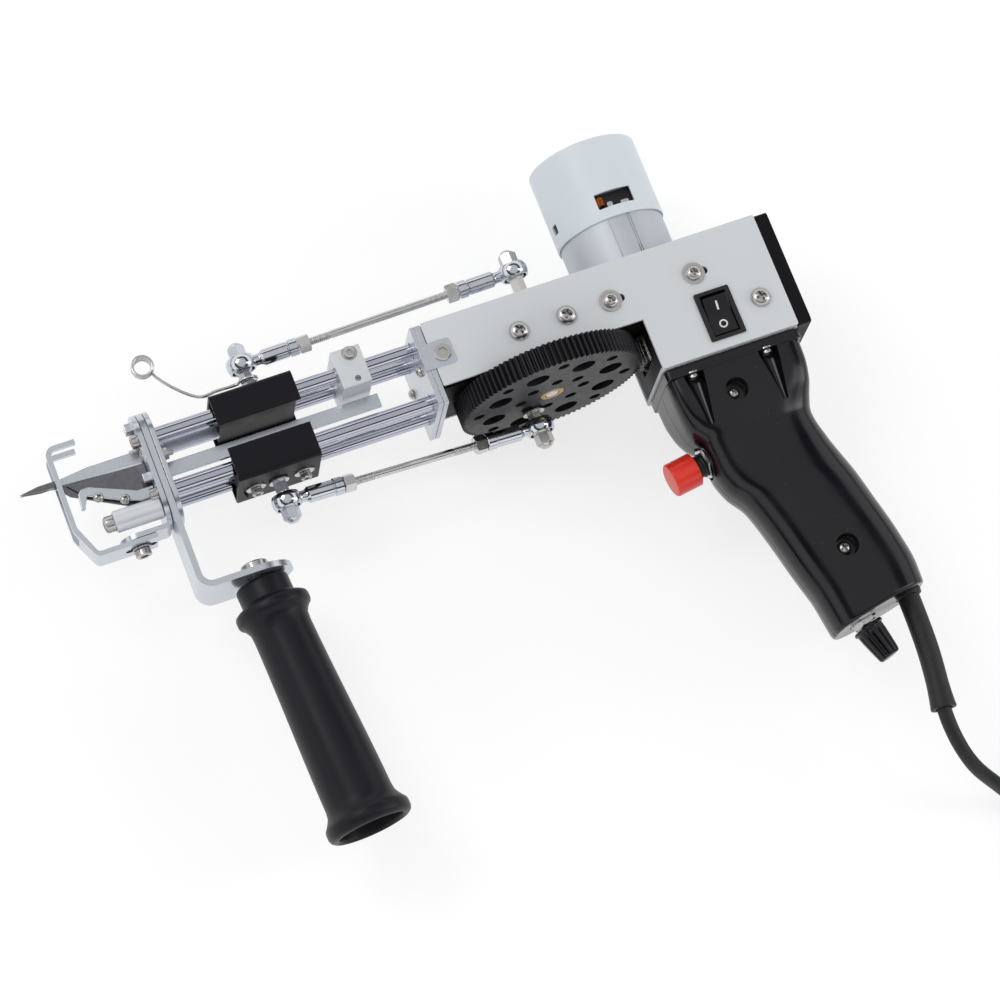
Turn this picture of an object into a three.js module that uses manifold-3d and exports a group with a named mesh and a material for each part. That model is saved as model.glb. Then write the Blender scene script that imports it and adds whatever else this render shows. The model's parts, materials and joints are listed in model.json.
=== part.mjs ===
// A handheld tufting machine, laid on its side: needle to the left (-X), motor away (+Y), grips near (-Y).
// Sizes are millimetres. Pieces are placed in a machine frame whose X axis runs along the sliding rails,
// whose Y axis is the axis of the motor and the big gear, and whose origin is the inner corner of the
// side plate's step, halfway between the two side plates. The last lines set the machine down on the table.
import * as THREE from "three";
import { mergeVertices } from "three/addons/utils/BufferGeometryUtils.js";
import Module from "manifold-3d";

// Fits shared by all pieces
const GAP = 0.3; // between two pieces that touch
const OVERRUN = 1; // how far a cutting shape runs past what it cuts
const WELD = 0.0005; // corners closer than this are one corner

// Body: two side plates with a step, and the sheets between them
const BODY_WIDTH = 43.4; // over both side plates
const NOSE_LENGTH = 85.1; // from the step's corner to the plates' front edge
const TAIL_LENGTH = 58.7; // from the step's corner to the plates' back edge
const BODY_HEIGHT = 27.3; // from the nose's lower edge to the top edge
const BOX_DROP = 22.1; // how far the tail reaches below the nose
const SIDE_SHEET = 1.5; // side plates
const FRAME_SHEET = 2; // bent frame between the plates
const FRAME_FLANGE = 21; // depth of the bent frame's side flanges
const BEARING_PLATE = 3; // lower plate that holds the gear's bearing
const BEARING_PLATE_TAIL = 19; // how far that plate runs behind the step
const WALL_SHEET = 1.5; // front wall and floor of the tail
const PLATE_HOLE = 1.7; // radius of the side plates' screw holes
const PLATE_SLOT = 4.4; // length of the two adjusting slots beyond a round hole
const SCREW_LINE = 11.5; // height of the row of screws above the nose's lower edge
const SCREWS_X = [-48.8, -28.5];
const SLOTS_X = [-9.5, 26.4];
const TAIL_SCREW = [48.3, -6.8];
const COVER_DEPTH = 5.8; // black rear cover
const COVER_WALL = 1.6;

// Rocker switch on the near side plate
const ROCKER_X = 30;
const ROCKER_Y = -7.8;
const BEZEL_WIDTH = 15;
const BEZEL_HEIGHT = 21;
const BEZEL_PROUD = 2;
const SWITCH_WIDTH = 13;
const SWITCH_HEIGHT = 19.2;
const SWITCH_DEPTH = 17;
const ROCKER_WIDTH = 10.4;
const ROCKER_HEIGHT = 15.6;
const ROCKER_DEPTH = 5.4;
const ROCKER_TILT = 11; // degrees either side of level
const ROCKER_CLEAR = 1.1; // round the rocker in its bezel

// Big gear, its pinion and the shaft with the two cranks
const GEAR_TEETH = 100;
const PINION_TEETH = 25;
const TOOTH_MODULE = 0.76;
const MESH_SLACK = 0.22; // added to the centre distance
const TOOTH_THINNING = 0.1; // share of the tooth taken away for backlash
const FLANK_SLOPE = 0.36; // tangent of the pressure angle
const ADDENDUM = 0.94; // in modules
const DEDENDUM = 1.3; // in modules
const GEAR_X = -40.5;
const GEAR_DROP = 1.2; // from the nose's lower edge to the gear's upper face
const GEAR_WIDTH = 9.6;
const BIG_HOLES = 8;
const BIG_HOLE_RING = 25.7;
const BIG_HOLE = 4.9;
const MID_HOLE_RING = 31.6;
const MID_HOLE = 2.4;
const INNER_HOLE_RING = 13.6;
const INNER_HOLE = 2.5;
const HOLE_PHASE = 20.2; // degrees
const BUSH_RADIUS = 5.3;
const SHAFT_RADIUS = 3;
const BEARING_RADIUS = 7.7;
const BEARING_WIDTH = 5;
const PINION_WIDTH = 11;
const PINION_HUB = 5.4;
const ROTOR_RADIUS = 2.5;
const ROTOR_PROUD = 0.8; // how far the motor's shaft shows below the pinion

// Motor
const CAN_RADIUS = 22;
const CAN_HEIGHT = 44;
const CAN_SHOULDER = 19; // radius of the can's narrower top
const CAP_RADIUS = 23;
const CAP_WALL = 0.9;
const CAP_LIFT = 17.7; // from the body's top to the cap's open edge
const CAP_HEIGHT = 35;
const CAP_ROUND = 2.5;
const WINDOW_WIDTH = 15.5;
const WINDOW_HEIGHT = 6.7;
const WINDOW_LIFT = 7.8; // from the cap's open edge to the middle of its windows
const WINDOW_TURN = 3.5; // degrees from straight out
const VENT_SIZE = 4;
const VENT_TURN = -77; // degrees

// Cranks and tie rods
const LOWER_CRANK = 16; // throw of the gear's crank pin
const UPPER_CRANK = 6; // throw of the crank on top of the shaft
const CRANK_ANGLE = 245.2; // degrees, direction of the lower pin seen with X to the right and Z up
const LOWER_ROD_DROP = 7.2; // from the gear's face to the lower rod
const UPPER_ROD_LIFT = 11; // from the crank disc's face to the upper rod
const BOSS_FLATS = 5.4;
const BOSS_WASHER = 4.6;
const CRANK_DISC = 10.8;
const CRANK_DISC_HEIGHT = 2.6;
const CRANK_LIFT = 0.5; // between the frame and the crank disc
const STUD_FLATS = 5.2;
const STUD_WASHER = 4.2;
const STUD_WASHER_HEIGHT = 0.8;
const BOLT_RADIUS = 2;
const BALL_RADIUS = 4.5;
const BALL_HALF = 3.3; // half the length of the ball's sleeve
const EYE_RADIUS = 6.2;
const EYE_HALF = 2.8;
const NECK_RADIUS = 2.4; // between the eye and the shank
const NECK_LENGTH = 8.4; // from the ball's centre
const SHANK_RADIUS = 3.35;
const SHANK_LENGTH = 23.8; // from the ball's centre
const SHANK_COLLAR = 3.8;
const LOCK_FLATS = 6.6;
const LOCK_NUT = 4.7;
const TIE_RADIUS = 1.65;
const NUT_FLATS = 6.6;
const NUT_HEIGHT = 4.6;
const NUT_CROWN = 1.5;
const NUT_BITE = 0.2; // how far a nut presses onto the ball's sleeve

// Rails and end plates
const RAIL_RADIUS = 3;
const RAIL_SPREAD = 9.3; // each rail's distance from the middle plane
const UPPER_RAIL_Y = 22;
const LOWER_RAIL_Y = -1;
const REAR_PLATE = 2; // thickness of each of the two rear rail plates
const REAR_PLATE_LOW = -7;
const REAR_PLATE_OVERHANG = 1; // past the side plates
const TAB_LENGTH = 13.5;
const TAB_LOW = 7.6;
const TAB_HIGH = 18.4;
const TAB_SHEET = 1.5;
const FRONT_X = -197.2; // back face of the front rail plate
const FRONT_PLATE = 2;
const OVAL_TOP = 34;
const OVAL_BOTTOM = -13;
const OVAL_HALF = 14.5;
const OVAL_CORNER = 12;
const WINDOW_TOP = 29;
const WINDOW_LOW = -8;
const WINDOW_HALF = 5.4;

// Bracket that carries the side handle, and the bar between the rails
const BRACKET_SHEET = 2.5;
const BRACKET_HALF = 14;
const FLANGE_Y = -45; // lower face of the bracket's flange
const BRACKET_BEND = 4; // inner radius
const HANDLE_X = -177.5;
const BAR_LOW = 6.6;
const BAR_HIGH = 12.4;
const BAR_END = -107; // its rear end, just behind the depth stop
const BAR_SHEET = 2;

// Carriages
const CARRIAGE_X = -156;
const CARRIAGE_LENGTH = 34.4;
const COVER_SHEET = 1.5;
const COVER_HALF = 15.7;
const COVER_BEND = 2.2;
const UPPER_COVER_TOP = 28.7;
const UPPER_COVER_LOW = 15.7;
const LOWER_COVER_TOP = 5.7;
const LOWER_COVER_LOW = -8.5;
const SLIDE_MARGIN = 1.2; // the sliding block is this much shorter at each end of its cover
const SLIDE_TRIM = 1.6; // the block stops this far from the cover's open edge
const UPPER_STUD_X = -154;
const LOWER_STUD_X = -156.4;

// Depth stop on the upper rails
const STOP_X = -115.4;
const STOP_LENGTH = 12;
const STOP_LOW = 13.8;
const STOP_HIGH = 30.2;
const STOP_HALF = 15.2;
const STOP_CORNER = 0.8;

// Yarn guide
const WIRE_RADIUS = 0.7;
const EYE_TURNS = 2.5;
const EYE_TURN_RADIUS = 4;
const EYE_TURN_PITCH = 2;
const EYE_START = -40; // degrees
const GUIDE_Y = 34.4;
const GUIDE_BEND = [-174.7, 34.4];
const GUIDE_EYE = [-191.8, 52.4];
const GUIDE_HOOK_FROM = -60; // degrees, where its hook round the stud starts
const GUIDE_HOOK_TURN = 240; // degrees

// Needle, its bar and the blades
const NEEDLE_BAR_HALF = 1.5;
const NEEDLE_BAR_LOW = 15.8;
const NEEDLE_BAR_HIGH = 20.8;
const NEEDLE_TAPER = -207; // where the bar's lower edge starts to rise
const NEEDLE_SHOULDER = -226; // where its upper edge starts to fall
const NEEDLE_BACK = -238; // where the needle starts
const NEEDLE_TIP = [-254.5, 18.3];
const NEEDLE_SLIT = 0.8; // between its two prongs
const PRONG_DEPTH = 1.2;
const CHEEK_SHEET = 1.2;
const CHEEK_TIP = [-245.3, 18.9];
const SCISSOR_BAR_LOW = -2.2;
const SCISSOR_BAR_HIGH = 3.4;
const SCISSOR_BAR_FRONT = -207.6;
const BLADE_SHEET = 1.1;
const BLADE_ROOT = 4.5;
const BLADE_RISE = 5;
const BLADE_HEEL = 14.6; // upper edge of the moving blade at its root
const MOVING_BLADE_TIP = [-240.5, 15.8];
const FIXED_BLADE_TIP = [-236.5, 15.4];
const HOLDER_SHEET = 1.6;
const HOLDER_LOW = -0.6;
const HOLDER_HIGH = 4;
const HOLDER_HOOK = [-233.4, 11.4];
const HOLDER_CLAW = 8.4;

// Front end: presser foot, its bracket, post and blade holder
const POST_RADIUS = 4.4;
const POST_Y = -6.2;
const POST_Z = 7.6;
const POST_FRONT = -224;
const POST_SCREW_RADIUS = 3.4;
const POST_SCREW_HEAD = 4.2;
const PRESSER_SHELF_Y = -14.8;
const PRESSER_SHELF_FRONT = -224;
const FOOT_SHEET = 2;
const FOOT_HALF = 7.2;
const FOOT_LEG = 2.4;
const FOOT_BEND = 4; // outer radius of its fingers' bend
const FOOT_BACK = -209.5;
const FOOT_TOE = -233.4;
const FOOT_SHIN = [-240.2, -3.4];
const FOOT_TOP = 31.7;
const FOOT_FINGER = -227.6;
const FOOT_BOLT_X = -216.6;
const FOOT_SLOT = 9;
const FOOT_BOLT_RADIUS = 1.6;
const FOOT_BOLT_HEAD = 2.6;
const FOOT_BOLT_HEAD_HEIGHT = 3.6;
const FOOT_BOLT_WASHER = 3.6;
const FOOT_BOLT_WASHER_HEIGHT = 0.6;

// Side handle
const HANDLE_TILT = 3.7; // degrees
const HANDLE_COLLAR = 10.9;
const HANDLE_RING = 15.4;
const HANDLE_TOP_RADIUS = 12;
const HANDLE_END_RADIUS = 13.9;
const HANDLE_FLANGE = 17.4;
const HANDLE_LENGTH = 107;
const HANDLE_SHARES = {
  // of its length, from the top: the collar, the ring, the narrow top, the swelling and the end flange
  collar: [0, 0.015, 0.07],
  ring: [0.085, 0.105, 0.125, 0.145],
  neck: [0.165, 0.2],
  swell: [0.56, 0.88],
  flange: [0.93, 0.955, 0.98, 1],
};
const HANDLE_BORE = 9.5;
const HANDLE_BORE_DEPTH = 70;
const HANDLE_BOLT = 3;
const HANDLE_BOLT_LENGTH = 20; // below the flange
const HANDLE_BOLT_HEAD = 5.6;
const HANDLE_BOLT_HEAD_HEIGHT = 4.4;

// Pistol grip: stations down its length, each with its distance below the tail, front and rear edge,
// half thickness and squareness
const GRIP_STATIONS = [
  { drop: 0.6, front: 0.6, back: 58.6, half: 20.4, square: 9 },
  { drop: 11.9, front: 0.8, back: 58.4, half: 20.2, square: 8 },
  { drop: 19.9, front: 1.6, back: 57.4, half: 19.4, square: 6 },
  { drop: 26.9, front: 3.4, back: 55.4, half: 18.2, square: 4 },
  { drop: 31.9, front: 6.6, back: 54.4, half: 17.4, square: 3.2 },
  { drop: 43.9, front: 7.6, back: 57, half: 16.8, square: 2.8 },
  { drop: 51.9, front: 10, back: 59.6, half: 16.8, square: 2.6 },
  { drop: 59.9, front: 15, back: 62.2, half: 17, square: 2.5 },
  { drop: 71.9, front: 18.6, back: 65, half: 17.2, square: 2.5 },
  { drop: 89.9, front: 22.8, back: 69, half: 17, square: 2.5 },
  { drop: 103.9, front: 26.4, back: 70.8, half: 16.6, square: 2.5 },
  { drop: 112.9, front: 28.8, back: 70.4, half: 16.2, square: 2.6 },
];
const GRIP_HEEL = 7.6; // the lower end's front corner is this much lower than its rear corner
const GRIP_PARTING = 0.15; // half the seam between the two halves
const GRIP_FACETS = 12; // round each half
const POCKETS_X = [11.4, 43.4];
const POCKET_RADIUS = 4.4; // of its round upper end
const POCKET_TIP = 1.2; // radius of its lower end
const POCKET_DROP = 3.5; // below the tail
const POCKET_LENGTH = 22.5;
const POCKET_SINK = 0.8; // how far its axis lies under the grip's face
const GRIP_SCREWS = [[25.8, 16.3], [43.8, 90.3]]; // along X, and below the tail
const GRIP_SCREW_HOLE = 4.6;
const GRIP_SCREW_DEPTH = 3.5;

// Trigger
const TRIGGER_X = 8;
const TRIGGER_DROP = 36.3; // below the tail
const TRIGGER_TILT = 8; // degrees
const TRIGGER_TRAVEL = 3.5;
const TRIGGER_CAP = 7;
const TRIGGER_CAP_LENGTH = 11;
const TRIGGER_CAP_REACH = 17; // from the grip's face to the cap's end
const TRIGGER_BOOT = 5;
const TRIGGER_BOOT_LENGTH = 7;
const TRIGGER_STEM = 1.7;
const TRIGGER_NUT_FLATS = 12;
const TRIGGER_NUT = 1.8;
const TRIGGER_CAP_FLOOR = 2;
const TRIGGER_STEM_REACH = 4; // how far its stem ends inside the grip
const TRIGGER_RIBS = 3;
const TRIGGER_BODY = 4.4;
const TRIGGER_BODY_LENGTH = 14;

// Speed knob, cord sleeve
const KNOB_X = 41.8;
const KNOB_TILT = 16; // degrees
const KNOB_LENGTH = 15;
const KNOB_TOP_RADIUS = 6.6;
const KNOB_END_RADIUS = 4.6;
const KNOB_RIBS = 12;
const KNOB_FLUTE = 0.7;
const KNOB_RIB_SHARE = 0.3; // half a rib's top, of the pitch
const KNOB_GROOVE_SHARE = 0.08; // half a groove's floor, of the pitch
const KNOB_NUT_FLATS = 10;
const KNOB_NUT = 3.4;
const KNOB_SHAFT = 2.4;
const KNOB_BODY = 3.8;
const KNOB_BODY_LENGTH = 12;
const KNOB_SEAT = 1.4; // depth of the face cut for its nut
const SLEEVE_X = 63.4;
const SLEEVE_ROOT = 4.5;
const SLEEVE_END_RADIUS = 5.3;
const SLEEVE_LENGTH = 48;
const SLEEVE_LEAN = -4.5; // how far its end lies forward of its root
const SLEEVE_SOCKET = 8; // how far the cord runs into its end
const GLAND_DEPTH = 8; // how far its root sits in the grip

// Power cord: a free stretch, a stored coil and a two-pin plug
const CORD_RADIUS = 3;
const CORD_SIDES = 8;
const CORD_BEND = 31; // radius of its bends
const CORD_STEP = 6; // between the points of its free stretch
const CORD_DROP = 18; // from the sleeve's end to the corner of its first bend
const CORD_ARRIVAL = 24; // from the corner of its second bend to the coil
const COIL_CENTRE = [143, -240];
const COIL_TURNS = 3.75; // in each of two layers
const COIL_MIDDLE = 36; // mean radius of the turns
const COIL_PITCH = 6.6;
const COIL_LAYER = 6.6;
const COIL_START = 195; // degrees
const COIL_STEPS = 24; // per turn
const COIL_SIDES = 6;
const COIL_CLIMB_SHARE = 0.25; // of a turn, before and after the spiral reverses
const TAIL_RUN = 34; // from the coil to the plug
const PLUG_LENGTH = 36;
const PLUG_WIDTH = 25;
const PLUG_THICK = 13.6;
const PLUG_CORNER = 2;
const PLUG_NECK = 18;
const PLUG_NECK_RADIUS = 4.6;
const PIN_RADIUS = 2;
const PIN_LENGTH = 19;
const PIN_SPACING = 19;

const wasm = await Module();
wasm.setup();

// Small tools: geometry into solids, and solids into meshes
const vec = (x, y, z) => new THREE.Vector3(x, y, z);
const rad = THREE.MathUtils.degToRad;

function solidOf(geometry) {
  const bare = geometry.index ? geometry.toNonIndexed() : geometry.clone();
  bare.deleteAttribute("normal");
  bare.deleteAttribute("uv");
  const merged = mergeVertices(bare, WELD);
  const triVerts = new Uint32Array(merged.index.array);
  const make = () =>
    new wasm.Manifold(
      new wasm.Mesh({ numProp: 3, vertProperties: merged.attributes.position.array, triVerts }),
    );
  const made = make();
  if (made.volume() > 0) return made;
  for (let i = 0; i < triVerts.length; i += 3) {
    [triVerts[i + 1], triVerts[i + 2]] = [triVerts[i + 2], triVerts[i + 1]];
  }
  return make();
}

function join(first, ...others) {
  return others.reduce((sum, other) => sum.add(other), first);
}

function cut(first, ...others) {
  return others.reduce((rest, other) => rest.subtract(other), first);
}

function geometryOf(solid) {
  const mesh = solid.getMesh();
  const count = mesh.vertProperties.length / mesh.numProp;
  const positions = new Float32Array(count * 3);
  for (let i = 0; i < count; i++) {
    positions.set(mesh.vertProperties.subarray(i * mesh.numProp, i * mesh.numProp + 3), i * 3);
  }
  const indexed = new THREE.BufferGeometry();
  indexed.setAttribute("position", new THREE.BufferAttribute(positions, 3));
  indexed.setIndex(new THREE.BufferAttribute(mesh.triVerts, 1));
  const flat = indexed.toNonIndexed();
  flat.computeVertexNormals();
  return flat;
}

// A box between two values on each axis
function block(x0, x1, y0, y1, z0, z1) {
  const box = new THREE.BoxGeometry(x1 - x0, y1 - y0, z1 - z0);
  return solidOf(box.translate((x0 + x1) / 2, (y0 + y1) / 2, (z0 + z1) / 2));
}

// A round, tapered or many-sided bar from one point to another
function bar(start, end, radius, sides = 20, endRadius = radius) {
  const along = end.clone().sub(start);
  const shape = new THREE.CylinderGeometry(endRadius, radius, along.length(), sides);
  const turn = new THREE.Quaternion().setFromUnitVectors(vec(0, 1, 0), along.clone().normalize());
  shape.applyQuaternion(turn);
  const middle = start.clone().add(end).multiplyScalar(0.5);
  return solidOf(shape.translate(middle.x, middle.y, middle.z));
}

function hexBar(start, end, flats) {
  return bar(start, end, flats / Math.sqrt(3), 6);
}

// An outline pushed along one axis. Along x the outline holds (y, z), along y (z, x), along z (x, y).
const BASES = {
  x: [vec(0, 1, 0), vec(0, 0, 1), vec(1, 0, 0)],
  y: [vec(0, 0, 1), vec(1, 0, 0), vec(0, 1, 0)],
  z: [vec(1, 0, 0), vec(0, 1, 0), vec(0, 0, 1)],
};

function extrude(axis, outline, from, to, holes = []) {
  const shape = new THREE.Shape(outline.map(([u, v]) => new THREE.Vector2(u, v)));
  for (const hole of holes) {
    shape.holes.push(new THREE.Path(hole.map(([u, v]) => new THREE.Vector2(u, v))));
  }
  const pushed = new THREE.ExtrudeGeometry(shape, { depth: to - from, bevelEnabled: false });
  pushed.translate(0, 0, from);
  pushed.applyMatrix4(new THREE.Matrix4().makeBasis(...BASES[axis]));
  return solidOf(pushed);
}

function arc(u, v, radius, fromDegrees, toDegrees, steps) {
  const points = [];
  for (let i = 0; i <= steps; i++) {
    const angle = rad(fromDegrees + ((toDegrees - fromDegrees) * i) / steps);
    points.push([u + radius * Math.cos(angle), v + radius * Math.sin(angle)]);
  }
  return points;
}

function circle(u, v, radius, sides = 16) {
  return arc(u, v, radius, 0, 360, sides).slice(0, -1);
}

function roundedBox(u0, u1, v0, v1, radius, steps = 3) {
  return [
    ...arc(u1 - radius, v1 - radius, radius, 0, 90, steps),
    ...arc(u0 + radius, v1 - radius, radius, 90, 180, steps),
    ...arc(u0 + radius, v0 + radius, radius, 180, 270, steps),
    ...arc(u1 - radius, v0 + radius, radius, 270, 360, steps),
  ];
}

// A slot with round ends, from its first end's centre to its second's, along u
function slot(u0, u1, v, radius, steps = 6) {
  return [...arc(u1, v, radius, -90, 90, steps), ...arc(u0, v, radius, 90, 270, steps)];
}

// A profile of [radius, height] pairs turned round the Y axis
function revolve(profile, sides = 24) {
  return solidOf(
    new THREE.LatheGeometry(profile.map(([r, h]) => new THREE.Vector2(r, h)), sides),
  );
}

// A round tube along a curve
function tube(curve, radius, sides, steps) {
  const section = new THREE.Shape(circle(0, 0, radius, sides).map(([u, v]) => new THREE.Vector2(u, v)));
  const made = new THREE.ExtrudeGeometry(section, { steps, extrudePath: curve, bevelEnabled: false });
  return solidOf(made);
}

function smooth(points) {
  return new THREE.CatmullRomCurve3(points, false, "centripetal");
}

// How near a wound tube comes to itself, skin to skin
function leastSelfGap(curve, radius, samples, apart) {
  const points = curve.getSpacedPoints(samples);
  const step = curve.getLength() / samples;
  const skip = Math.ceil(apart / step);
  let least = Infinity;
  for (let i = 0; i < points.length; i++) {
    for (let k = i + skip; k < points.length; k++) {
      least = Math.min(least, points[i].distanceTo(points[k]));
    }
  }
  return least - 2 * radius;
}

const MATERIALS = {
  paint: { color: 0xdfe2e5, roughness: 0.45, metalness: 0.1 },
  darkSheet: { color: 0x24262c, roughness: 0.5, metalness: 0.2 },
  anodised: { color: 0x17171b, roughness: 0.42, metalness: 0.5 },
  zinc: { color: 0xbfc8cc, roughness: 0.32, metalness: 0.9 },
  chrome: { color: 0xd7dadf, roughness: 0.12, metalness: 1 },
  stainless: { color: 0xa9a49d, roughness: 0.3, metalness: 1 },
  aluminium: { color: 0xc9cdd1, roughness: 0.4, metalness: 0.9 },
  brass: { color: 0xb08a3e, roughness: 0.3, metalness: 1 },
  nylon: { color: 0x26262b, roughness: 0.5, metalness: 0 },
  capPlastic: { color: 0xdbe3e8, roughness: 0.35, metalness: 0 },
  gripPlastic: { color: 0x121217, roughness: 0.15, metalness: 0 },
  handlePlastic: { color: 0x15151b, roughness: 0.45, metalness: 0 },
  redPlastic: { color: 0xe02a10, roughness: 0.35, metalness: 0 },
  blade: { color: 0x4a4c52, roughness: 0.25, metalness: 1 },
  rubber: { color: 0x101013, roughness: 0.7, metalness: 0 },
};

const machine = new THREE.Group();
const CORD_NODES = ["power_cord", "cord_coil", "plug_body"];

function add(name, solid, material, holder = machine) {
  const mesh = new THREE.Mesh(geometryOf(solid), new THREE.MeshStandardMaterial(MATERIALS[material]));
  mesh.name = name;
  holder.add(mesh);
}

// Sizes that follow from the driving ones
const HALF = BODY_WIDTH / 2;
const INSIDE = HALF - SIDE_SHEET - GAP; // half width of what lies between the side plates
const MOTOR_X = GEAR_X + (TOOTH_MODULE * (GEAR_TEETH + PINION_TEETH)) / 2 + MESH_SLACK;
const GEAR_TIP = (TOOTH_MODULE * GEAR_TEETH) / 2 + TOOTH_MODULE * ADDENDUM;
const GEAR_TOP = -GEAR_DROP;
const GEAR_FACE = GEAR_TOP - GEAR_WIDTH;
const CRANK_TOP = BODY_HEIGHT + CRANK_LIFT + CRANK_DISC_HEIGHT;
const TABLE_Z = -GEAR_TIP;
const TAIL_LOW = -BOX_DROP;
const CAP_BOTTOM = BODY_HEIGHT + CAP_LIFT;
const CAP_TOP = CAP_BOTTOM + CAP_HEIGHT;
const LOWER_ROD_Y = GEAR_FACE - LOWER_ROD_DROP;
const UPPER_ROD_Y = CRANK_TOP + UPPER_ROD_LIFT;
const ROTOR_TOP = CAP_TOP - 3 * CAP_ROUND; // blind end of the motor's bore
const pinX = (crank, turn) => GEAR_X + crank * Math.cos(rad(CRANK_ANGLE + turn));
const pinZ = (crank, turn) => crank * Math.sin(rad(CRANK_ANGLE + turn));
const LOWER_PIN = vec(pinX(LOWER_CRANK, 0), LOWER_ROD_Y, pinZ(LOWER_CRANK, 0));
const UPPER_PIN = vec(pinX(UPPER_CRANK, 180), UPPER_ROD_Y, pinZ(UPPER_CRANK, 180));
const REAR_PLATE_X = -NOSE_LENGTH - GAP; // back face of the rear rail plates
const REAR_PLATES_FRONT = REAR_PLATE_X - 2 * REAR_PLATE - GAP;

function buildSidePlates() {
  const low = -BOX_DROP;
  const outline = [
    [-NOSE_LENGTH, 0],
    [0, 0],
    [0, low],
    [TAIL_LENGTH, low],
    [TAIL_LENGTH, BODY_HEIGHT],
    [-NOSE_LENGTH, BODY_HEIGHT],
  ];
  const holes = SCREWS_X.map((x) => circle(x, SCREW_LINE, PLATE_HOLE, 12));
  for (const x of SLOTS_X) {
    holes.push(slot(x, x + PLATE_SLOT, SCREW_LINE, PLATE_HOLE));
  }
  holes.push(circle(...TAIL_SCREW, PLATE_HOLE, 12));
  const cutOut = roundedBox(
    ROCKER_X - SWITCH_WIDTH / 2,
    ROCKER_X + SWITCH_WIDTH / 2,
    ROCKER_Y - SWITCH_HEIGHT / 2,
    ROCKER_Y + SWITCH_HEIGHT / 2,
    GAP,
    1,
  );
  add("near_side_plate", extrude("z", outline, HALF - SIDE_SHEET, HALF, [...holes, cutOut]), "paint");
  const farPlate = extrude("z", outline, -HALF, SIDE_SHEET - HALF, holes);
  const floor = block(0, TAIL_LENGTH, low, low + WALL_SHEET, -HALF, INSIDE);
  add("far_side_plate", join(farPlate, floor), "paint");
}

function buildFrame() {
  const top = BODY_HEIGHT;
  const under = top - FRAME_SHEET;
  const tip = top - FRAME_FLANGE;
  const inner = INSIDE - FRAME_SHEET;
  const section = [
    [top, -INSIDE],
    [top, INSIDE],
    [tip, INSIDE],
    [tip, inner],
    [under, inner],
    [under, -inner],
    [tip, -inner],
    [tip, -INSIDE],
  ];
  const seat = (SHAFT_RADIUS + BEARING_RADIUS) / 2; // inside the bearing pressed into it
  const frame = cut(
    extrude("x", section, -NOSE_LENGTH, TAIL_LENGTH),
    bar(vec(GEAR_X, under - OVERRUN, 0), vec(GEAR_X, top + OVERRUN, 0), seat),
    bar(vec(MOTOR_X, under - OVERRUN, 0), vec(MOTOR_X, top + OVERRUN, 0), PINION_HUB + GAP),
  );
  const ring = (low) => {
    const high = low + BEARING_WIDTH;
    const bore = SHAFT_RADIUS + GAP;
    const rim = (BEARING_RADIUS + bore) / 2;
    return revolve([
      [bore, low],
      [BEARING_RADIUS, low],
      [BEARING_RADIUS, high],
      [rim + GAP, high],
      [rim, high - GAP],
      [rim - GAP, high],
      [bore, high],
      [bore, low],
    ], 20).translate([GEAR_X, 0, 0]);
  };
  add("upper_frame", join(frame, ring(top - BEARING_WIDTH)), "zinc");

  const plateHalf = inner - GAP;
  const plate = extrude(
    "y",
    [
      [-plateHalf, -NOSE_LENGTH],
      [plateHalf, -NOSE_LENGTH],
      [plateHalf, BEARING_PLATE_TAIL],
      [-plateHalf, BEARING_PLATE_TAIL],
    ],
    0,
    BEARING_PLATE,
    [circle(0, GEAR_X, seat, 20), circle(0, MOTOR_X, PINION_HUB + GAP, 20)],
  );
  add("gear_bearing_plate", join(plate, ring(0)), "darkSheet");

  const wallLow = WALL_SHEET + GAP - BOX_DROP;
  const windowHalf = (TOOTH_MODULE * PINION_TEETH) / 2 + 2 * TOOTH_MODULE;
  const windowLow = GEAR_FACE - PINION_WIDTH / 4;
  const wall = extrude("x", [
    [-GAP, -INSIDE],
    [-GAP, -windowHalf],
    [windowLow, -windowHalf],
    [windowLow, windowHalf],
    [-GAP, windowHalf],
    [-GAP, INSIDE],
    [wallLow, INSIDE],
    [wallLow, -INSIDE],
  ], GAP, GAP + WALL_SHEET);
  add("tail_front_wall", wall, "darkSheet");

  const coverX = TAIL_LENGTH + GAP;
  const cover = cut(
    extrude("x", roundedBox(-BOX_DROP, top, -HALF, HALF, COVER_WALL), coverX, coverX + COVER_DEPTH),
    block(
      coverX - OVERRUN,
      coverX + COVER_DEPTH - COVER_WALL,
      COVER_WALL - BOX_DROP,
      top - COVER_WALL,
      COVER_WALL - HALF,
      HALF - COVER_WALL,
    ),
  );
  add("rear_cover", cover, "darkSheet");
}

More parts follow.
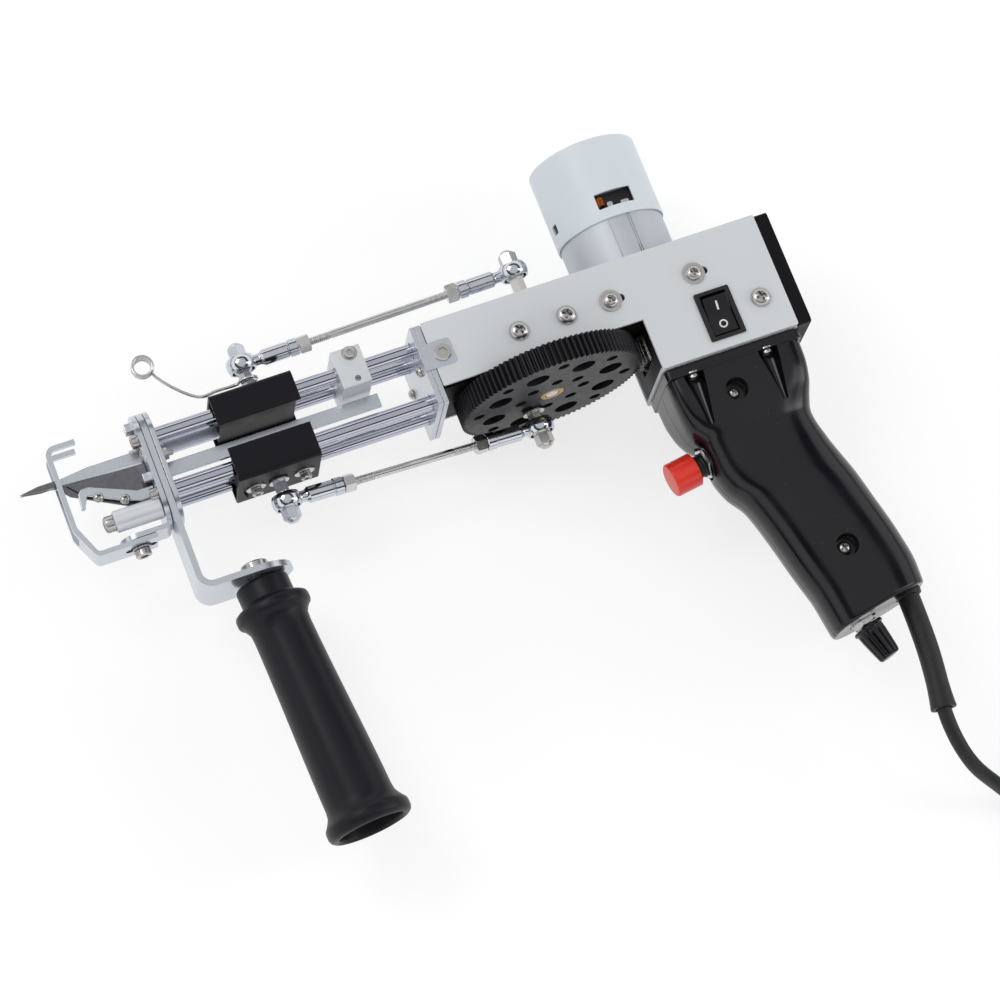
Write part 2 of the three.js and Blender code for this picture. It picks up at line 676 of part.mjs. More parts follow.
function buildRocker() {
  const face = HALF + GAP;
  const front = face + BEZEL_PROUD;
  const back = HALF - SWITCH_DEPTH;
  const wellHalfX = ROCKER_WIDTH / 2 + GAP;
  const wellHalfY = ROCKER_HEIGHT / 2 + ROCKER_CLEAR;
  const at = (w, h, radius) =>
    roundedBox(ROCKER_X - w / 2, ROCKER_X + w / 2, ROCKER_Y - h / 2, ROCKER_Y + h / 2, radius, 2);
  const bezel = cut(
    join(
      extrude("z", at(BEZEL_WIDTH, BEZEL_HEIGHT, 2 * GAP), face, front),
      extrude("z", at(SWITCH_WIDTH - 2 * GAP, SWITCH_HEIGHT - 2 * GAP, GAP), back, face + GAP),
    ),
    extrude("z", at(2 * wellHalfX, 2 * wellHalfY, GAP), front - ROCKER_DEPTH - ROCKER_CLEAR, front + OVERRUN),
  );
  add("switch_bezel", bezel, "nylon");

  const pivot = new THREE.Group();
  pivot.position.set(ROCKER_X, ROCKER_Y, front - ROCKER_DEPTH / 2);
  pivot.rotation.x = rad(ROCKER_TILT);
  machine.add(pivot);
  const end = ROCKER_HEIGHT / 2;
  const dip = end * Math.tan(rad(ROCKER_TILT));
  const rise = ROCKER_DEPTH / 2;
  const rocker = extrude("x", [
    [-end, rise + dip / 2],
    [0, rise - dip / 2],
    [end, rise + dip / 2],
    [end, rise - dip],
    [GAP, -rise],
    [-GAP, -rise],
    [-end, rise - dip],
  ].map(([y, z]) => [-y, z]), -ROCKER_WIDTH / 2, ROCKER_WIDTH / 2);
  add("rocker", rocker, "gripPlastic", pivot);
}

// A spur gear's outline: its first tooth points along +X, and with an odd count a gap points along -X
function gearOutline(teeth) {
  const pitch = (TOOTH_MODULE * teeth) / 2;
  const tip = pitch + TOOTH_MODULE * ADDENDUM;
  const root = pitch - TOOTH_MODULE * DEDENDUM;
  const halfPitch = ((Math.PI * TOOTH_MODULE) / 4) * (1 - TOOTH_THINNING);
  const halfTip = halfPitch - (tip - pitch) * FLANK_SLOPE;
  const halfRoot = halfPitch + (pitch - root) * FLANK_SLOPE;
  const points = [];
  for (let i = 0; i < teeth; i++) {
    const middle = (i / teeth) * 2 * Math.PI;
    for (const [radius, half] of [[root, -halfRoot], [tip, -halfTip], [tip, halfTip], [root, halfRoot]]) {
      const angle = middle + half / radius;
      points.push([radius * Math.sin(angle), radius * Math.cos(angle)]);
    }
  }
  return points;
}

function buildGears() {
  const holes = [circle(0, 0, BUSH_RADIUS + GAP, 16)];
  for (let i = 0; i < BIG_HOLES; i++) {
    const step = 360 / BIG_HOLES;
    const ring = (radius, degrees, size, sides) => {
      const angle = rad(HOLE_PHASE + degrees);
      holes.push(circle(radius * Math.sin(angle), radius * Math.cos(angle), size, sides));
    };
    ring(BIG_HOLE_RING, i * step, BIG_HOLE, 12);
    ring(MID_HOLE_RING, (i + 0.5) * step, MID_HOLE, 6);
    ring(INNER_HOLE_RING, (i + 0.5) * step, INNER_HOLE, 6);
  }
  const gear = extrude("y", gearOutline(GEAR_TEETH), GEAR_FACE, GEAR_TOP, holes);
  add("main_gear", gear.translate([GEAR_X, 0, 0]), "nylon");

  const bush = extrude(
    "y",
    circle(0, GEAR_X, BUSH_RADIUS),
    GEAR_FACE,
    GEAR_TOP + GAP,
    [circle(0, GEAR_X, SHAFT_RADIUS + GAP)],
  );
  add("gear_bush", bush, "brass");

  const crank = join(
    bar(vec(GEAR_X, GEAR_FACE, 0), vec(GEAR_X, CRANK_TOP, 0), SHAFT_RADIUS, 16),
    bar(vec(GEAR_X, CRANK_TOP - CRANK_DISC_HEIGHT, 0), vec(GEAR_X, CRANK_TOP, 0), CRANK_DISC, 28),
  );
  add("upper_crankshaft", crank, "zinc");

  const pinionTop = GEAR_TOP;
  const pinionLow = pinionTop - PINION_WIDTH;
  const hubTop = BODY_HEIGHT - FRAME_SHEET;
  const pinion = join(
    extrude("y", gearOutline(PINION_TEETH), pinionLow, pinionTop).translate([MOTOR_X, 0, 0]),
    bar(vec(MOTOR_X, pinionTop - GAP, 0), vec(MOTOR_X, hubTop, 0), PINION_HUB),
    bar(vec(MOTOR_X, pinionLow - ROTOR_PROUD, 0), vec(MOTOR_X, ROTOR_TOP - GAP, 0), ROTOR_RADIUS, 16),
  );
  add("motor_pinion", pinion, "stainless");
}

function buildMotor() {
  const low = BODY_HEIGHT + GAP;
  const bodyTop = CAP_TOP - CAP_WALL - 2 * GAP;
  const bore = ROTOR_RADIUS + GAP;
  const can = revolve([
    [bore, low],
    [CAN_RADIUS - GAP, low],
    [CAN_RADIUS, low + GAP],
    [CAN_RADIUS, low + CAN_HEIGHT],
    [CAN_SHOULDER, low + CAN_HEIGHT],
    [CAN_SHOULDER, bodyTop - GAP],
    [CAN_SHOULDER - GAP, bodyTop],
    [0, bodyTop],
    [0, ROTOR_TOP],
    [bore, ROTOR_TOP],
    [bore, low],
  ], 30);
  add("motor_can", can.translate([MOTOR_X, 0, 0]), "zinc");

  const inner = CAP_RADIUS - CAP_WALL;
  const shell = revolve([
    [inner, CAP_BOTTOM],
    [CAP_RADIUS, CAP_BOTTOM],
    [CAP_RADIUS, CAP_TOP - CAP_ROUND],
    [CAP_RADIUS - CAP_ROUND / 3, CAP_TOP - CAP_ROUND / 3],
    [CAP_RADIUS - CAP_ROUND, CAP_TOP],
    [0, CAP_TOP],
    [0, CAP_TOP - CAP_WALL],
    [inner - CAP_ROUND, CAP_TOP - CAP_WALL],
    [inner, CAP_TOP - CAP_ROUND],
    [inner, CAP_BOTTOM],
  ], 30);
  const opening = (width, height, degrees) => {
    const hole = new THREE.BoxGeometry(width, height, 2 * CAP_RADIUS);
    hole.translate(0, CAP_BOTTOM + WINDOW_LIFT, CAP_RADIUS).rotateY(rad(degrees));
    return solidOf(hole);
  };
  const cap = cut(
    shell,
    opening(WINDOW_WIDTH, WINDOW_HEIGHT, WINDOW_TURN),
    opening(WINDOW_WIDTH, WINDOW_HEIGHT, WINDOW_TURN + 180),
    opening(VENT_SIZE, VENT_SIZE, VENT_TURN),
    opening(VENT_SIZE, VENT_SIZE, VENT_TURN + 180),
  );
  add("motor_cap", cap.translate([MOTOR_X, 0, 0]), "capPlastic");
}

const RAILS = [
  ["upper_near_rail", UPPER_RAIL_Y, RAIL_SPREAD],
  ["upper_far_rail", UPPER_RAIL_Y, -RAIL_SPREAD],
  ["lower_near_rail", LOWER_RAIL_Y, RAIL_SPREAD],
  ["lower_far_rail", LOWER_RAIL_Y, -RAIL_SPREAD],
];
const RAIL_HOLES = RAILS.map(([, y, z]) => circle(y, z, RAIL_RADIUS + GAP, 14));

function buildRails() {
  for (const [name, y, z] of RAILS) {
    const rail = bar(vec(FRONT_X - FRONT_PLATE, y, z), vec(REAR_PLATE_X, y, z), RAIL_RADIUS, 16);
    add(name, rail, "chrome");
  }
}

// Two sheets on the side plates' front edges, the front one with a tab bent back over the near plate
function buildRearPlates() {
  const back = REAR_PLATE_X - REAR_PLATE;
  const front = REAR_PLATES_FRONT;
  const wide = HALF + REAR_PLATE_OVERHANG;
  const sheetOutline = (inset) =>
    roundedBox(REAR_PLATE_LOW + inset, BODY_HEIGHT - inset, inset - wide, wide - inset, REAR_PLATE_OVERHANG);
  const wallZ = HALF + GAP;
  const outerZ = wallZ + TAB_SHEET;
  const cornerX = front + TAB_LENGTH - TAB_SHEET;
  const tabOutline = [
    [front, TAB_LOW],
    ...arc(cornerX, TAB_LOW + TAB_SHEET, TAB_SHEET, -90, 0, 3),
    ...arc(cornerX, TAB_HIGH - TAB_SHEET, TAB_SHEET, 0, 90, 3),
    [front, TAB_HIGH],
  ];
  const hole = circle(cornerX - 2 * TAB_SHEET, (TAB_LOW + TAB_HIGH) / 2, PLATE_HOLE, 12);
  const plates = join(
    extrude("x", sheetOutline(0), front, front + REAR_PLATE),
    extrude("x", sheetOutline(2 * GAP), front + REAR_PLATE - GAP, back + GAP),
    extrude("x", sheetOutline(0), back, back + REAR_PLATE),
    block(front, front + REAR_PLATE, TAB_LOW, TAB_HIGH, HALF, outerZ),
    extrude("z", tabOutline, wallZ, outerZ, [hole]),
  );
  const bores = RAILS.map(([, y, z]) =>
    bar(vec(front - OVERRUN, y, z), vec(REAR_PLATE_X + OVERRUN, y, z), RAIL_RADIUS + GAP, 16),
  );
  add("rear_rail_plates", cut(plates, ...bores), "zinc");

  const centreBar = block(FRONT_X + GAP, BAR_END, BAR_LOW, BAR_HIGH, -BAR_SHEET / 2, BAR_SHEET / 2);
  add("centre_bar", centreBar, "zinc");
}

const OVAL = roundedBox(OVAL_BOTTOM, OVAL_TOP, -OVAL_HALF, OVAL_HALF, OVAL_CORNER, 6);
const WINDOW = roundedBox(WINDOW_LOW, WINDOW_TOP, -WINDOW_HALF, WINDOW_HALF, WINDOW_HALF / 2);
const STRAP_TOP = OVAL_BOTTOM + OVAL_CORNER; // where the oval is at its full width
const BRACKET_BACK = FRONT_X - FRONT_PLATE - GAP;
const BRACKET_FRONT = BRACKET_BACK - BRACKET_SHEET;
const PRESSER_BACK = BRACKET_FRONT - GAP;
const PRESSER_FRONT = PRESSER_BACK - FRONT_PLATE;
const SHELF_TOP = PRESSER_SHELF_Y + FRONT_PLATE;

function buildHandleBracket() {
  const railPlate = extrude("x", OVAL, FRONT_X - FRONT_PLATE, FRONT_X, [...RAIL_HOLES, WINDOW]);
  add("front_rail_plate", railPlate, "zinc");

  const bendX = BRACKET_BACK + BRACKET_BEND;
  const bendY = FLANGE_Y + BRACKET_SHEET + BRACKET_BEND;
  const flangeTop = FLANGE_Y + BRACKET_SHEET;
  const strap = extrude("z", [
    [BRACKET_FRONT, STRAP_TOP],
    ...arc(bendX, bendY, BRACKET_BEND + BRACKET_SHEET, 180, 270, 4),
    [HANDLE_X, FLANGE_Y],
    [HANDLE_X, flangeTop],
    ...arc(bendX, bendY, BRACKET_BEND, 270, 180, 4),
    [BRACKET_BACK, STRAP_TOP],
  ], -BRACKET_HALF, BRACKET_HALF);
  const bracket = cut(
    join(
      extrude("x", OVAL, BRACKET_FRONT, BRACKET_BACK),
      strap,
      bar(vec(HANDLE_X, FLANGE_Y, 0), vec(HANDLE_X, flangeTop, 0), BRACKET_HALF, 28),
    ),
    extrude("x", WINDOW, BRACKET_FRONT - OVERRUN, BRACKET_BACK + OVERRUN),
    bar(vec(HANDLE_X, FLANGE_Y - OVERRUN, 0), vec(HANDLE_X, flangeTop + OVERRUN, 0), HANDLE_BOLT + GAP, 14),
  );
  add("handle_bracket", bracket, "zinc");
  const headLow = flangeTop + GAP;
  const bolt = join(
    bar(vec(HANDLE_X, headLow, 0), vec(HANDLE_X, headLow + HANDLE_BOLT_HEAD_HEIGHT, 0), HANDLE_BOLT_HEAD, 20),
    bar(vec(HANDLE_X, FLANGE_Y - HANDLE_BOLT_LENGTH, 0), vec(HANDLE_X, headLow, 0), HANDLE_BOLT, 14),
  );
  add("handle_bolt", bolt, "stainless");
}

// The bolt that holds the presser foot, fused with the bracket that it is screwed into
function presserBolt() {
  const head = PRESSER_SHELF_Y - FOOT_SHEET - 2 * GAP;
  const stack = [
    [FOOT_BOLT_HEAD, head - FOOT_BOLT_HEAD_HEIGHT, head, 18],
    [FOOT_BOLT_WASHER, head - FOOT_BOLT_WASHER_HEIGHT, head, 18],
    [FOOT_BOLT_RADIUS, head - GAP, PRESSER_SHELF_Y + GAP, 12],
  ];
  const place = (y) => vec(FOOT_BOLT_X, y, 0);
  return join(...stack.map(([r, low, high, sides]) => bar(place(low), place(high), r, sides)));
}

function buildPresserBracket() {
  const noseX = PRESSER_SHELF_FRONT + FOOT_HALF;
  const bracket = cut(
    join(
      extrude("x", OVAL, PRESSER_FRONT, PRESSER_BACK),
      block(PRESSER_FRONT, PRESSER_BACK, PRESSER_SHELF_Y, STRAP_TOP, -FOOT_HALF, FOOT_HALF),
      block(noseX, PRESSER_BACK, PRESSER_SHELF_Y, SHELF_TOP, -FOOT_HALF, FOOT_HALF),
      bar(vec(noseX, PRESSER_SHELF_Y, 0), vec(noseX, SHELF_TOP, 0), FOOT_HALF, 24),
    ),
    extrude("x", WINDOW, PRESSER_FRONT - OVERRUN, PRESSER_BACK + OVERRUN),
  );
  add("presser_bracket", join(bracket, presserBolt()), "zinc");
}

// A nut with a crowned end, standing on the plane at height from, growing along the sign of up
function crownNut(x, z, from, up) {
  const shoulder = from + up * NUT_HEIGHT;
  const low = vec(x, shoulder - up * GAP, z);
  const crown = vec(x, shoulder + up * NUT_CROWN, z);
  return join(
    hexBar(vec(x, from, z), vec(x, shoulder, z), NUT_FLATS),
    bar(low, crown, NUT_FLATS / 2 - GAP, 12, NUT_FLATS / 2 - NUT_CROWN),
  );
}

// The ball with its short sleeves, round the Y axis
function ball(x, y, z) {
  const profile = [[0, -BALL_HALF]];
  const start = Math.acos(BALL_HALF / BALL_RADIUS);
  for (let i = 0; i <= 5; i++) {
    const angle = start + ((Math.PI - 2 * start) * i) / 5;
    profile.push([BALL_RADIUS * Math.sin(angle), -BALL_RADIUS * Math.cos(angle)]);
  }
  profile.push([0, BALL_HALF]);
  return revolve(profile, 12).translate([x, y, z]);
}

function carriageStud(x, base, rodY) {
  const up = Math.sign(rodY - base);
  const foot = base + up * GAP;
  const sleeve = rodY - up * BALL_HALF;
  const out = rodY + up * (BALL_HALF - NUT_BITE);
  return join(
    bar(vec(x, foot, 0), vec(x, foot + up * STUD_WASHER_HEIGHT, 0), STUD_WASHER, 18),
    hexBar(vec(x, foot, 0), vec(x, sleeve - up * STUD_WASHER_HEIGHT, 0), STUD_FLATS),
    bar(vec(x, foot, 0), vec(x, out + up * NUT_CROWN, 0), BOLT_RADIUS, 12),
    ball(x, rodY, 0),
    crownNut(x, 0, out, up),
  );
}

function buildCarriages() {
  const x0 = CARRIAGE_X - CARRIAGE_LENGTH / 2;
  const x1 = CARRIAGE_X + CARRIAGE_LENGTH / 2;
  // Section of a bent cover: web at the height web, flanges reaching to the height open
  const channel = (web, open) => {
    const up = Math.sign(web - open);
    const half = COVER_HALF;
    const inner = half - COVER_SHEET;
    const bend = COVER_BEND;
    const outerArc = arc(web - up * bend, half - bend, bend, up > 0 ? 0 : 180, 90, 3);
    const farArc = arc(web - up * bend, bend - half, bend, 270, up > 0 ? 360 : 180, 3);
    return [
      ...outerArc,
      [open, half],
      [open, inner],
      [web - up * COVER_SHEET, inner],
      [web - up * COVER_SHEET, -inner],
      [open, -inner],
      [open, -half],
      ...farArc,
    ];
  };
  const build = (label, web, open, railY, studX, rodY) => {
    const up = Math.sign(web - open);
    add(`${label}_carriage_cover`, extrude("x", channel(web, open), x0, x1), "anodised");
    const innerHalf = COVER_HALF - COVER_SHEET - GAP;
    const near = web - up * (COVER_SHEET + GAP);
    const far = open + up * SLIDE_TRIM;
    const section = [
      [near, -innerHalf],
      [near, innerHalf],
      [far, innerHalf],
      [far, -innerHalf],
    ];
    const holes = [RAIL_SPREAD, -RAIL_SPREAD].map((z) => circle(railY, z, RAIL_RADIUS + GAP, 16));
    const slide = extrude("x", section, x0 + SLIDE_MARGIN, x1 - SLIDE_MARGIN, holes);
    add(`${label}_slide_block`, slide, "anodised");
    add(`${label}_carriage_stud`, carriageStud(studX, web, rodY), "zinc");
  };
  build("upper", UPPER_COVER_TOP, UPPER_COVER_LOW, UPPER_RAIL_Y, UPPER_STUD_X, UPPER_ROD_Y);
  build("lower", LOWER_COVER_LOW, LOWER_COVER_TOP, LOWER_RAIL_Y, LOWER_STUD_X, LOWER_ROD_Y);
}

// A tie rod in its own frame: front ball at the origin, rear ball on +X.
// The crank's face is given by its height.
function buildTieRod(label, front, pin, crankFace) {
  const up = Math.sign(front.y - crankFace);
  const reach = Math.hypot(pin.x - front.x, pin.z - front.z);
  const holder = new THREE.Group();
  holder.position.copy(front);
  holder.rotation.y = Math.atan2(front.z - pin.z, pin.x - front.x);
  machine.add(holder);

  const rodEnd = (x, toward) => {
    const neckFrom = x + toward * BALL_RADIUS;
    const neckTo = x + toward * NECK_LENGTH;
    const shankTo = x + toward * SHANK_LENGTH;
    const collar = shankTo - toward * SHANK_COLLAR;
    return cut(
      join(
        bar(vec(x, -EYE_HALF, 0), vec(x, EYE_HALF, 0), EYE_RADIUS, 18),
        bar(vec(neckFrom, 0, 0), vec(neckTo + toward * GAP, 0, 0), NECK_RADIUS, 10),
        bar(vec(neckTo, 0, 0), vec(collar, 0, 0), SHANK_RADIUS, 12),
        bar(vec(collar - toward * GAP, 0, 0), vec(shankTo, 0, 0), SHANK_RADIUS + GAP, 12),
      ),
      bar(vec(x, -EYE_RADIUS, 0), vec(x, EYE_RADIUS, 0), BALL_RADIUS + GAP, 16),
    );
  };
  add(`${label}_front_rod_end`, rodEnd(0, 1), "zinc", holder);
  add(`${label}_rear_rod_end`, rodEnd(reach, -1), "zinc", holder);
  const from = SHANK_LENGTH + GAP;
  const to = reach - SHANK_LENGTH - GAP;
  const tie = join(
    bar(vec(from, 0, 0), vec(to, 0, 0), TIE_RADIUS, 12),
    hexBar(vec(from, 0, 0), vec(from + LOCK_NUT, 0, 0), LOCK_FLATS),
    hexBar(vec(to - LOCK_NUT, 0, 0), vec(to, 0, 0), LOCK_FLATS),
  );
  add(`${label}_tie_rod`, tie, "stainless", holder);
  const at = (y) => vec(reach, y, 0);
  const sleeve = up * (BALL_HALF - NUT_BITE);
  const foot = crankFace + up * GAP - front.y;
  const pinBolt = join(
    ball(reach, 0, 0),
    bar(at(foot), at(foot + up * STUD_WASHER_HEIGHT), BOSS_WASHER, 18),
    hexBar(at(foot), at(-sleeve), BOSS_FLATS),
    crownNut(reach, 0, sleeve, up),
  );
  add(`${label}_crank_bolt`, pinBolt, "stainless", holder);
}

function buildTieRods() {
  buildTieRod("lower", vec(LOWER_STUD_X, LOWER_ROD_Y, 0), LOWER_PIN, GEAR_FACE);
  buildTieRod("upper", vec(UPPER_STUD_X, UPPER_ROD_Y, 0), UPPER_PIN, CRANK_TOP);
}

function buildStop() {
  const x0 = STOP_X - STOP_LENGTH / 2;
  const x1 = STOP_X + STOP_LENGTH / 2;
  const outline = roundedBox(STOP_LOW, STOP_HIGH, -STOP_HALF, STOP_HALF, STOP_CORNER, 2);
  const holes = [RAIL_SPREAD, -RAIL_SPREAD].map((z) => circle(UPPER_RAIL_Y, z, RAIL_RADIUS + GAP, 16));
  add("depth_stop", extrude("x", outline, x0, x1, holes), "aluminium");
}

function buildYarnGuide() {
  const loop = STUD_FLATS / Math.sqrt(3) + GAP + WIRE_RADIUS;
  const points = [];
  for (let i = 0; i <= 8; i++) {
    const angle = rad(GUIDE_HOOK_FROM + (i / 8) * GUIDE_HOOK_TURN);
    points.push(vec(UPPER_STUD_X + loop * Math.cos(angle), GUIDE_Y, loop * Math.sin(angle)));
  }
  const [bendX, bendY] = GUIDE_BEND;
  const [eyeX, eyeY] = GUIDE_EYE;
  points.push(vec(bendX + 2 * loop, bendY, 0));
  points.push(vec(bendX, bendY, 0));
  const steps = 10;
  const side = EYE_TURNS * EYE_TURN_PITCH;
  for (let i = 0; i <= EYE_TURNS * steps; i++) {
    const angle = rad(EYE_START) + (i / steps) * 2 * Math.PI;
    const x = eyeX + EYE_TURN_RADIUS * Math.cos(angle);
    const y = eyeY + EYE_TURN_RADIUS * Math.sin(angle);
    points.push(vec(x, y, (i / (EYE_TURNS * steps)) * side));
  }
  const curve = smooth(points);
  const least = leastSelfGap(curve, WIRE_RADIUS, 400, 4 * EYE_TURN_RADIUS);
  console.log("yarn guide, least gap to itself:", least.toFixed(2));
  add("yarn_guide", tube(curve, WIRE_RADIUS, 5, 50), "zinc");
}

const BAR_BACK = CARRIAGE_X - CARRIAGE_LENGTH / 2 + SLIDE_MARGIN - GAP; // back end of the two sliding bars

function buildNeedle() {
  const half = NEEDLE_BAR_HALF;
  const [tipX, tipY] = NEEDLE_TIP;
  const needleBar = extrude("z", [
    [BAR_BACK, NEEDLE_BAR_LOW],
    [BAR_BACK, NEEDLE_BAR_HIGH],
    [NEEDLE_SHOULDER, NEEDLE_BAR_HIGH],
    [NEEDLE_BACK, tipY + PRONG_DEPTH],
    [NEEDLE_BACK, tipY - PRONG_DEPTH],
    [NEEDLE_TAPER, NEEDLE_BAR_LOW],
  ], -half, half);
  add("needle_bar", needleBar, "zinc");

  const cheekZ = -half - GAP;
  const [cheekX, cheekY] = CHEEK_TIP;
  const cheek = extrude("z", [
    [NEEDLE_TAPER, NEEDLE_BAR_LOW],
    [NEEDLE_TAPER, NEEDLE_BAR_HIGH],
    [NEEDLE_BACK, cheekY + CHEEK_SHEET],
    [cheekX, cheekY],
    [NEEDLE_BACK, NEEDLE_BAR_LOW],
  ], cheekZ - CHEEK_SHEET, cheekZ);
  add("needle_cheek", cheek, "zinc");

  const front = NEEDLE_BACK - GAP;
  const slitBack = (2 * front + tipX) / 3;
  const needle = cut(
    extrude("z", [
      [front, tipY - PRONG_DEPTH],
      [front, tipY + PRONG_DEPTH],
      [(front + tipX) / 2, tipY + PRONG_DEPTH],
      [tipX, tipY],
      [(front + tipX) / 2, tipY - PRONG_DEPTH],
    ], -half, half),
    block(
      tipX - OVERRUN,
      slitBack,
      tipY - PRONG_DEPTH - OVERRUN,
      tipY + PRONG_DEPTH + OVERRUN,
      -NEEDLE_SLIT / 2,
      NEEDLE_SLIT / 2,
    ),
  );
  add("needle", needle, "stainless");
}

function buildBlades() {
  const half = NEEDLE_BAR_HALF;
  const low = SCISSOR_BAR_LOW;
  const high = SCISSOR_BAR_HIGH;
  add("scissor_bar", block(SCISSOR_BAR_FRONT, BAR_BACK, low, high, -half, half), "zinc");
  const [tipX, tipY] = MOVING_BLADE_TIP;
  const root = SCISSOR_BAR_FRONT + BLADE_ROOT;
  const neck = SCISSOR_BAR_FRONT - BLADE_ROOT;
  const moving = extrude("z", [
    [root, low],
    [root, BLADE_HEEL],
    [tipX, tipY],
    [tipX + BLADE_ROOT, tipY - BLADE_RISE],
    [neck, low],
  ], half + GAP, half + GAP + BLADE_SHEET);
  add("moving_blade", moving, "blade");

  const fixedZ = half + 2 * GAP + BLADE_SHEET;
  const [edgeX, edgeY] = FIXED_BLADE_TIP;
  const back = PRESSER_FRONT - GAP - BLADE_ROOT;
  const fixed = extrude("z", [
    [back, HOLDER_LOW],
    [back, HOLDER_LOW + BLADE_RISE],
    [edgeX, edgeY],
    [edgeX + BLADE_ROOT, edgeY - BLADE_RISE],
  ], fixedZ, fixedZ + BLADE_SHEET);
  add("fixed_blade", fixed, "blade");

  const holderZ = fixedZ + BLADE_SHEET + GAP;
  const t = HOLDER_SHEET;
  const face = PRESSER_FRONT - GAP;
  const [hookX, hookY] = HOLDER_HOOK;
  const holder = extrude("z", [
    [face, HOLDER_LOW],
    [face, HOLDER_HIGH],
    [face - 4 * t, HOLDER_HIGH],
    [hookX + 3 * t, hookY],
    [hookX + t, hookY],
    [hookX, hookY - t],
    [hookX - t / 2, hookY - HOLDER_CLAW],
    [hookX + t / 2, hookY - HOLDER_CLAW],
    [hookX + 2 * t, hookY - 2 * t],
    [face - 9 * t, HOLDER_LOW + 2 * t],
    [face - 4 * t, HOLDER_LOW],
  ], holderZ, holderZ + t);
  add("blade_holder", holder, "zinc");
}

function buildFrontEnd() {
  const face = PRESSER_FRONT - GAP;
  const screwFront = POST_FRONT - POST_SCREW_HEAD;
  const post = cut(
    join(
      bar(vec(POST_FRONT, POST_Y, POST_Z), vec(face, POST_Y, POST_Z), POST_RADIUS, 24),
      bar(vec(screwFront, POST_Y, POST_Z), vec(POST_FRONT + GAP, POST_Y, POST_Z), POST_SCREW_RADIUS, 20),
    ),
    hexBar(
      vec(screwFront - OVERRUN, POST_Y, POST_Z),
      vec(screwFront + POST_SCREW_HEAD / 2, POST_Y, POST_Z),
      POST_SCREW_RADIUS,
    ),
  );
  add("guide_post", post, "aluminium");

  const footTop = PRESSER_SHELF_Y - GAP;
  const footLow = footTop - FOOT_SHEET;
  const [shinX, shinY] = FOOT_SHIN;
  const t = FOOT_SHEET;
  const profile = [
    [FOOT_BACK, footLow],
    [FOOT_BACK, footTop],
    [FOOT_TOE, footTop],
    [shinX + t, shinY],
    ...arc(shinX + FOOT_BEND, FOOT_TOP - FOOT_BEND, FOOT_BEND - t, 180, 90, 3),
    [FOOT_FINGER, FOOT_TOP - t],
    [FOOT_FINGER, FOOT_TOP],
    ...arc(shinX + FOOT_BEND, FOOT_TOP - FOOT_BEND, FOOT_BEND, 90, 180, 4),
    [shinX, shinY - t / 2],
    [FOOT_TOE - t / 2, footLow],
  ];
  const gate = FOOT_HALF - FOOT_LEG;
  const slotFront = FOOT_BOLT_X - FOOT_SLOT / 2;
  const slotBack = FOOT_BOLT_X + FOOT_SLOT / 2;
  const slotRadius = FOOT_BOLT_RADIUS + GAP;
  const base = extrude("z", profile, -FOOT_HALF, FOOT_HALF);
  const slotOutline = slot(slotFront, slotBack, 0, slotRadius).map(([x, z]) => [z, x]);
  const foot = cut(
    base,
    block(shinX - OVERRUN, FOOT_FINGER + OVERRUN, shinY - 2 * t, FOOT_TOP + OVERRUN, -gate, gate),
    extrude("y", slotOutline, footLow - OVERRUN, footTop + OVERRUN),
  );
  add("presser_foot", foot, "zinc");
}

function buildHandle() {
  const holder = new THREE.Group();
  holder.position.set(HANDLE_X, FLANGE_Y - GAP, 0);
  holder.rotation.z = rad(HANDLE_TILT);
  machine.add(holder);
  // The tilted top would cut into the flange, so it starts lower by what the tilt raises its edge
  const top = -HANDLE_COLLAR * Math.tan(rad(HANDLE_TILT));
  const level = (part, i) => top - HANDLE_SHARES[part][i] * HANDLE_LENGTH;
  const boreTop = top - HANDLE_LENGTH + HANDLE_BORE_DEPTH;
  const boltSeat = HANDLE_BOLT + HANDLE_BOLT_LENGTH * Math.tan(rad(HANDLE_TILT)) + 2 * GAP;
  const shell = revolve([
    [boltSeat, top],
    [HANDLE_COLLAR - 2 * GAP, level("collar", 0)],
    [HANDLE_COLLAR, level("collar", 1)],
    [HANDLE_COLLAR, level("collar", 2)],
    [HANDLE_RING - 2 * GAP, level("ring", 0)],
    [HANDLE_RING, level("ring", 1)],
    [HANDLE_RING, level("ring", 2)],
    [HANDLE_RING - 2 * GAP, level("ring", 3)],
    [HANDLE_TOP_RADIUS + GAP, level("neck", 0)],
    [HANDLE_TOP_RADIUS, level("neck", 1)],
    [(HANDLE_TOP_RADIUS + HANDLE_END_RADIUS) / 2 + GAP, level("swell", 0)],
    [HANDLE_END_RADIUS, level("swell", 1)],
    [HANDLE_FLANGE - GAP, level("flange", 0)],
    [HANDLE_FLANGE, level("flange", 1)],
    [HANDLE_FLANGE, level("flange", 2)],
    [HANDLE_FLANGE - 2 * GAP, level("flange", 3)],
    [HANDLE_BORE, level("flange", 3)],
    [HANDLE_BORE, boreTop],
    [boltSeat, boreTop],
    [boltSeat, top],
  ], 20);
  add("side_handle", shell, "handlePlastic", holder);
}

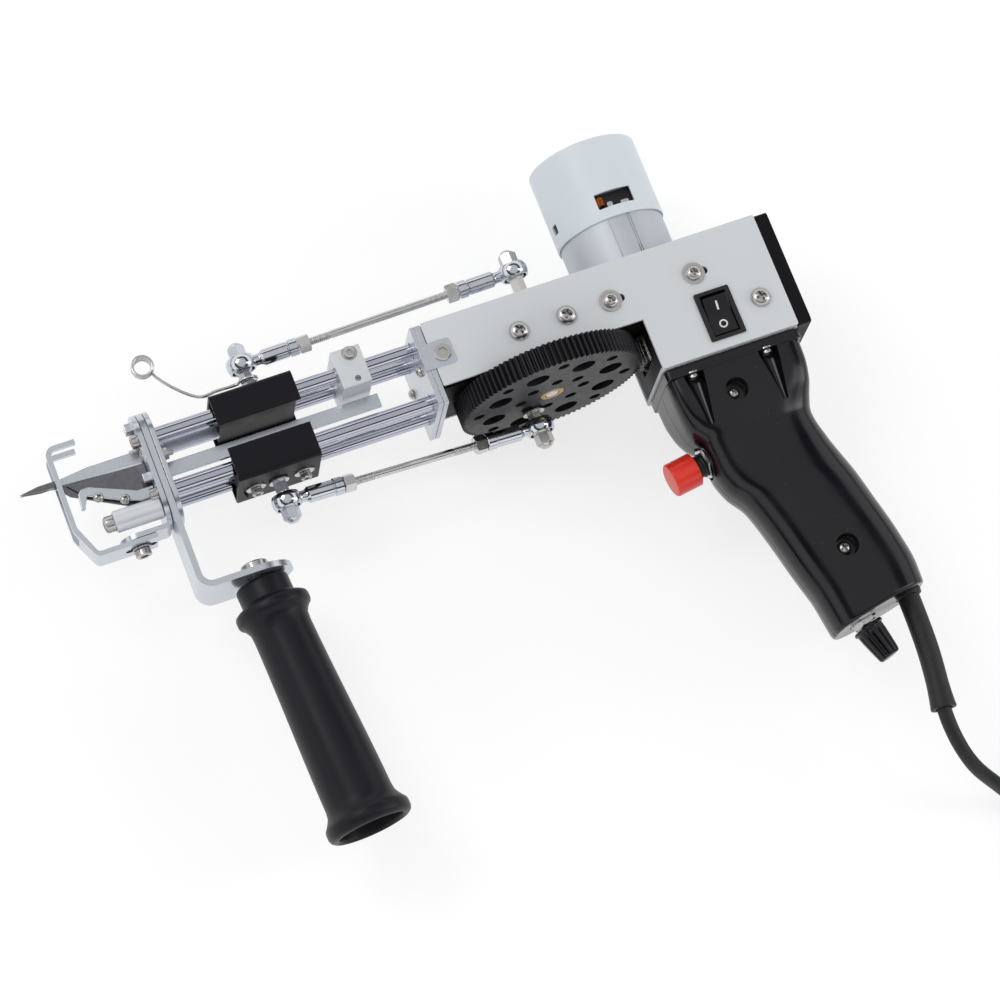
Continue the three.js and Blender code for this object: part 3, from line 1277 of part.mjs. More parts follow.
// One half of the grip, lofted through its stations.
// Each station is half a rounded outline, closed by the parting plane.
function gripHalf(side) {
  const last = GRIP_STATIONS.length - 1;
  const rings = GRIP_STATIONS.map(({ drop, front, back, half, square }, k) => {
    const middle = (front + back) / 2;
    const reach = (back - front) / 2;
    const ring = [];
    for (let i = 0; i <= GRIP_FACETS; i++) {
      const angle = (Math.PI * i) / GRIP_FACETS;
      const along = Math.sign(Math.cos(angle)) * Math.abs(Math.cos(angle)) ** (2 / square);
      const across = Math.abs(Math.sin(angle)) ** (2 / square);
      const heel = k === last ? (GRIP_HEEL * (along - 1)) / 2 : 0;
      const z = side * (GRIP_PARTING + (half - GRIP_PARTING) * across);
      ring.push(vec(middle + reach * along, TAIL_LOW - drop + heel, z));
    }
    return ring;
  });
  const positions = [];
  const face = (...corners) => corners.forEach((corner) => positions.push(...corner.toArray()));
  const count = GRIP_FACETS + 1;
  for (let k = 0; k < last; k++) {
    for (let i = 0; i < count; i++) {
      const next = (i + 1) % count;
      face(rings[k][i], rings[k][next], rings[k + 1][i]);
      face(rings[k][next], rings[k + 1][next], rings[k + 1][i]);
    }
  }
  for (let i = 1; i + 1 < count; i++) {
    face(rings[0][0], rings[0][i + 1], rings[0][i]);
    face(rings[last][0], rings[last][i], rings[last][i + 1]);
  }
  const geometry = new THREE.BufferGeometry();
  geometry.setAttribute("position", new THREE.Float32BufferAttribute(positions, 3));
  return solidOf(geometry);
}

// A solid made in its own frame, set at a place on the grip and tilted about Z
function tilted(solid, x, y, degrees) {
  return solid.rotate([0, 0, degrees]).translate([x, y, 0]);
}

// Height of the grip's slanted lower end at a place along X
function heelAt(x) {
  const end = GRIP_STATIONS[GRIP_STATIONS.length - 1];
  return TAIL_LOW - end.drop - (GRIP_HEEL * (end.back - x)) / (end.back - end.front);
}

function buildGrip() {
  const knobY = heelAt(KNOB_X) + KNOB_SEAT;
  const triggerSeat = TRIGGER_NUT_FLATS / Math.sqrt(3) + GAP;
  const knobSeat = KNOB_NUT_FLATS / Math.sqrt(3) + GAP;
  const bores = [
    tilted(
      join(
        bar(vec(0, 0, 0), vec(-TRIGGER_CAP_REACH, 0, 0), triggerSeat, 24),
        bar(vec(-OVERRUN, 0, 0), vec(TRIGGER_BODY_LENGTH + GAP, 0, 0), TRIGGER_BODY + GAP),
      ),
      TRIGGER_X,
      TAIL_LOW - TRIGGER_DROP,
      TRIGGER_TILT,
    ),
    tilted(
      join(
        bar(vec(0, 0, 0), vec(0, -KNOB_LENGTH, 0), knobSeat, 24),
        bar(vec(0, -OVERRUN, 0), vec(0, KNOB_BODY_LENGTH + GAP, 0), KNOB_BODY + GAP),
      ),
      KNOB_X,
      knobY,
      KNOB_TILT,
    ),
    bar(
      vec(SLEEVE_X, heelAt(SLEEVE_X) - OVERRUN, 0),
      vec(SLEEVE_X, heelAt(SLEEVE_X) + GLAND_DEPTH, 0),
      SLEEVE_ROOT + GAP,
    ),
  ];
  const screwHoles = GRIP_SCREWS.map(([x, drop]) => {
    const half = GRIP_STATIONS.find((station) => station.drop >= drop).half;
    const y = TAIL_LOW - drop;
    return bar(vec(x, y, half - GRIP_SCREW_DEPTH), vec(x, y, half + GRIP_SCREW_DEPTH), GRIP_SCREW_HOLE, 16);
  });
  const pockets = POCKETS_X.map((x) => {
    const place = (drop) => {
      const { half } = GRIP_STATIONS.find((station) => station.drop >= drop);
      return vec(x, TAIL_LOW - drop, half - POCKET_SINK);
    };
    const end = POCKET_DROP + POCKET_LENGTH;
    return bar(place(POCKET_DROP), place(end), POCKET_RADIUS, 14, POCKET_TIP);
  });
  add("grip_near_half", cut(gripHalf(1), ...bores, ...screwHoles, ...pockets), "gripPlastic");
  add("grip_far_half", cut(gripHalf(-1), ...bores), "gripPlastic");

  buildTrigger();
  buildKnob(knobY);
}

function buildTrigger() {
  const nutOut = -GAP - TRIGGER_NUT;
  const bootEnd = nutOut - TRIGGER_BOOT_LENGTH;
  const ribs = [];
  for (let i = 0; i < TRIGGER_RIBS; i++) {
    const pitch = TRIGGER_BOOT_LENGTH / TRIGGER_RIBS;
    const x = nutOut - i * pitch;
    ribs.push(bar(vec(x, 0, 0), vec(x - pitch / 2, 0, 0), TRIGGER_BOOT, 16));
  }
  const bore = TRIGGER_STEM + GAP;
  const boreEnd = TRIGGER_TRAVEL + TRIGGER_STEM_REACH + GAP;
  const socket = cut(
    join(
      bar(vec(TRIGGER_BODY_LENGTH, 0, 0), vec(-GAP, 0, 0), TRIGGER_BODY, 16),
      hexBar(vec(-GAP, 0, 0), vec(nutOut, 0, 0), TRIGGER_NUT_FLATS),
      bar(vec(0, 0, 0), vec(bootEnd, 0, 0), TRIGGER_BOOT - 2 * GAP, 16),
      ...ribs,
    ),
    bar(vec(bootEnd - OVERRUN, 0, 0), vec(boreEnd, 0, 0), bore, 12),
  );
  add("trigger_switch", tilted(socket, TRIGGER_X, TAIL_LOW - TRIGGER_DROP, TRIGGER_TILT), "nylon");

  const out = -TRIGGER_CAP_REACH;
  const inner = TRIGGER_BOOT + 2 * GAP;
  const open = out + TRIGGER_CAP_LENGTH;
  const floor = out + TRIGGER_CAP_FLOOR;
  const cup = revolve([
    [0, out],
    [TRIGGER_CAP - 2 * GAP, out],
    [TRIGGER_CAP, out + 2 * GAP],
    [TRIGGER_CAP, open - GAP],
    [TRIGGER_CAP - GAP, open],
    [inner, open],
    [inner, floor],
    [TRIGGER_STEM, floor],
    [TRIGGER_STEM, TRIGGER_STEM_REACH],
    [0, TRIGGER_STEM_REACH],
  ], 20).rotate([0, 0, -90]);
  add("trigger_button", tilted(cup, TRIGGER_X, TAIL_LOW - TRIGGER_DROP, TRIGGER_TILT), "redPlastic");
}

function buildKnob(y) {
  const nutEnd = -GAP - KNOB_NUT;
  const shaftIn = KNOB_BODY_LENGTH / 2;
  const control = cut(
    join(
      bar(vec(0, KNOB_BODY_LENGTH, 0), vec(0, -GAP, 0), KNOB_BODY),
      hexBar(vec(0, -GAP, 0), vec(0, nutEnd, 0), KNOB_NUT_FLATS),
    ),
    bar(vec(0, nutEnd - OVERRUN, 0), vec(0, shaftIn + GAP, 0), KNOB_SHAFT + GAP, 16),
  );
  add("speed_control", tilted(control, KNOB_X, y, KNOB_TILT), "zinc");

  const top = nutEnd - 2 * GAP;
  const end = top - KNOB_LENGTH;
  const fluted = [];
  for (let i = 0; i < KNOB_RIBS; i++) {
    const pitch = 360 / KNOB_RIBS;
    const rib = [i - KNOB_RIB_SHARE, i + KNOB_RIB_SHARE].map((share) => share * pitch);
    const groove = [i + 0.5 - KNOB_GROOVE_SHARE, i + 0.5 + KNOB_GROOVE_SHARE].map((share) => share * pitch);
    fluted.push(...arc(0, 0, KNOB_TOP_RADIUS, ...rib, 1));
    fluted.push(...arc(0, 0, KNOB_TOP_RADIUS - KNOB_FLUTE, ...groove, 1));
  }
  const body = revolve([
    [0, end],
    [KNOB_END_RADIUS - KNOB_FLUTE, end],
    [KNOB_END_RADIUS, end + KNOB_FLUTE],
    [KNOB_TOP_RADIUS, top - KNOB_LENGTH / 4],
    [KNOB_TOP_RADIUS, top],
    [0, top],
  ], 24);
  const knob = join(
    extrude("y", fluted, end, top).intersect(body),
    bar(vec(0, top - GAP, 0), vec(0, shaftIn, 0), KNOB_SHAFT, 16),
  );
  add("speed_knob", tilted(knob, KNOB_X, y, KNOB_TILT), "gripPlastic");
}

// Where the cord leaves its sleeve
const SLEEVE_TOP = heelAt(SLEEVE_X) + GLAND_DEPTH - GAP;
const SLEEVE_END = vec(SLEEVE_X + SLEEVE_LEAN, heelAt(SLEEVE_X) - SLEEVE_LENGTH, 0);

function buildSleeve() {
  const root = heelAt(SLEEVE_X);
  const bend = root - SLEEVE_LENGTH / 2;
  const curve = smooth([
    vec(SLEEVE_X, SLEEVE_TOP, 0),
    vec(SLEEVE_X, root, 0),
    vec(SLEEVE_X + SLEEVE_LEAN / 4, bend, 0),
    SLEEVE_END,
  ]);
  const down = curve.getTangent(1);
  const mouth = SLEEVE_END.clone().addScaledVector(down, -SLEEVE_SOCKET);
  const sleeve = cut(
    join(
      tube(curve, SLEEVE_ROOT, 12, 8),
      bar(mouth.clone().addScaledVector(down, -OVERRUN), SLEEVE_END, SLEEVE_ROOT, 12, SLEEVE_END_RADIUS),
    ),
    bar(mouth, SLEEVE_END.clone().addScaledVector(down, OVERRUN), CORD_RADIUS + GAP, 12),
  );
  add("cord_sleeve", sleeve, "rubber");
  return { mouth, down };
}

// The stored length of cord: one unbroken tube that winds inward on the table, climbs, and winds out on top
function coilCurve() {
  const [centreX, centreY] = COIL_CENTRE;
  const inner = COIL_MIDDLE - (COIL_PITCH * COIL_TURNS) / 2;
  const outer = COIL_MIDDLE + (COIL_PITCH * COIL_TURNS) / 2;
  const floor = TABLE_Z + CORD_RADIUS;
  const turns = 2 * COIL_TURNS;
  const count = Math.round(turns * COIL_STEPS);
  const points = [];
  for (let i = 0; i <= count; i++) {
    const turn = (i / count) * turns;
    const angle = rad(COIL_START) + turn * 2 * Math.PI;
    const radius = inner + Math.abs(turn - COIL_TURNS) * COIL_PITCH;
    const climbFrom = COIL_TURNS - COIL_CLIMB_SHARE;
    const climb = THREE.MathUtils.smoothstep(turn, climbFrom, climbFrom + 2 * COIL_CLIMB_SHARE);
    points.push(
      vec(centreX + radius * Math.cos(angle), centreY + radius * Math.sin(angle), floor + climb * COIL_LAYER),
    );
  }
  const first = points[0];
  const final = points[points.length - 1];
  const startAway = first.clone().sub(points[1]).setZ(0).normalize();
  const endAway = final.clone().sub(points[points.length - 2]).setZ(0).normalize();
  points.unshift(first.clone().addScaledVector(startAway, 2 * CORD_RADIUS));
  points.push(final.clone().addScaledVector(endAway, 2 * CORD_RADIUS));
  console.log("coil radii:", inner.toFixed(1), "to", outer.toFixed(1));
  return { curve: smooth(points), startAway, endAway, points };
}

// Points along a route of straight legs whose corners are rounded to one bend radius
function roundedRoute(corners, bend, spacing) {
  const points = [corners[0].clone()];
  const goTo = (place) => {
    const from = points[points.length - 1].clone();
    const count = Math.max(1, Math.round(from.distanceTo(place) / spacing));
    for (let i = 1; i <= count; i++) {
      points.push(from.clone().lerp(place, i / count));
    }
  };
  for (let i = 1; i + 1 < corners.length; i++) {
    const into = corners[i].clone().sub(corners[i - 1]).normalize();
    const out = corners[i + 1].clone().sub(corners[i]).normalize();
    const turn = into.angleTo(out);
    const start = corners[i].clone().addScaledVector(into, -bend * Math.tan(turn / 2));
    const side = out.clone().addScaledVector(into, -Math.cos(turn)).normalize();
    goTo(start);
    const count = Math.max(1, Math.round((bend * turn) / spacing));
    for (let k = 1; k <= count; k++) {
      const angle = (turn * k) / count;
      const ahead = bend * Math.sin(angle);
      const aside = bend * (1 - Math.cos(angle));
      points.push(start.clone().addScaledVector(into, ahead).addScaledVector(side, aside));
    }
  }
  goTo(corners[corners.length - 1]);
  return points;
}

// The tightest bend of a curve, as a radius
function tightestBend(curve, samples) {
  const points = curve.getSpacedPoints(samples);
  let least = Infinity;
  for (let i = 1; i + 1 < points.length; i++) {
    const before = points[i].clone().sub(points[i - 1]);
    const after = points[i + 1].clone().sub(points[i]);
    least = Math.min(least, before.length() / Math.max(before.angleTo(after), WELD));
  }
  return least;
}

function buildCord(mouth, down) {
  const { curve, startAway, endAway, points } = coilCurve();
  // The tube's rings sit at the points, so that all turns have their corners at the same angles
  curve.getUtoTmapping = (u) => u;
  const steps = points.length - 1;
  console.log("cord coil, length:", curve.getLength().toFixed(0));
  const least = leastSelfGap(curve, CORD_RADIUS, 1500, 12 * CORD_RADIUS);
  console.log("cord coil, least gap to itself:", least.toFixed(2));
  const wound = tube(curve, CORD_RADIUS, COIL_SIDES, steps);
  add("cord_coil", wound, "rubber");

  const end = points[0].clone().addScaledVector(startAway, GAP);
  const corners = [
    mouth.clone().addScaledVector(down, GAP),
    SLEEVE_END.clone().addScaledVector(down, CORD_DROP),
    end.clone().addScaledVector(startAway, CORD_ARRIVAL),
    end,
  ];
  const route = smooth(roundedRoute(corners, CORD_BEND, CORD_STEP));
  console.log("cord's free stretch, length:", route.getLength().toFixed(0));
  console.log("cord's free stretch, tightest bend:", tightestBend(route, 60).toFixed(1));
  add("power_cord", tube(route, CORD_RADIUS, CORD_SIDES, 20), "rubber");

  buildPlug(points[points.length - 1].clone().addScaledVector(endAway, GAP), endAway);
}

// A two-pin plug: a short lead, a tapered neck, a waisted body and two round pins
function buildPlug(start, away) {
  const holder = new THREE.Group();
  holder.position.copy(start);
  holder.rotation.z = Math.atan2(away.y, away.x);
  machine.add(holder);
  const drop = start.z - (TABLE_Z + PLUG_THICK / 2);
  const lead = smooth([
    vec(0, 0, 0),
    vec(2 * CORD_RADIUS, 0, 0),
    vec(TAIL_RUN / 2, 0, -drop / 2),
    vec(TAIL_RUN - 2 * CORD_RADIUS, 0, -drop),
    vec(TAIL_RUN, 0, -drop),
  ]);
  const neckEnd = TAIL_RUN + PLUG_NECK;
  const half = PLUG_WIDTH / 2;
  const waist = half - PLUG_NECK_RADIUS / 2;
  const outline = [
    [neckEnd - GAP, -PLUG_NECK_RADIUS],
    [neckEnd + PLUG_LENGTH / 5, -half],
    [neckEnd + PLUG_LENGTH / 2, -waist],
    [neckEnd + PLUG_LENGTH - PLUG_CORNER, -half],
    [neckEnd + PLUG_LENGTH, PLUG_CORNER / 2 - half],
  ];
  const mirrored = outline.map(([x, y]) => [x, -y]).reverse();
  const body = extrude("z", [...outline, ...mirrored], -drop - PLUG_THICK / 2, PLUG_THICK / 2 - drop);
  const face = neckEnd + PLUG_LENGTH;
  const pins = [-1, 1].map((side) => {
    const y = (side * PIN_SPACING) / 2;
    return bar(vec(face - GAP, y, -drop), vec(face + PIN_LENGTH, y, -drop), PIN_RADIUS, 12);
  });
  const plug = join(
    tube(lead, CORD_RADIUS, CORD_SIDES, 8),
    bar(vec(TAIL_RUN - GAP, 0, -drop), vec(neckEnd, 0, -drop), CORD_RADIUS, 12, PLUG_NECK_RADIUS),
    body,
    ...pins,
  );
  add("plug_body", plug, "rubber", holder);
}

function buildAll() {
  buildSidePlates();
  buildFrame();
  buildRocker();
  buildGears();
  buildMotor();
  buildRails();
  buildRearPlates();
  buildHandleBracket();
  buildPresserBracket();
  buildCarriages();
  buildTieRods();
  buildStop();
  buildYarnGuide();
  buildNeedle();
  buildBlades();
  buildFrontEnd();
  buildHandle();
  buildGrip();
  const { mouth, down } = buildSleeve();
  buildCord(mouth, down);
}

buildAll();

// Set the machine down: the middle of its box over the origin, its lowest point on the table
machine.updateMatrixWorld(true);
const box = new THREE.Box3();
machine.traverse((piece) => {
  if (piece.isMesh && !CORD_NODES.includes(piece.name)) box.expandByObject(piece, true);
});
const middle = box.getCenter(new THREE.Vector3());
machine.position.set(-middle.x, -middle.y, -box.min.z);

export default machine;
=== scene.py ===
import json
import math

import bmesh
import bpy
from bpy.props import FloatProperty, IntProperty, PointerProperty, StringProperty
from mathutils import Matrix, Vector

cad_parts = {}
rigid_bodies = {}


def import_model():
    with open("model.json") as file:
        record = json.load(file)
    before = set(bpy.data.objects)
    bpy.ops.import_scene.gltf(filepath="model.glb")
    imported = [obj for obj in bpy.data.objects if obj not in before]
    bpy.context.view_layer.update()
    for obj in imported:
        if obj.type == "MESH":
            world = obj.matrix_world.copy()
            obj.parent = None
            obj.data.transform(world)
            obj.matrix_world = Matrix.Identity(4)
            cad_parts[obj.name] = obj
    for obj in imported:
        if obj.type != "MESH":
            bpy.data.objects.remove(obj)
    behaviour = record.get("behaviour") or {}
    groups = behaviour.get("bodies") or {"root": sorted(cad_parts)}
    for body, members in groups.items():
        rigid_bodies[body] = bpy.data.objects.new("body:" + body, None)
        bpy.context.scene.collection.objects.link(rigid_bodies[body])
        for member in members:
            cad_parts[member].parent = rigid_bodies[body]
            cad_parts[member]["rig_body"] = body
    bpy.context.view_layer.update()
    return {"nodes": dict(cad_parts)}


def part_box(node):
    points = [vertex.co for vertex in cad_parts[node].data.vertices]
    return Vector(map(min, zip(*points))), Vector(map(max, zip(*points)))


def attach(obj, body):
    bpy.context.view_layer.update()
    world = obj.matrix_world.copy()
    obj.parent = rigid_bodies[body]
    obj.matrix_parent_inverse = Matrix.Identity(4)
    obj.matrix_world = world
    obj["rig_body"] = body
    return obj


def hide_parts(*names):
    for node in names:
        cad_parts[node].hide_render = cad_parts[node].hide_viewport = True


bl_info = {
    "name": "Handheld tufting machine",
    "version": (1, 0, 0),
    "blender": (4, 5, 0),
    "location": "3D View > Sidebar > Tufting",
    "description": "Finishes each piece of the packed tufting machine and sets it in a plain studio",
    "category": "Object",
}

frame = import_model()
NODES = frame["nodes"]

MM = 0.001
X = Vector((1, 0, 0))
Y = Vector((0, 1, 0))
Z = Vector((0, 0, 1))

# The machine's own axes start at the inner corner of the side plate's step, halfway between the plates
NEAR_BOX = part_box("near_side_plate")
FAR_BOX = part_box("far_side_plate")
TAIL_LENGTH = 58.7
BOX_DROP = 22.1
ORIGIN = Vector((
    NEAR_BOX[1].x - TAIL_LENGTH * MM,
    NEAR_BOX[0].y + BOX_DROP * MM,
    (NEAR_BOX[1].z + FAR_BOX[0].z) / 2,
))
HALF_WIDTH = (NEAR_BOX[1].z - FAR_BOX[0].z) / 2 / MM


def at(x, y, z):
    """A point given in the machine's own axes, in millimetres."""
    return ORIGIN + Vector((x, y, z)) * MM


# Settings that a user can change in the sidebar


class TuftingColours(bpy.types.PropertyGroup):
    """Colours of the finishes, each as sRGB hex"""

    plate: StringProperty(name="Plate paint", description="Paint on the side plates", default="#D9DCE0")
    zinc: StringProperty(name="Zinc plating", description="Bright zinc on steel", default="#CACFD7")
    chrome: StringProperty(name="Hard chrome", description="Sliding rails", default="#BCBECB")
    stainless: StringProperty(name="Stainless steel", description="Screws and nuts", default="#C4C2C0")
    cap: StringProperty(name="Motor cap", description="Moulded cap over the motor", default="#E0E6EC")
    black: StringProperty(name="Black plastic", description="Grip, knob and rocker", default="#101017")
    nylon: StringProperty(name="Gear nylon", description="Moulded gear", default="#1B1B21")
    handle: StringProperty(name="Side handle", description="Satin side handle", default="#0F1019")
    anodised: StringProperty(name="Black anodising", description="Carriage covers", default="#13131A")
    button: StringProperty(name="Trigger button", description="Red trigger cap", default="#EC3120")
    brass: StringProperty(name="Brass", description="Gear bush", default="#B58B3C")
    cable: StringProperty(name="Cable", description="Cord, sleeve and plug", default="#111114")


class TuftingSizes(bpy.types.PropertyGroup):
    """Sizes of what is bought by its size: screws, threads, the knob and the cord"""

    pan_head: FloatProperty(
        name="Pan head", description="Diameter of the side plates' pan heads",
        default=8.2 * MM, unit="LENGTH")
    cap_head: FloatProperty(
        name="Cap head", description="Diameter of the carriages' cap screws", default=4.6 * MM, unit="LENGTH")
    thread_pitch: FloatProperty(
        name="Thread pitch", description="Pitch of the tie rods' threads", default=0.8 * MM, unit="LENGTH")
    thread_depth: FloatProperty(
        name="Thread depth", description="Height of a thread's ridge", default=0.24 * MM, unit="LENGTH")
    knob_flutes: IntProperty(
        name="Knob flutes", description="Grooves round the speed knob", default=12, min=4)
    cord: FloatProperty(name="Cord", description="Diameter of the power cord", default=6 * MM, unit="LENGTH")


class TuftingStudio(bpy.types.PropertyGroup):
    """The camera's place and the strength of the light"""

    azimuth: FloatProperty(
        name="Azimuth", description="Camera's turn about the vertical", default=math.radians(-37.99),
        subtype="ANGLE")
    elevation: FloatProperty(
        name="Elevation", description="Camera's height above the horizon", default=math.radians(71.65),
        subtype="ANGLE")
    roll: FloatProperty(
        name="Roll", description="Camera's turn about its line of sight", default=math.radians(17.82),
        subtype="ANGLE")
    distance: FloatProperty(
        name="Distance", description="From the camera to the side plates", default=1.465, unit="LENGTH")
    lens: FloatProperty(
        name="Lens", description="Focal length for a 36 mm sensor", default=134.93, unit="CAMERA")
    key_power: FloatProperty(
        name="Key light", description="Power of the large soft box", default=9.0, min=0)
    side_power: FloatProperty(
        name="Side light", description="Power of the narrow soft box", default=4.0, min=0)
    sky: FloatProperty(name="Sky", description="Level of the bright band all round", default=1.15, min=0)
    paper_white: FloatProperty(
        name="Paper white", description="Share of the floor's white that no shadow dims",
        default=0.6, min=0, max=1)


def colours():
    return bpy.context.scene.tufting_colours


def sizes():
    return bpy.context.scene.tufting_sizes


# Outlines, solids and their edges

# The share of a side that one rounded corner takes at most, and the radius below which it stays sharp
CORNER_SHARE = 0.48
SHARP_BELOW = 0.02
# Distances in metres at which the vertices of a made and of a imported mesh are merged
MADE_MERGE = 1e-7
PACKED_MERGE = 2e-6
FLAT_ANGLE = math.radians(0.5)


def linked(name, data):
    """A new object in the scene, at the origin."""
    made = bpy.data.objects.new(name, data)
    bpy.context.scene.collection.objects.link(made)
    return made


def arc(u, v, radius, start, end, steps):
    angles = [math.radians(start + (end - start) * i / steps) for i in range(steps + 1)]
    return [(u + radius * math.cos(a), v + radius * math.sin(a)) for a in angles]


def circle(u, v, radius, steps=48):
    return arc(u, v, radius, 0, 360, steps)[:-1]


def rounded_box(u0, u1, v0, v1, radius, steps=12):
    return (
        arc(u1 - radius, v1 - radius, radius, 0, 90, steps)
        + arc(u0 + radius, v1 - radius, radius, 90, 180, steps)
        + arc(u0 + radius, v0 + radius, radius, 180, 270, steps)
        + arc(u1 - radius, v0 + radius, radius, 270, 360, steps)
    )


def rounded(corners, radius, steps=6):
    """A closed outline whose corners are rounded, each by its own radius or by one for all."""
    count = len(corners)
    radii = radius if isinstance(radius, (list, tuple)) else [radius] * count
    outline = []
    for i, corner in enumerate(corners):
        here = Vector(corner)
        before = Vector(corners[i - 1]) - here
        after = Vector(corners[(i + 1) % count]) - here
        limit = min(before.length, after.length) * CORNER_SHARE
        turn = before.angle(after)
        r = min(radii[i], limit * math.tan(turn / 2))
        if r < SHARP_BELOW:
            outline.append(tuple(here))
            continue
        reach = r / math.tan(turn / 2)
        start = here + before.normalized() * reach
        end = here + after.normalized() * reach
        for k in range(steps + 1):
            t = k / steps
            point = start * (1 - t) ** 2 + here * 2 * t * (1 - t) + end * t * t
            outline.append(tuple(point))
    return outline


def solid(name, vertices, faces):
    """A mesh object at the origin, its doubles merged and its faces turned outwards."""
    mesh = bpy.data.meshes.new(name)
    mesh.from_pydata([tuple(v) for v in vertices], [], faces)
    work = bmesh.new()
    work.from_mesh(mesh)
    bmesh.ops.remove_doubles(work, verts=work.verts, dist=MADE_MERGE)
    bmesh.ops.recalc_face_normals(work, faces=work.faces)
    work.to_mesh(mesh)
    work.free()
    return linked(name, mesh)


def pushed(name, outline, offset):
    """An outline of points pushed along a vector."""
    count = len(outline)
    faces = [list(range(count)), list(range(2 * count - 1, count - 1, -1))]
    faces += [[i, (i + 1) % count, (i + 1) % count + count, i + count] for i in range(count)]
    return solid(name, list(outline) + [point + offset for point in outline], faces)


def plate(name, axis, outline, start, end):
    """An outline in millimetres pushed along x (y, z), y (x, z) or z (x, y)."""
    place = {
        "x": lambda u, v: at(start, u, v),
        "y": lambda u, v: at(u, start, v),
        "z": lambda u, v: at(u, v, start),
    }[axis]
    way = {"x": X, "y": Y, "z": Z}[axis]
    return pushed(name, [place(u, v) for u, v in outline], way * (end - start) * MM)


def punched(piece, axis, holes, start, end):
    """Cuts outlines right through a plate between its two faces along an axis."""
    return carved(piece, *[plate("cutter", axis, hole, start - 1, end + 1) for hole in holes])


def ringed(name, rings, steps=32, open_loop=True, shape=None):
    """Skins a run of rings, each (centre, direction, radius in mm). shape(angle, k) scales ring k."""
    vertices = []
    rows = []
    side = rings[0][1].orthogonal().normalized()
    for k, (centre, direction, radius) in enumerate(rings):
        ahead = direction.normalized()
        side = (side - ahead * side.dot(ahead)).normalized()
        other = ahead.cross(side)
        if radius <= 0:
            rows.append([len(vertices)])
            vertices.append(centre)
            continue
        rows.append(list(range(len(vertices), len(vertices) + steps)))
        for i in range(steps):
            angle = 2 * math.pi * i / steps
            size = radius * (shape(angle, k) if shape else 1) * MM
            vertices.append(centre + (side * math.cos(angle) + other * math.sin(angle)) * size)
    faces = []
    pairs = list(zip(rows, rows[1:]))
    if not open_loop:
        pairs.append((rows[-1], rows[0]))
    for low, high in pairs:
        for i in range(steps):
            k = (i + 1) % steps
            if len(low) == 1 and len(high) == 1:
                break
            if len(low) == 1:
                faces.append([low[0], high[k], high[i]])
            elif len(high) == 1:
                faces.append([low[i], low[k], high[0]])
            else:
                faces.append([low[i], low[k], high[k], high[i]])
    if open_loop:
        faces += [row for row in (rows[0][::-1], rows[-1]) if len(row) > 2]
    return solid(name, vertices, faces)


def turned(name, foot, axis, profile, steps=64, closed_loop=False):
    """A turned solid: its profile holds (height along the axis, radius) pairs in millimetres."""
    axis = axis.normalized()
    rings = [(foot + axis * height * MM, axis, radius) for height, radius in profile]
    return ringed(name, rings, steps, not closed_loop)


def drum(name, foot, axis, start, end, radius, steps=48, rim=0.0):
    """A plain cylinder between two heights along an axis, its rims cut off at 45 degrees."""
    low = [(start, 0), (start, radius - rim), (start + rim, radius)]
    high = [(end - rim, radius), (end, radius - rim), (end, 0)]
    if not rim:
        low, high = low[:2], high[1:]
    return turned(name, foot, axis, low + high, steps)


def hexagon_cutter(start, end, way, radius, tip):
    """A cutter for the hexagon socket of a screw head."""
    return ringed("cutter", [(start, way, radius), (end, way, tip)], 6)


def moved(piece, place):
    """Moves a piece's mesh by a matrix, while its object stays at the origin."""
    piece.data.transform(place)
    return piece


def smooth_path(points, per_leg):
    """Points on a centripetal curve through the given points."""
    first = points[0] * 2 - points[1]
    last = points[-1] * 2 - points[-2]
    through = [first, *points, last]
    path = []
    for i in range(1, len(through) - 2):
        a, b, c, d = through[i - 1:i + 3]
        times = [0.0]
        for p, q in ((a, b), (b, c), (c, d)):
            times.append(times[-1] + max((q - p).length, 1e-9) ** 0.5)
        t0, t1, t2, t3 = times
        for k in range(per_leg):
            t = t1 + (t2 - t1) * k / per_leg
            ab = a * ((t1 - t) / (t1 - t0)) + b * ((t - t0) / (t1 - t0))
            bc = b * ((t2 - t) / (t2 - t1)) + c * ((t - t1) / (t2 - t1))
            cd = c * ((t3 - t) / (t3 - t2)) + d * ((t - t2) / (t3 - t2))
            abc = ab * ((t2 - t) / (t2 - t0)) + bc * ((t - t0) / (t2 - t0))
            bcd = bc * ((t3 - t) / (t3 - t1)) + cd * ((t - t1) / (t3 - t1))
            path.append(abc * ((t2 - t) / (t2 - t1)) + bcd * ((t - t1) / (t2 - t1)))
    path.append(points[-1])
    return path


def swept(name, path, radius, steps=16):
    rings = []
    for i, point in enumerate(path):
        ahead = path[min(i + 1, len(path) - 1)] - path[max(i - 1, 0)]
        rings.append((point, ahead, radius))
    return ringed(name, rings, steps)


def settled(piece):
    """Applies the modifiers of a piece."""
    ready = piece.evaluated_get(bpy.context.evaluated_depsgraph_get())
    mesh = bpy.data.meshes.new_from_object(ready)
    piece.modifiers.clear()
    old = piece.data
    piece.data = mesh
    bpy.data.meshes.remove(old)
    return piece


def combined(piece, others, operation):
    for other in others:
        step = piece.modifiers.new("cut", "BOOLEAN")
        step.operation = operation
        step.solver = "EXACT"
        step.object = other
    settled(piece)
    for other in others:
        bpy.data.objects.remove(other)
    return piece


def carved(piece, *cutters):
    return combined(piece, cutters, "DIFFERENCE")


def fused(piece, *others):
    return combined(piece, others, "UNION")


def grouped(name, *pieces):
    """Several separate solids as one object."""
    work = bmesh.new()
    for piece in pieces:
        work.from_mesh(piece.data)
        bpy.data.objects.remove(piece)
    mesh = bpy.data.meshes.new(name)
    work.to_mesh(mesh)
    work.free()
    return linked(name, mesh)


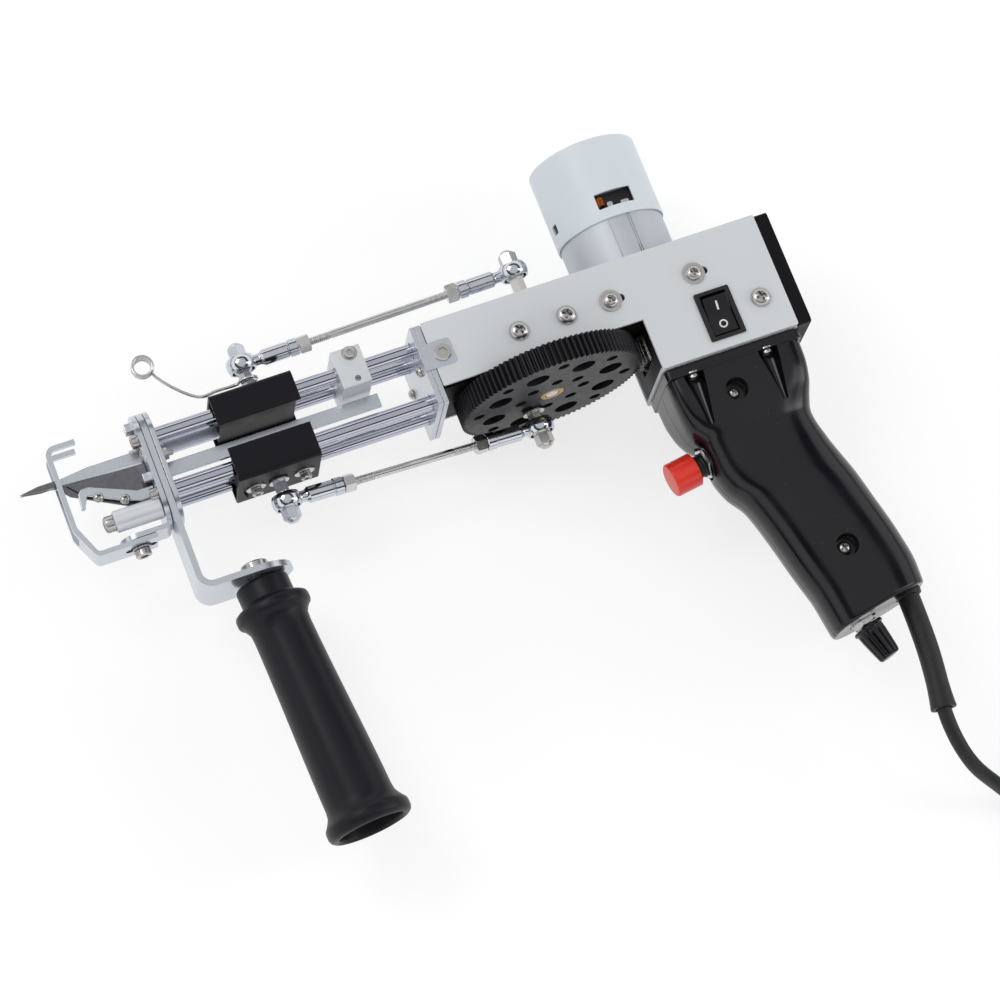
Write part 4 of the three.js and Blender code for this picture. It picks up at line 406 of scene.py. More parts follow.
def polished(piece, corner=38):
    """Shades a piece smooth between its sharp corners."""
    piece.data.shade_smooth()
    piece.data.set_sharp_from_angle(angle=math.radians(corner))
    weigh = piece.modifiers.new("weigh", "WEIGHTED_NORMAL")
    weigh.keep_sharp = True
    return settled(piece)


def softened(piece, width, segments=2, corner=32):
    """Rounds the edges of a piece by a width in millimetres."""
    bevel = piece.modifiers.new("edges", "BEVEL")
    bevel.width = width * MM
    bevel.segments = segments
    bevel.limit_method = "ANGLE"
    bevel.angle_limit = math.radians(corner)
    settled(piece)
    return polished(piece)


def copied(node, width=0.2, corner=32, segments=2):
    """A merged copy of a node's mesh with rounded edges."""
    work = bmesh.new()
    work.from_mesh(NODES[node].data)
    bmesh.ops.remove_doubles(work, verts=work.verts, dist=PACKED_MERGE)
    bmesh.ops.dissolve_limit(work, angle_limit=FLAT_ANGLE, verts=work.verts, edges=work.edges)
    mesh = bpy.data.meshes.new(node + "_finished")
    work.to_mesh(mesh)
    work.free()
    for name in ("custom_normal", "sharp_edge", "sharp_face"):
        if name in mesh.attributes:
            mesh.attributes.remove(mesh.attributes[name])
    piece = linked(node + "_finished", mesh)
    return softened(piece, width, segments, corner) if width else polished(piece)


def placed(piece, finish, *nodes, body="machine_body"):
    """Gives a piece its finish and its body, and hides the nodes that it stands for."""
    material, slot = finish_of(finish)
    piece.data.materials.clear()
    piece.data.materials.append(material)
    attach(piece, body)
    if nodes:
        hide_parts(*nodes)
    return piece


def finished(node, finish, width=0.2, corner=32, segments=2):
    """A node's own shape with rounded edges and a finish, on the node's own body."""
    return placed(copied(node, width, corner, segments), finish, node, body=NODES[node]["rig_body"])


# Materials, each with its own grain, clouds of tone and gloss


def linear(hex_colour):
    """sRGB hex to linear red, green, blue and alpha."""
    parts = [int(hex_colour[i:i + 2], 16) / 255 for i in (1, 3, 5)]
    return (*[c / 12.92 if c <= 0.04045 else ((c + 0.055) / 1.055) ** 2.4 for c in parts], 1)


def add(tree, kind, links=None, **settings):
    """Adds a node with its settings, its values and its links."""
    made = tree.nodes.new(kind)
    for key, value in settings.items():
        setattr(made, key, value)
    for key, value in (links or {}).items():
        if isinstance(value, bpy.types.NodeSocket):
            tree.links.new(value, made.inputs[key])
        else:
            made.inputs[key].default_value = value
    return made


def new_material(name):
    material = bpy.data.materials.new(name)
    material.use_nodes = True
    material.node_tree.nodes.clear()
    return material, material.node_tree


def ends_in(tree, shader):
    add(tree, "ShaderNodeOutputMaterial", {"Surface": shader.outputs["BSDF"]})


def surface(name, colour, roughness, grain, depth, metallic=0.0, tone=0.05, spread=0.06, stretch=(1, 1, 1),
            cloud=6.0, sockets=None):
    """A surface with a fine grain, slow clouds of tone and gloss, and a bump of the grain's depth.

    grain, depth and cloud are millimetres. tone and spread say how far the clouds move the colour and the
    roughness. stretch lengthens the grain along an axis, and sockets holds what else the shader is set to."""
    material, tree = new_material(name)
    place = add(tree, "ShaderNodeTexCoord")
    lie = add(tree, "ShaderNodeMapping", {
        "Vector": place.outputs["Object"], "Scale": [1 / s for s in stretch]})
    fine = add(tree, "ShaderNodeTexNoise", {
        "Vector": lie.outputs["Vector"], "Scale": 1 / (grain * MM), "Detail": 3.0, "Roughness": 0.6})
    slow = add(tree, "ShaderNodeTexNoise", {
        "Vector": place.outputs["Object"], "Scale": 1 / (cloud * MM), "Detail": 4.0, "Roughness": 0.55})
    base = linear(colour)
    darker = tuple(c * (1 - tone * 2) for c in base[:3]) + (1,)
    lighter = tuple(min(c * (1 + tone), 1) for c in base[:3]) + (1,)
    mix = add(tree, "ShaderNodeMix", {0: slow.outputs["Fac"], 6: darker, 7: lighter}, data_type="RGBA")
    blend = add(tree, "ShaderNodeMath", {0: fine.outputs["Fac"], 1: slow.outputs["Fac"]}, operation="ADD")
    gloss = add(tree, "ShaderNodeMapRange", {
        "Value": blend.outputs[0], "From Min": 0.6, "From Max": 1.4,
        "To Min": max(roughness - spread, 0.02), "To Max": roughness + spread})
    bump = add(tree, "ShaderNodeBump", {
        "Height": fine.outputs["Fac"], "Strength": 1.0, "Distance": depth * MM})
    shader = add(tree, "ShaderNodeBsdfPrincipled", {
        "Base Color": mix.outputs[2], "Metallic": metallic, "Roughness": gloss.outputs[0],
        "Normal": bump.outputs["Normal"], **(sockets or {})})
    ends_in(tree, shader)
    return material


def powder_coat():
    # Powder-coated aluminium sheet: an even pale satin with a trace of orange peel
    return surface("powder_coated_sheet", colours().plate, roughness=0.42, grain=1.1, depth=0.006,
                   tone=0.012, spread=0.05, cloud=40)


def black_sheet():
    # Black painted steel sheet: satin, a little uneven
    return surface("black_painted_sheet", "#0F0F14", roughness=0.48, grain=0.6, depth=0.008,
                   tone=0.1, spread=0.08, cloud=12, sockets={"Specular IOR Level": 0.15})


def anodising():
    # Black anodised aluminium extrusion: dull with a fine draw grain along its length
    return surface("black_anodised_aluminium", colours().anodised, roughness=0.44, grain=0.35, depth=0.004,
                   metallic=0.1, tone=0.12, spread=0.07, stretch=(9, 1, 1), cloud=9,
                   sockets={"Specular IOR Level": 0.2})


def zinc_plating():
    # Bright zinc plating on pressed steel: bluish, with soft clouds and faint rolling lines
    return surface("bright_zinc_plated_steel", colours().zinc, roughness=0.25, grain=0.5, depth=0.0015,
                   metallic=0.85, tone=0.035, spread=0.05, stretch=(5, 1, 1), cloud=9)


def polished_zinc():
    # Bright zinc on turned and rolled steel, such as the rod ends: nearly a mirror
    return surface("polished_zinc_on_steel", "#CDD1D8", roughness=0.13, grain=0.4, depth=0.002,
                   metallic=1.0, tone=0.05, spread=0.04, cloud=4)


def chrome_rail():
    # Hard chrome on ground shafts: mirror bright with only a breath of grinding lines round it
    return surface("hard_chromed_shaft", colours().chrome, roughness=0.07, grain=0.3, depth=0.0012,
                   metallic=1.0, tone=0.03, spread=0.03, stretch=(1, 6, 6), cloud=14)


def bright_steel():
    # Drawn bright steel of the tie rods: pale and shiny, with faint draw lines along it
    return surface("bright_drawn_steel", "#D2D1D1", roughness=0.2, grain=0.25, depth=0.003,
                   metallic=1.0, tone=0.08, spread=0.06, stretch=(8, 1, 8), cloud=4)


def flux_sheet():
    # Satin zinc of the motor's flux ring: an even pale blue-grey without hot spots
    return surface("satin_zinc_sheet", "#C6CCD2", roughness=0.5, grain=0.6, depth=0.003,
                   metallic=0.6, tone=0.02, spread=0.05, cloud=12)


def stainless():
    # Turned stainless steel: warm grey, with a fine grain from the lathe
    return surface("turned_stainless_steel", colours().stainless, roughness=0.26, grain=0.25, depth=0.004,
                   metallic=1.0, tone=0.08, spread=0.08, cloud=2.5)


def ground_steel():
    # Ground tool steel of the blades and needle: dark, streaked along its length
    return surface("ground_tool_steel", "#77777B", roughness=0.3, grain=0.22, depth=0.006,
                   metallic=1.0, tone=0.14, spread=0.1, stretch=(14, 1, 1), cloud=3)


def milled_aluminium():
    # Milled aluminium: pale and matt, with close cutter marks
    return surface("milled_aluminium", "#E2E5E9", roughness=0.42, grain=0.3, depth=0.006,
                   metallic=0.6, tone=0.05, spread=0.08, stretch=(1, 6, 1), cloud=8)


def brass():
    # Turned brass bush: yellow with darker tarnish in clouds
    return surface("turned_brass", colours().brass, roughness=0.3, grain=0.3, depth=0.004,
                   metallic=1.0, tone=0.12, spread=0.1, cloud=2)


def copper():
    # Enamelled copper wire: orange brown with a varnish gloss
    return surface("enamelled_copper_wire", "#B8622C", roughness=0.28, grain=0.4, depth=0.01,
                   metallic=1.0, tone=0.2, spread=0.1, cloud=1.5)


def gear_nylon():
    # Glass-filled nylon: near black and dull, with a slightly uneven skin
    return surface("glass_filled_nylon", colours().nylon, roughness=0.42, grain=0.28, depth=0.012,
                   tone=0.14, spread=0.12, cloud=3, sockets={"IOR": 1.53, "Specular IOR Level": 0.3})


def cap_plastic():
    # Moulded polypropylene cap: milky, soft gloss, a little light passes into it
    return surface("moulded_polypropylene", colours().cap, roughness=0.38, grain=0.8, depth=0.004,
                   tone=0.012, spread=0.05, cloud=30,
                   sockets={"Subsurface Weight": 0.12, "Subsurface Scale": 4 * MM, "IOR": 1.49})


def dusted(tree, place, spacing, rim, cover, colour, dust):
    """A colour with specks of dust on it.

    spacing is in millimetres, rim says where a speck starts and ends its fade, cover how much it hides."""
    speck = add(tree, "ShaderNodeTexVoronoi", {
        "Vector": place.outputs["Object"], "Scale": 1 / (spacing * MM)})
    fade = add(tree, "ShaderNodeMapRange", {
        "Value": speck.outputs["Distance"], "From Min": rim[0], "From Max": rim[1],
        "To Min": cover, "To Max": 0.0})
    tint = add(tree, "ShaderNodeMix", {
        0: fade.outputs[0], 6: linear(colour), 7: linear(dust)}, data_type="RGBA")
    return tint.outputs[2]


def gloss_plastic():
    # Polished ABS: wet black gloss over slow moulding ripples, with specks of dust on it
    material, tree = new_material("polished_black_abs")
    place = add(tree, "ShaderNodeTexCoord")
    ripple = add(tree, "ShaderNodeTexNoise", {
        "Vector": place.outputs["Object"], "Scale": 1 / (18 * MM), "Detail": 1.0})
    gloss = add(tree, "ShaderNodeMapRange", {
        "Value": ripple.outputs["Fac"], "From Min": 0.3, "From Max": 0.7, "To Min": 0.14, "To Max": 0.26})
    bump = add(tree, "ShaderNodeBump", {
        "Height": ripple.outputs["Fac"], "Strength": 1.0, "Distance": 0.06 * MM})
    shader = add(tree, "ShaderNodeBsdfPrincipled", {
        "Base Color": dusted(tree, place, 3.2, (0.028, 0.05), 1.0, colours().black, "#5B5B60"),
        "Roughness": gloss.outputs[0], "Normal": bump.outputs["Normal"], "IOR": 1.54,
        "Specular IOR Level": 0.32, "Coat Weight": 0.05, "Coat Roughness": 0.08})
    ends_in(tree, shader)
    return material


def satin_plastic():
    # Satin moulded handle: black with a fine spark-eroded texture
    return surface("satin_moulded_handle", colours().handle, roughness=0.4, grain=0.45, depth=0.014,
                   tone=0.06, spread=0.06, cloud=20, sockets={"IOR": 1.5, "Specular IOR Level": 0.28})


def switch_plastic():
    # Switch housing and boot: black nylon with a finer, duller skin
    return surface("moulded_black_nylon", "#131316", roughness=0.48, grain=0.3, depth=0.01,
                   tone=0.08, spread=0.06, cloud=6)


def button_plastic():
    # Red moulded ABS cap: saturated, soft gloss
    return surface("red_moulded_abs", colours().button, roughness=0.3, grain=0.6, depth=0.004,
                   tone=0.03, spread=0.05, cloud=8, sockets={"IOR": 1.54})


def cable_rubber():
    # Flexible PVC cable: dull black with pale dust caught on it
    material, tree = new_material("flexible_pvc_cable")
    place = add(tree, "ShaderNodeTexCoord")
    grain = add(tree, "ShaderNodeTexNoise", {
        "Vector": place.outputs["Object"], "Scale": 1 / (0.5 * MM), "Detail": 3.0})
    bump = add(tree, "ShaderNodeBump", {
        "Height": grain.outputs["Fac"], "Strength": 1.0, "Distance": 0.02 * MM})
    gloss = add(tree, "ShaderNodeMapRange", {"Value": grain.outputs["Fac"], "To Min": 0.42, "To Max": 0.62})
    shader = add(tree, "ShaderNodeBsdfPrincipled", {
        "Base Color": dusted(tree, place, 1.8, (0.04, 0.09), 0.7, colours().cable, "#6A6A6C"),
        "Roughness": gloss.outputs[0], "Normal": bump.outputs["Normal"]})
    ends_in(tree, shader)
    return material


def white_print():
    # Pad-printed marks on the rocker: flat white ink
    return surface("white_pad_print", "#E8E8E6", roughness=0.55, grain=0.3, depth=0.002,
                   tone=0.03, spread=0.04)


# Each finish: the function that makes it, and the name of the imported model's material slot that goes with
# it
FINISHES = {
    "paint": (powder_coat, "painted_plate"),
    "black sheet": (black_sheet, "dark_sheet"),
    "anodised": (anodising, "anodised_black"),
    "zinc": (zinc_plating, "zinc_plated"),
    "bright zinc": (polished_zinc, "zinc_plated"),
    "chrome": (chrome_rail, "bright_steel"),
    "stainless": (stainless, "stainless"),
    "bright": (bright_steel, "stainless"),
    "flux": (flux_sheet, "zinc_plated"),
    "blade": (ground_steel, "blade_steel"),
    "aluminium": (milled_aluminium, "bare_aluminium"),
    "brass": (brass, "brass"),
    "copper": (copper, "brass"),
    "nylon": (gear_nylon, "black_nylon"),
    "cap": (cap_plastic, "white_plastic"),
    "gloss": (gloss_plastic, "gloss_black"),
    "satin": (satin_plastic, "handle_black"),
    "switch": (switch_plastic, "black_nylon"),
    "red": (button_plastic, "red_plastic"),
    "cable": (cable_rubber, "black_rubber"),
    "print": (white_print, "white_plastic"),
}
MADE = {}


def finish_of(name):
    recipe, slot = FINISHES[name]
    if name not in MADE:
        MADE[name] = recipe()
    return MADE[name], slot


# What repeats: screw heads on points, and threads


def new_tree(name, inputs):
    """A geometry tree with named inputs, each with its kind of socket and a default where it has one."""
    tree = bpy.data.node_groups.new(name, "GeometryNodeTree")
    for label, kind, value in inputs:
        made = tree.interface.new_socket(label, in_out="INPUT", socket_type="NodeSocket" + kind)
        if value is not None:
            made.default_value = value
    tree.interface.new_socket("Result", in_out="OUTPUT", socket_type="NodeSocketGeometry")
    return tree, add(tree, "NodeGroupInput")


def ends_as_mesh(tree, given, geometry):
    """Ends a geometry tree: its instances become real, and take the finish."""
    real = add(tree, "GeometryNodeRealizeInstances", {"Geometry": geometry})
    paint = add(tree, "GeometryNodeSetMaterial", {
        "Geometry": real.outputs["Geometry"], "Material": given.outputs["Finish"]})
    add(tree, "NodeGroupOutput", {"Result": paint.outputs["Geometry"]})
    return tree


def heads_tree():
    """Puts one head on every point, turned as the point's attribute says."""
    tree, given = new_tree("heads_on_points", (
        ("Points", "Geometry", None), ("Head", "Object", None), ("Size", "Float", 1.0),
        ("Finish", "Material", None)))
    head = add(tree, "GeometryNodeObjectInfo", {"Object": given.outputs["Head"]})
    turn = add(tree, "GeometryNodeInputNamedAttribute", {"Name": "turn"}, data_type="QUATERNION")
    spread = add(tree, "GeometryNodeInstanceOnPoints", {
        "Points": given.outputs["Points"], "Instance": head.outputs["Geometry"],
        "Rotation": next(s for s in turn.outputs if s.enabled), "Scale": given.outputs["Size"]})
    return ends_as_mesh(tree, given, spread.outputs["Instances"])


def thread_tree():
    """A screw thread's ridge wound round the Z axis."""
    tree, given = new_tree("thread_ridge", (
        ("Core", "Geometry", None), ("Length", "Float", 20 * MM), ("Radius", "Float", 2.4 * MM),
        ("Pitch", "Float", 0.8 * MM), ("Ridge", "Float", 0.2 * MM), ("Finish", "Material", None)))
    turns = add(tree, "ShaderNodeMath", {
        0: given.outputs["Length"], 1: given.outputs["Pitch"]}, operation="DIVIDE")
    wind = add(tree, "GeometryNodeCurveSpiral", {
        "Resolution": 20, "Rotations": turns.outputs[0], "Start Radius": given.outputs["Radius"],
        "End Radius": given.outputs["Radius"], "Height": given.outputs["Length"]})
    ridge = add(tree, "GeometryNodeCurvePrimitiveCircle", {"Resolution": 4, "Radius": given.outputs["Ridge"]})
    skin = add(tree, "GeometryNodeCurveToMesh", {
        "Curve": wind.outputs["Curve"], "Profile Curve": ridge.outputs["Curve"], "Fill Caps": True})
    return ends_as_mesh(tree, given, skin.outputs["Mesh"])


TREES = {}


def grown(piece, maker, **values):
    """Runs a node tree on a piece and keeps the result as a plain mesh."""
    if maker not in TREES:
        TREES[maker] = maker()
    tree = TREES[maker]
    step = piece.modifiers.new("grow", "NODES")
    step.node_group = tree
    for item in tree.interface.items_tree:
        if item.in_out == "INPUT" and item.name in values:
            step[item.identifier] = values[item.name]
    return settled(piece)


def upright(direction, twist=0.0):
    """The turn that takes +Z to a direction, after a twist about itself in degrees."""
    twisted = Matrix.Rotation(math.radians(twist), 3, "Z").to_quaternion()
    return Z.rotation_difference(direction.normalized()) @ twisted


def standing(foot, axis, twist=0.0):
    """The matrix that stands a thing made on +Z at a foot, along an axis."""
    return Matrix.Translation(foot) @ upright(axis, twist).to_matrix().to_4x4()


HEAD_STEPS = 40
# Rounded edges of a screw head and of a washer, in millimetres
HEAD_EDGE = 0.07
RING_EDGE = 0.06


def cross_cutter(reach, width, top, deep):
    """A cross-shaped cutter that narrows downwards, for a screwdriver's recess."""
    narrowed = 0.45
    blades = []
    for along, across in ((X, Y), (Y, X)):
        rim = [along * u * reach + across * v * width for u, v in ((-1, -1), (1, -1), (1, 1), (-1, 1))]
        high = [(p + Z * top) * MM for p in rim]
        low = [(p * narrowed + Z * deep) * MM for p in rim]
        faces = [[0, 1, 2, 3], [7, 6, 5, 4]] + [[i, (i + 1) % 4, (i + 1) % 4 + 4, i + 4] for i in range(4)]
        blades.append(solid("cutter", high + low, faces))
    return fused(blades[0], blades[1])


def pan_head(diameter, height, washer):
    """A domed screw head with a cross recess on an optional washer, standing on the plane z = 0."""
    radius = diameter / MM / 2
    stem = radius * 0.6
    rim = 0.25
    profile = [(-0.6, 0), (-0.6, stem), (-0.05, stem), (0.0, radius * 0.93), (rim, radius)]
    profile += [(rim + (height - rim) * math.sin(a), radius * math.cos(a) ** 0.8)
                for a in (0.3, 0.6, 0.85, 1.05, 1.25, 1.42)]
    head = turned("pan_head", Vector(), Z, [*profile, (height, 0)], HEAD_STEPS)
    carved(head, cross_cutter(radius * 0.62, radius * 0.15, height + 0.5, height * 0.15))
    softened(head, HEAD_EDGE, 1, 50)
    if washer:
        ring = softened(flat_ring(radius * 0.6, washer), RING_EDGE, 1, 50)
        head = grouped("pan_head", moved(head, Matrix.Translation(Z * 0.65 * MM)), ring)
    return head


def cap_head(diameter, height, washer):
    """A socket cap head on an optional washer, standing on the plane z = 0."""
    radius = diameter / MM / 2
    stem = radius * 0.55
    lift = 0.7 if washer else 0.0
    top = lift + height
    head = turned("cap_head", Vector(), Z, [
        (lift - 0.5, 0), (lift - 0.5, stem), (lift, stem), (lift, radius - 0.15), (lift + 0.2, radius),
        (top - 0.35, radius), (top, radius - 0.35), (top, 0)], HEAD_STEPS)
    socket_floor = Z * (top - height * 0.55) * MM
    carved(head, hexagon_cutter(Z * (top + 1) * MM, socket_floor, -Z, radius * 0.58, radius * 0.55))
    if washer:
        head = grouped("cap_head", head, flat_ring(radius * 0.5, washer))
    return softened(head, RING_EDGE, 1, 50)


def flat_ring(inner, outer):
    """A plain washer on the plane z = 0."""
    return turned("washer", Vector(), Z, [
        (0, inner), (0, outer), (0.5, outer), (0.6, outer - 0.1), (0.6, inner)], HEAD_STEPS, True)


def hex_nut(name, foot, axis, flats, height, twist=0.0):
    """A hexagon nut or bar with chamfered corners."""
    axis = axis.normalized()
    corner = flats / math.sqrt(3)
    turn = Matrix.Rotation(math.radians(twist), 3, axis)
    side = turn @ axis.orthogonal().normalized()
    other = axis.cross(side)
    outline = [foot + (side * math.cos(a) + other * math.sin(a)) * corner * MM
               for a in [math.radians(60 * i) for i in range(6)]]
    bar = pushed(name, outline, axis * height * MM)
    chamfer = min(0.45, height * 0.2)
    dome = turned("cutter", foot, axis, [
        (-0.01, 0), (-0.01, flats / 2 + 0.02), (chamfer, corner + 0.05), (height - chamfer, corner + 0.05),
        (height + 0.01, flats / 2 + 0.02), (height + 0.01, 0)], 48)
    return combined(bar, [dome], "INTERSECT")


def threaded(name, foot, axis, length, radius, finish, body):
    """A thread's ridges along a bar."""
    piece = linked(name, bpy.data.meshes.new(name))
    grown(piece, thread_tree, Length=length * MM, Radius=radius * MM, Pitch=sizes().thread_pitch,
          Ridge=sizes().thread_depth, Finish=finish_of(finish)[0])
    moved(piece, standing(foot, axis))
    piece.data.shade_smooth()
    return placed(piece, finish, body=body)


# Each kind of head: what makes it, its height, and how far its washer reaches past it, or None
HEADS = {
    "pan": (pan_head, 2.6, None),
    "low pan": (pan_head, 1.8, None),
    "washered pan": (pan_head, 2.0, 1.4),
    "cap": (cap_head, 2.6, None),
    "tall cap": (cap_head, 3.1, None),
    "washered": (cap_head, 2.6, 1.9),
    "rimmed": (cap_head, 1.7, 0.95),
    "button": (cap_head, 1.9, None),
}


def screws(name, kind, diameter, places, body="machine_body", finish="stainless"):
    """Screws of one kind and size as one piece, each place given as (point, outward direction, twist)."""
    maker, height, reach = HEADS[kind]
    head = maker(diameter, height, reach and diameter / MM / 2 + reach)
    points = bpy.data.meshes.new(name)
    points.from_pydata([tuple(point) for point, _, _ in places], [], [])
    turn = points.attributes.new("turn", "QUATERNION", "POINT")
    turn.data.foreach_set("value", [c for _, way, twist in places for c in upright(way, twist)])
    piece = linked(name, points)
    grown(piece, heads_tree, Head=head, Finish=finish_of(finish)[0], Size=1.0)
    bpy.data.objects.remove(head)
    return placed(piece, finish, body=body)


def span(node):
    """A node's lowest and highest corner in the machine's own axes, in millimetres."""
    low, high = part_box(node)
    return (low - ORIGIN) / MM, (high - ORIGIN) / MM


def middle(node):
    """The middle of a node's box in the machine's own axes, in millimetres."""
    low, high = span(node)
    return [(a + b) / 2 for a, b in zip(low, high)]


def long_hole(u0, u1, v, radius, steps=20):
    return arc(u1, v, radius, -90, 90, steps) + arc(u0, v, radius, 90, 270, steps)


def heading(degrees):
    """A direction square to the motor's axle, that many degrees round from the near side towards the tail."""
    turn = math.radians(degrees)
    return (Z * math.cos(turn) + X * math.sin(turn)).normalized()


# The stage, the camera and the cord

# The point that the camera looks at, in the machine's own axes
TARGET = (-80.8, -51.1, 21.65)
SENSOR_WIDTH = 36.0
NEAREST_SEEN = 0.01
# The world's level at each height, from the horizon at 0 to overhead at 1. The dark ring in the bright sky
# draws the dark streaks on the rails
LIGHT_BAND = (
    (0.0, 0.3), (0.12, 0.36), (0.2, 0.95), (0.56, 1.0), (0.62, 0.04), (0.79, 0.04), (0.84, 0.6), (0.99, 0.62))
FLOOR_REACH = 3
FLOOR_GLOW = 1.16
PAPER_FIBRE = 2
# Where the two soft boxes stand in metres, and how wide and tall they are
KEY_PLACE = (-0.9, 0.9, 1.7)
KEY_SIZE = (1.1, 0.7)
SIDE_PLACE = (1.3, -0.3, 0.9)
SIDE_SIZE = (0.35, 1.4)


def build_camera():
    """A camera that looks at the target from the studio's angles and distance."""
    studio = bpy.context.scene.tufting_studio
    a, e, r = studio.azimuth, studio.elevation, studio.roll
    back = Vector((math.sin(a) * math.cos(e), -math.cos(a) * math.cos(e), math.sin(e)))
    level = Vector((math.cos(a), math.sin(a), 0))
    above = back.cross(level)
    right = level * math.cos(r) + above * math.sin(r)
    up = above * math.cos(r) - level * math.sin(r)
    data = bpy.data.cameras.new("camera")
    data.lens = studio.lens
    data.sensor_width = SENSOR_WIDTH
    data.clip_start = NEAREST_SEEN
    camera = linked("camera", data)
    turn = Matrix((right, up, back)).transposed().to_4x4()
    camera.matrix_world = Matrix.Translation(at(*TARGET) + back * studio.distance) @ turn
    bpy.context.scene.camera = camera


def build_floor():
    corners = ((-1, -1), (1, -1), (1, 1), (-1, 1))
    floor = solid("floor", [(u * FLOOR_REACH, v * FLOOR_REACH, 0) for u, v in corners], [[0, 1, 2, 3]])
    # White paper sweep: flat and matt, and mostly its own white where the camera looks straight at it
    material, tree = new_material("white_paper_floor")
    place = add(tree, "ShaderNodeTexCoord")
    fibre = add(tree, "ShaderNodeTexNoise", {
        "Vector": place.outputs["Object"], "Scale": 1 / (PAPER_FIBRE * MM), "Detail": 2.0})
    gloss = add(tree, "ShaderNodeMapRange", {"Value": fibre.outputs["Fac"], "To Min": 0.85, "To Max": 1.0})
    paper = add(tree, "ShaderNodeBsdfPrincipled", {
        "Base Color": linear("#FDFDFD"), "Roughness": gloss.outputs[0], "Specular IOR Level": 0.0})
    white = add(tree, "ShaderNodeEmission", {"Color": (1, 1, 1, 1), "Strength": FLOOR_GLOW})
    path = add(tree, "ShaderNodeLightPath")
    seen = add(tree, "ShaderNodeMath", {
        0: path.outputs["Is Camera Ray"], 1: path.outputs["Is Glossy Ray"]}, operation="MAXIMUM")
    share = add(tree, "ShaderNodeMath", {
        0: seen.outputs[0], 1: bpy.context.scene.tufting_studio.paper_white}, operation="MULTIPLY")
    mixed = add(tree, "ShaderNodeMixShader", {
        0: share.outputs[0], 1: paper.outputs["BSDF"], 2: white.outputs[0]})
    add(tree, "ShaderNodeOutputMaterial", {"Surface": mixed.outputs[0]})
    floor.data.materials.append(material)


def build_light():
    """A banded sky that is white to the camera, and two soft boxes."""
    studio = bpy.context.scene.tufting_studio
    world = bpy.data.worlds.new("studio_light")
    world.use_nodes = True
    tree = world.node_tree
    tree.nodes.clear()
    place = add(tree, "ShaderNodeTexCoord")
    split = add(tree, "ShaderNodeSeparateXYZ", {0: place.outputs["Generated"]})
    band = add(tree, "ShaderNodeValToRGB", {0: split.outputs["Z"]})
    ramp = band.color_ramp
    for height, grey in LIGHT_BAND:
        stop = ramp.elements.new(height)
        stop.color = (grey, grey, grey, 1)
    ramp.elements.remove(ramp.elements[0])
    ramp.elements.remove(ramp.elements[-1])
    level = add(tree, "ShaderNodeMath", {0: band.outputs[0], 1: studio.sky}, operation="MULTIPLY")
    light = add(tree, "ShaderNodeBackground", {"Color": (1, 1, 1, 1), "Strength": level.outputs[0]})
    white = add(tree, "ShaderNodeBackground", {"Color": (1, 1, 1, 1), "Strength": 1.0})
    path = add(tree, "ShaderNodeLightPath")
    mixed = add(tree, "ShaderNodeMixShader", {
        0: path.outputs["Is Camera Ray"], 1: light.outputs[0], 2: white.outputs[0]})
    add(tree, "ShaderNodeOutputWorld", {"Surface": mixed.outputs[0]})
    bpy.context.scene.world = world
    for name, stand, size, power in (
        ("key", KEY_PLACE, KEY_SIZE, studio.key_power),
        ("side", SIDE_PLACE, SIDE_SIZE, studio.side_power),
    ):
        data = bpy.data.lights.new(name, "AREA")
        data.shape = "RECTANGLE"
        data.size, data.size_y = size
        data.energy = power
        lamp = linked(name, data)
        lamp.location = stand
        lamp.rotation_euler = (-Vector(stand)).to_track_quat("-Z", "Y").to_euler()
    bpy.context.scene.view_settings.view_transform = "Standard"


# The cord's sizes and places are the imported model's own
SLEEVE_X = 63.4
SLEEVE_ROOT = 4.5
SLEEVE_END_RADIUS = 5.3
SLEEVE_LENGTH = 48
SLEEVE_LEAN = -4.5
SLEEVE_SOCKET = 8
SLEEVE_FLARE = 0.84
GLAND_DEPTH = 8
CORD_RADIUS = 3
CORD_BEND = 31
CORD_STEP = 6
CORD_DROP = 18
CORD_ARRIVAL = 24
COIL_CENTRE = (143, -240)
COIL_TURNS = 3.75
COIL_MIDDLE = 36
COIL_PITCH = 6.6
COIL_LAYER = 6.6
COIL_START = 195
COIL_STEPS = 24
COIL_CLIMB_SHARE = 0.25
FIT = 0.3
GRIP_FRONT_END = 28.8
GRIP_BACK_END = 70.4
GRIP_DROP = 112.9
GRIP_HEEL = 7.6


def table_height():
    return -ORIGIN.z / MM


def heel_at(x):
    """Height of the grip's slanted lower end at a place along the machine."""
    share = (GRIP_BACK_END - x) / (GRIP_BACK_END - GRIP_FRONT_END)
    return -BOX_DROP - GRIP_DROP - GRIP_HEEL * share


def sleeve_path():
    root = heel_at(SLEEVE_X)
    return smooth_path([
        at(SLEEVE_X, root + GLAND_DEPTH - FIT, 0),
        at(SLEEVE_X, root, 0),
        at(SLEEVE_X + SLEEVE_LEAN / 4, root - SLEEVE_LENGTH / 2, 0),
        at(SLEEVE_X + SLEEVE_LEAN, root - SLEEVE_LENGTH, 0),
    ], 16)


def rounded_route(corners, bend, spacing):
    """Points along straight legs whose corners are rounded to one bend radius."""
    points = [corners[0].copy()]

    def go_to(place):
        start = points[-1].copy()
        count = max(1, round((place - start).length / spacing))
        points.extend(start.lerp(place, i / count) for i in range(1, count + 1))

    for before, corner, after in zip(corners, corners[1:], corners[2:]):
        into = (corner - before).normalized()
        out = (after - corner).normalized()
        turn = into.angle(out)
        start = corner - into * bend * math.tan(turn / 2)
        side = (out - into * math.cos(turn)).normalized()
        go_to(start)
        count = max(1, round(bend * turn / spacing))
        for k in range(1, count + 1):
            angle = turn * k / count
            points.append(start + into * bend * math.sin(angle) + side * bend * (1 - math.cos(angle)))
    go_to(corners[-1])
    return points


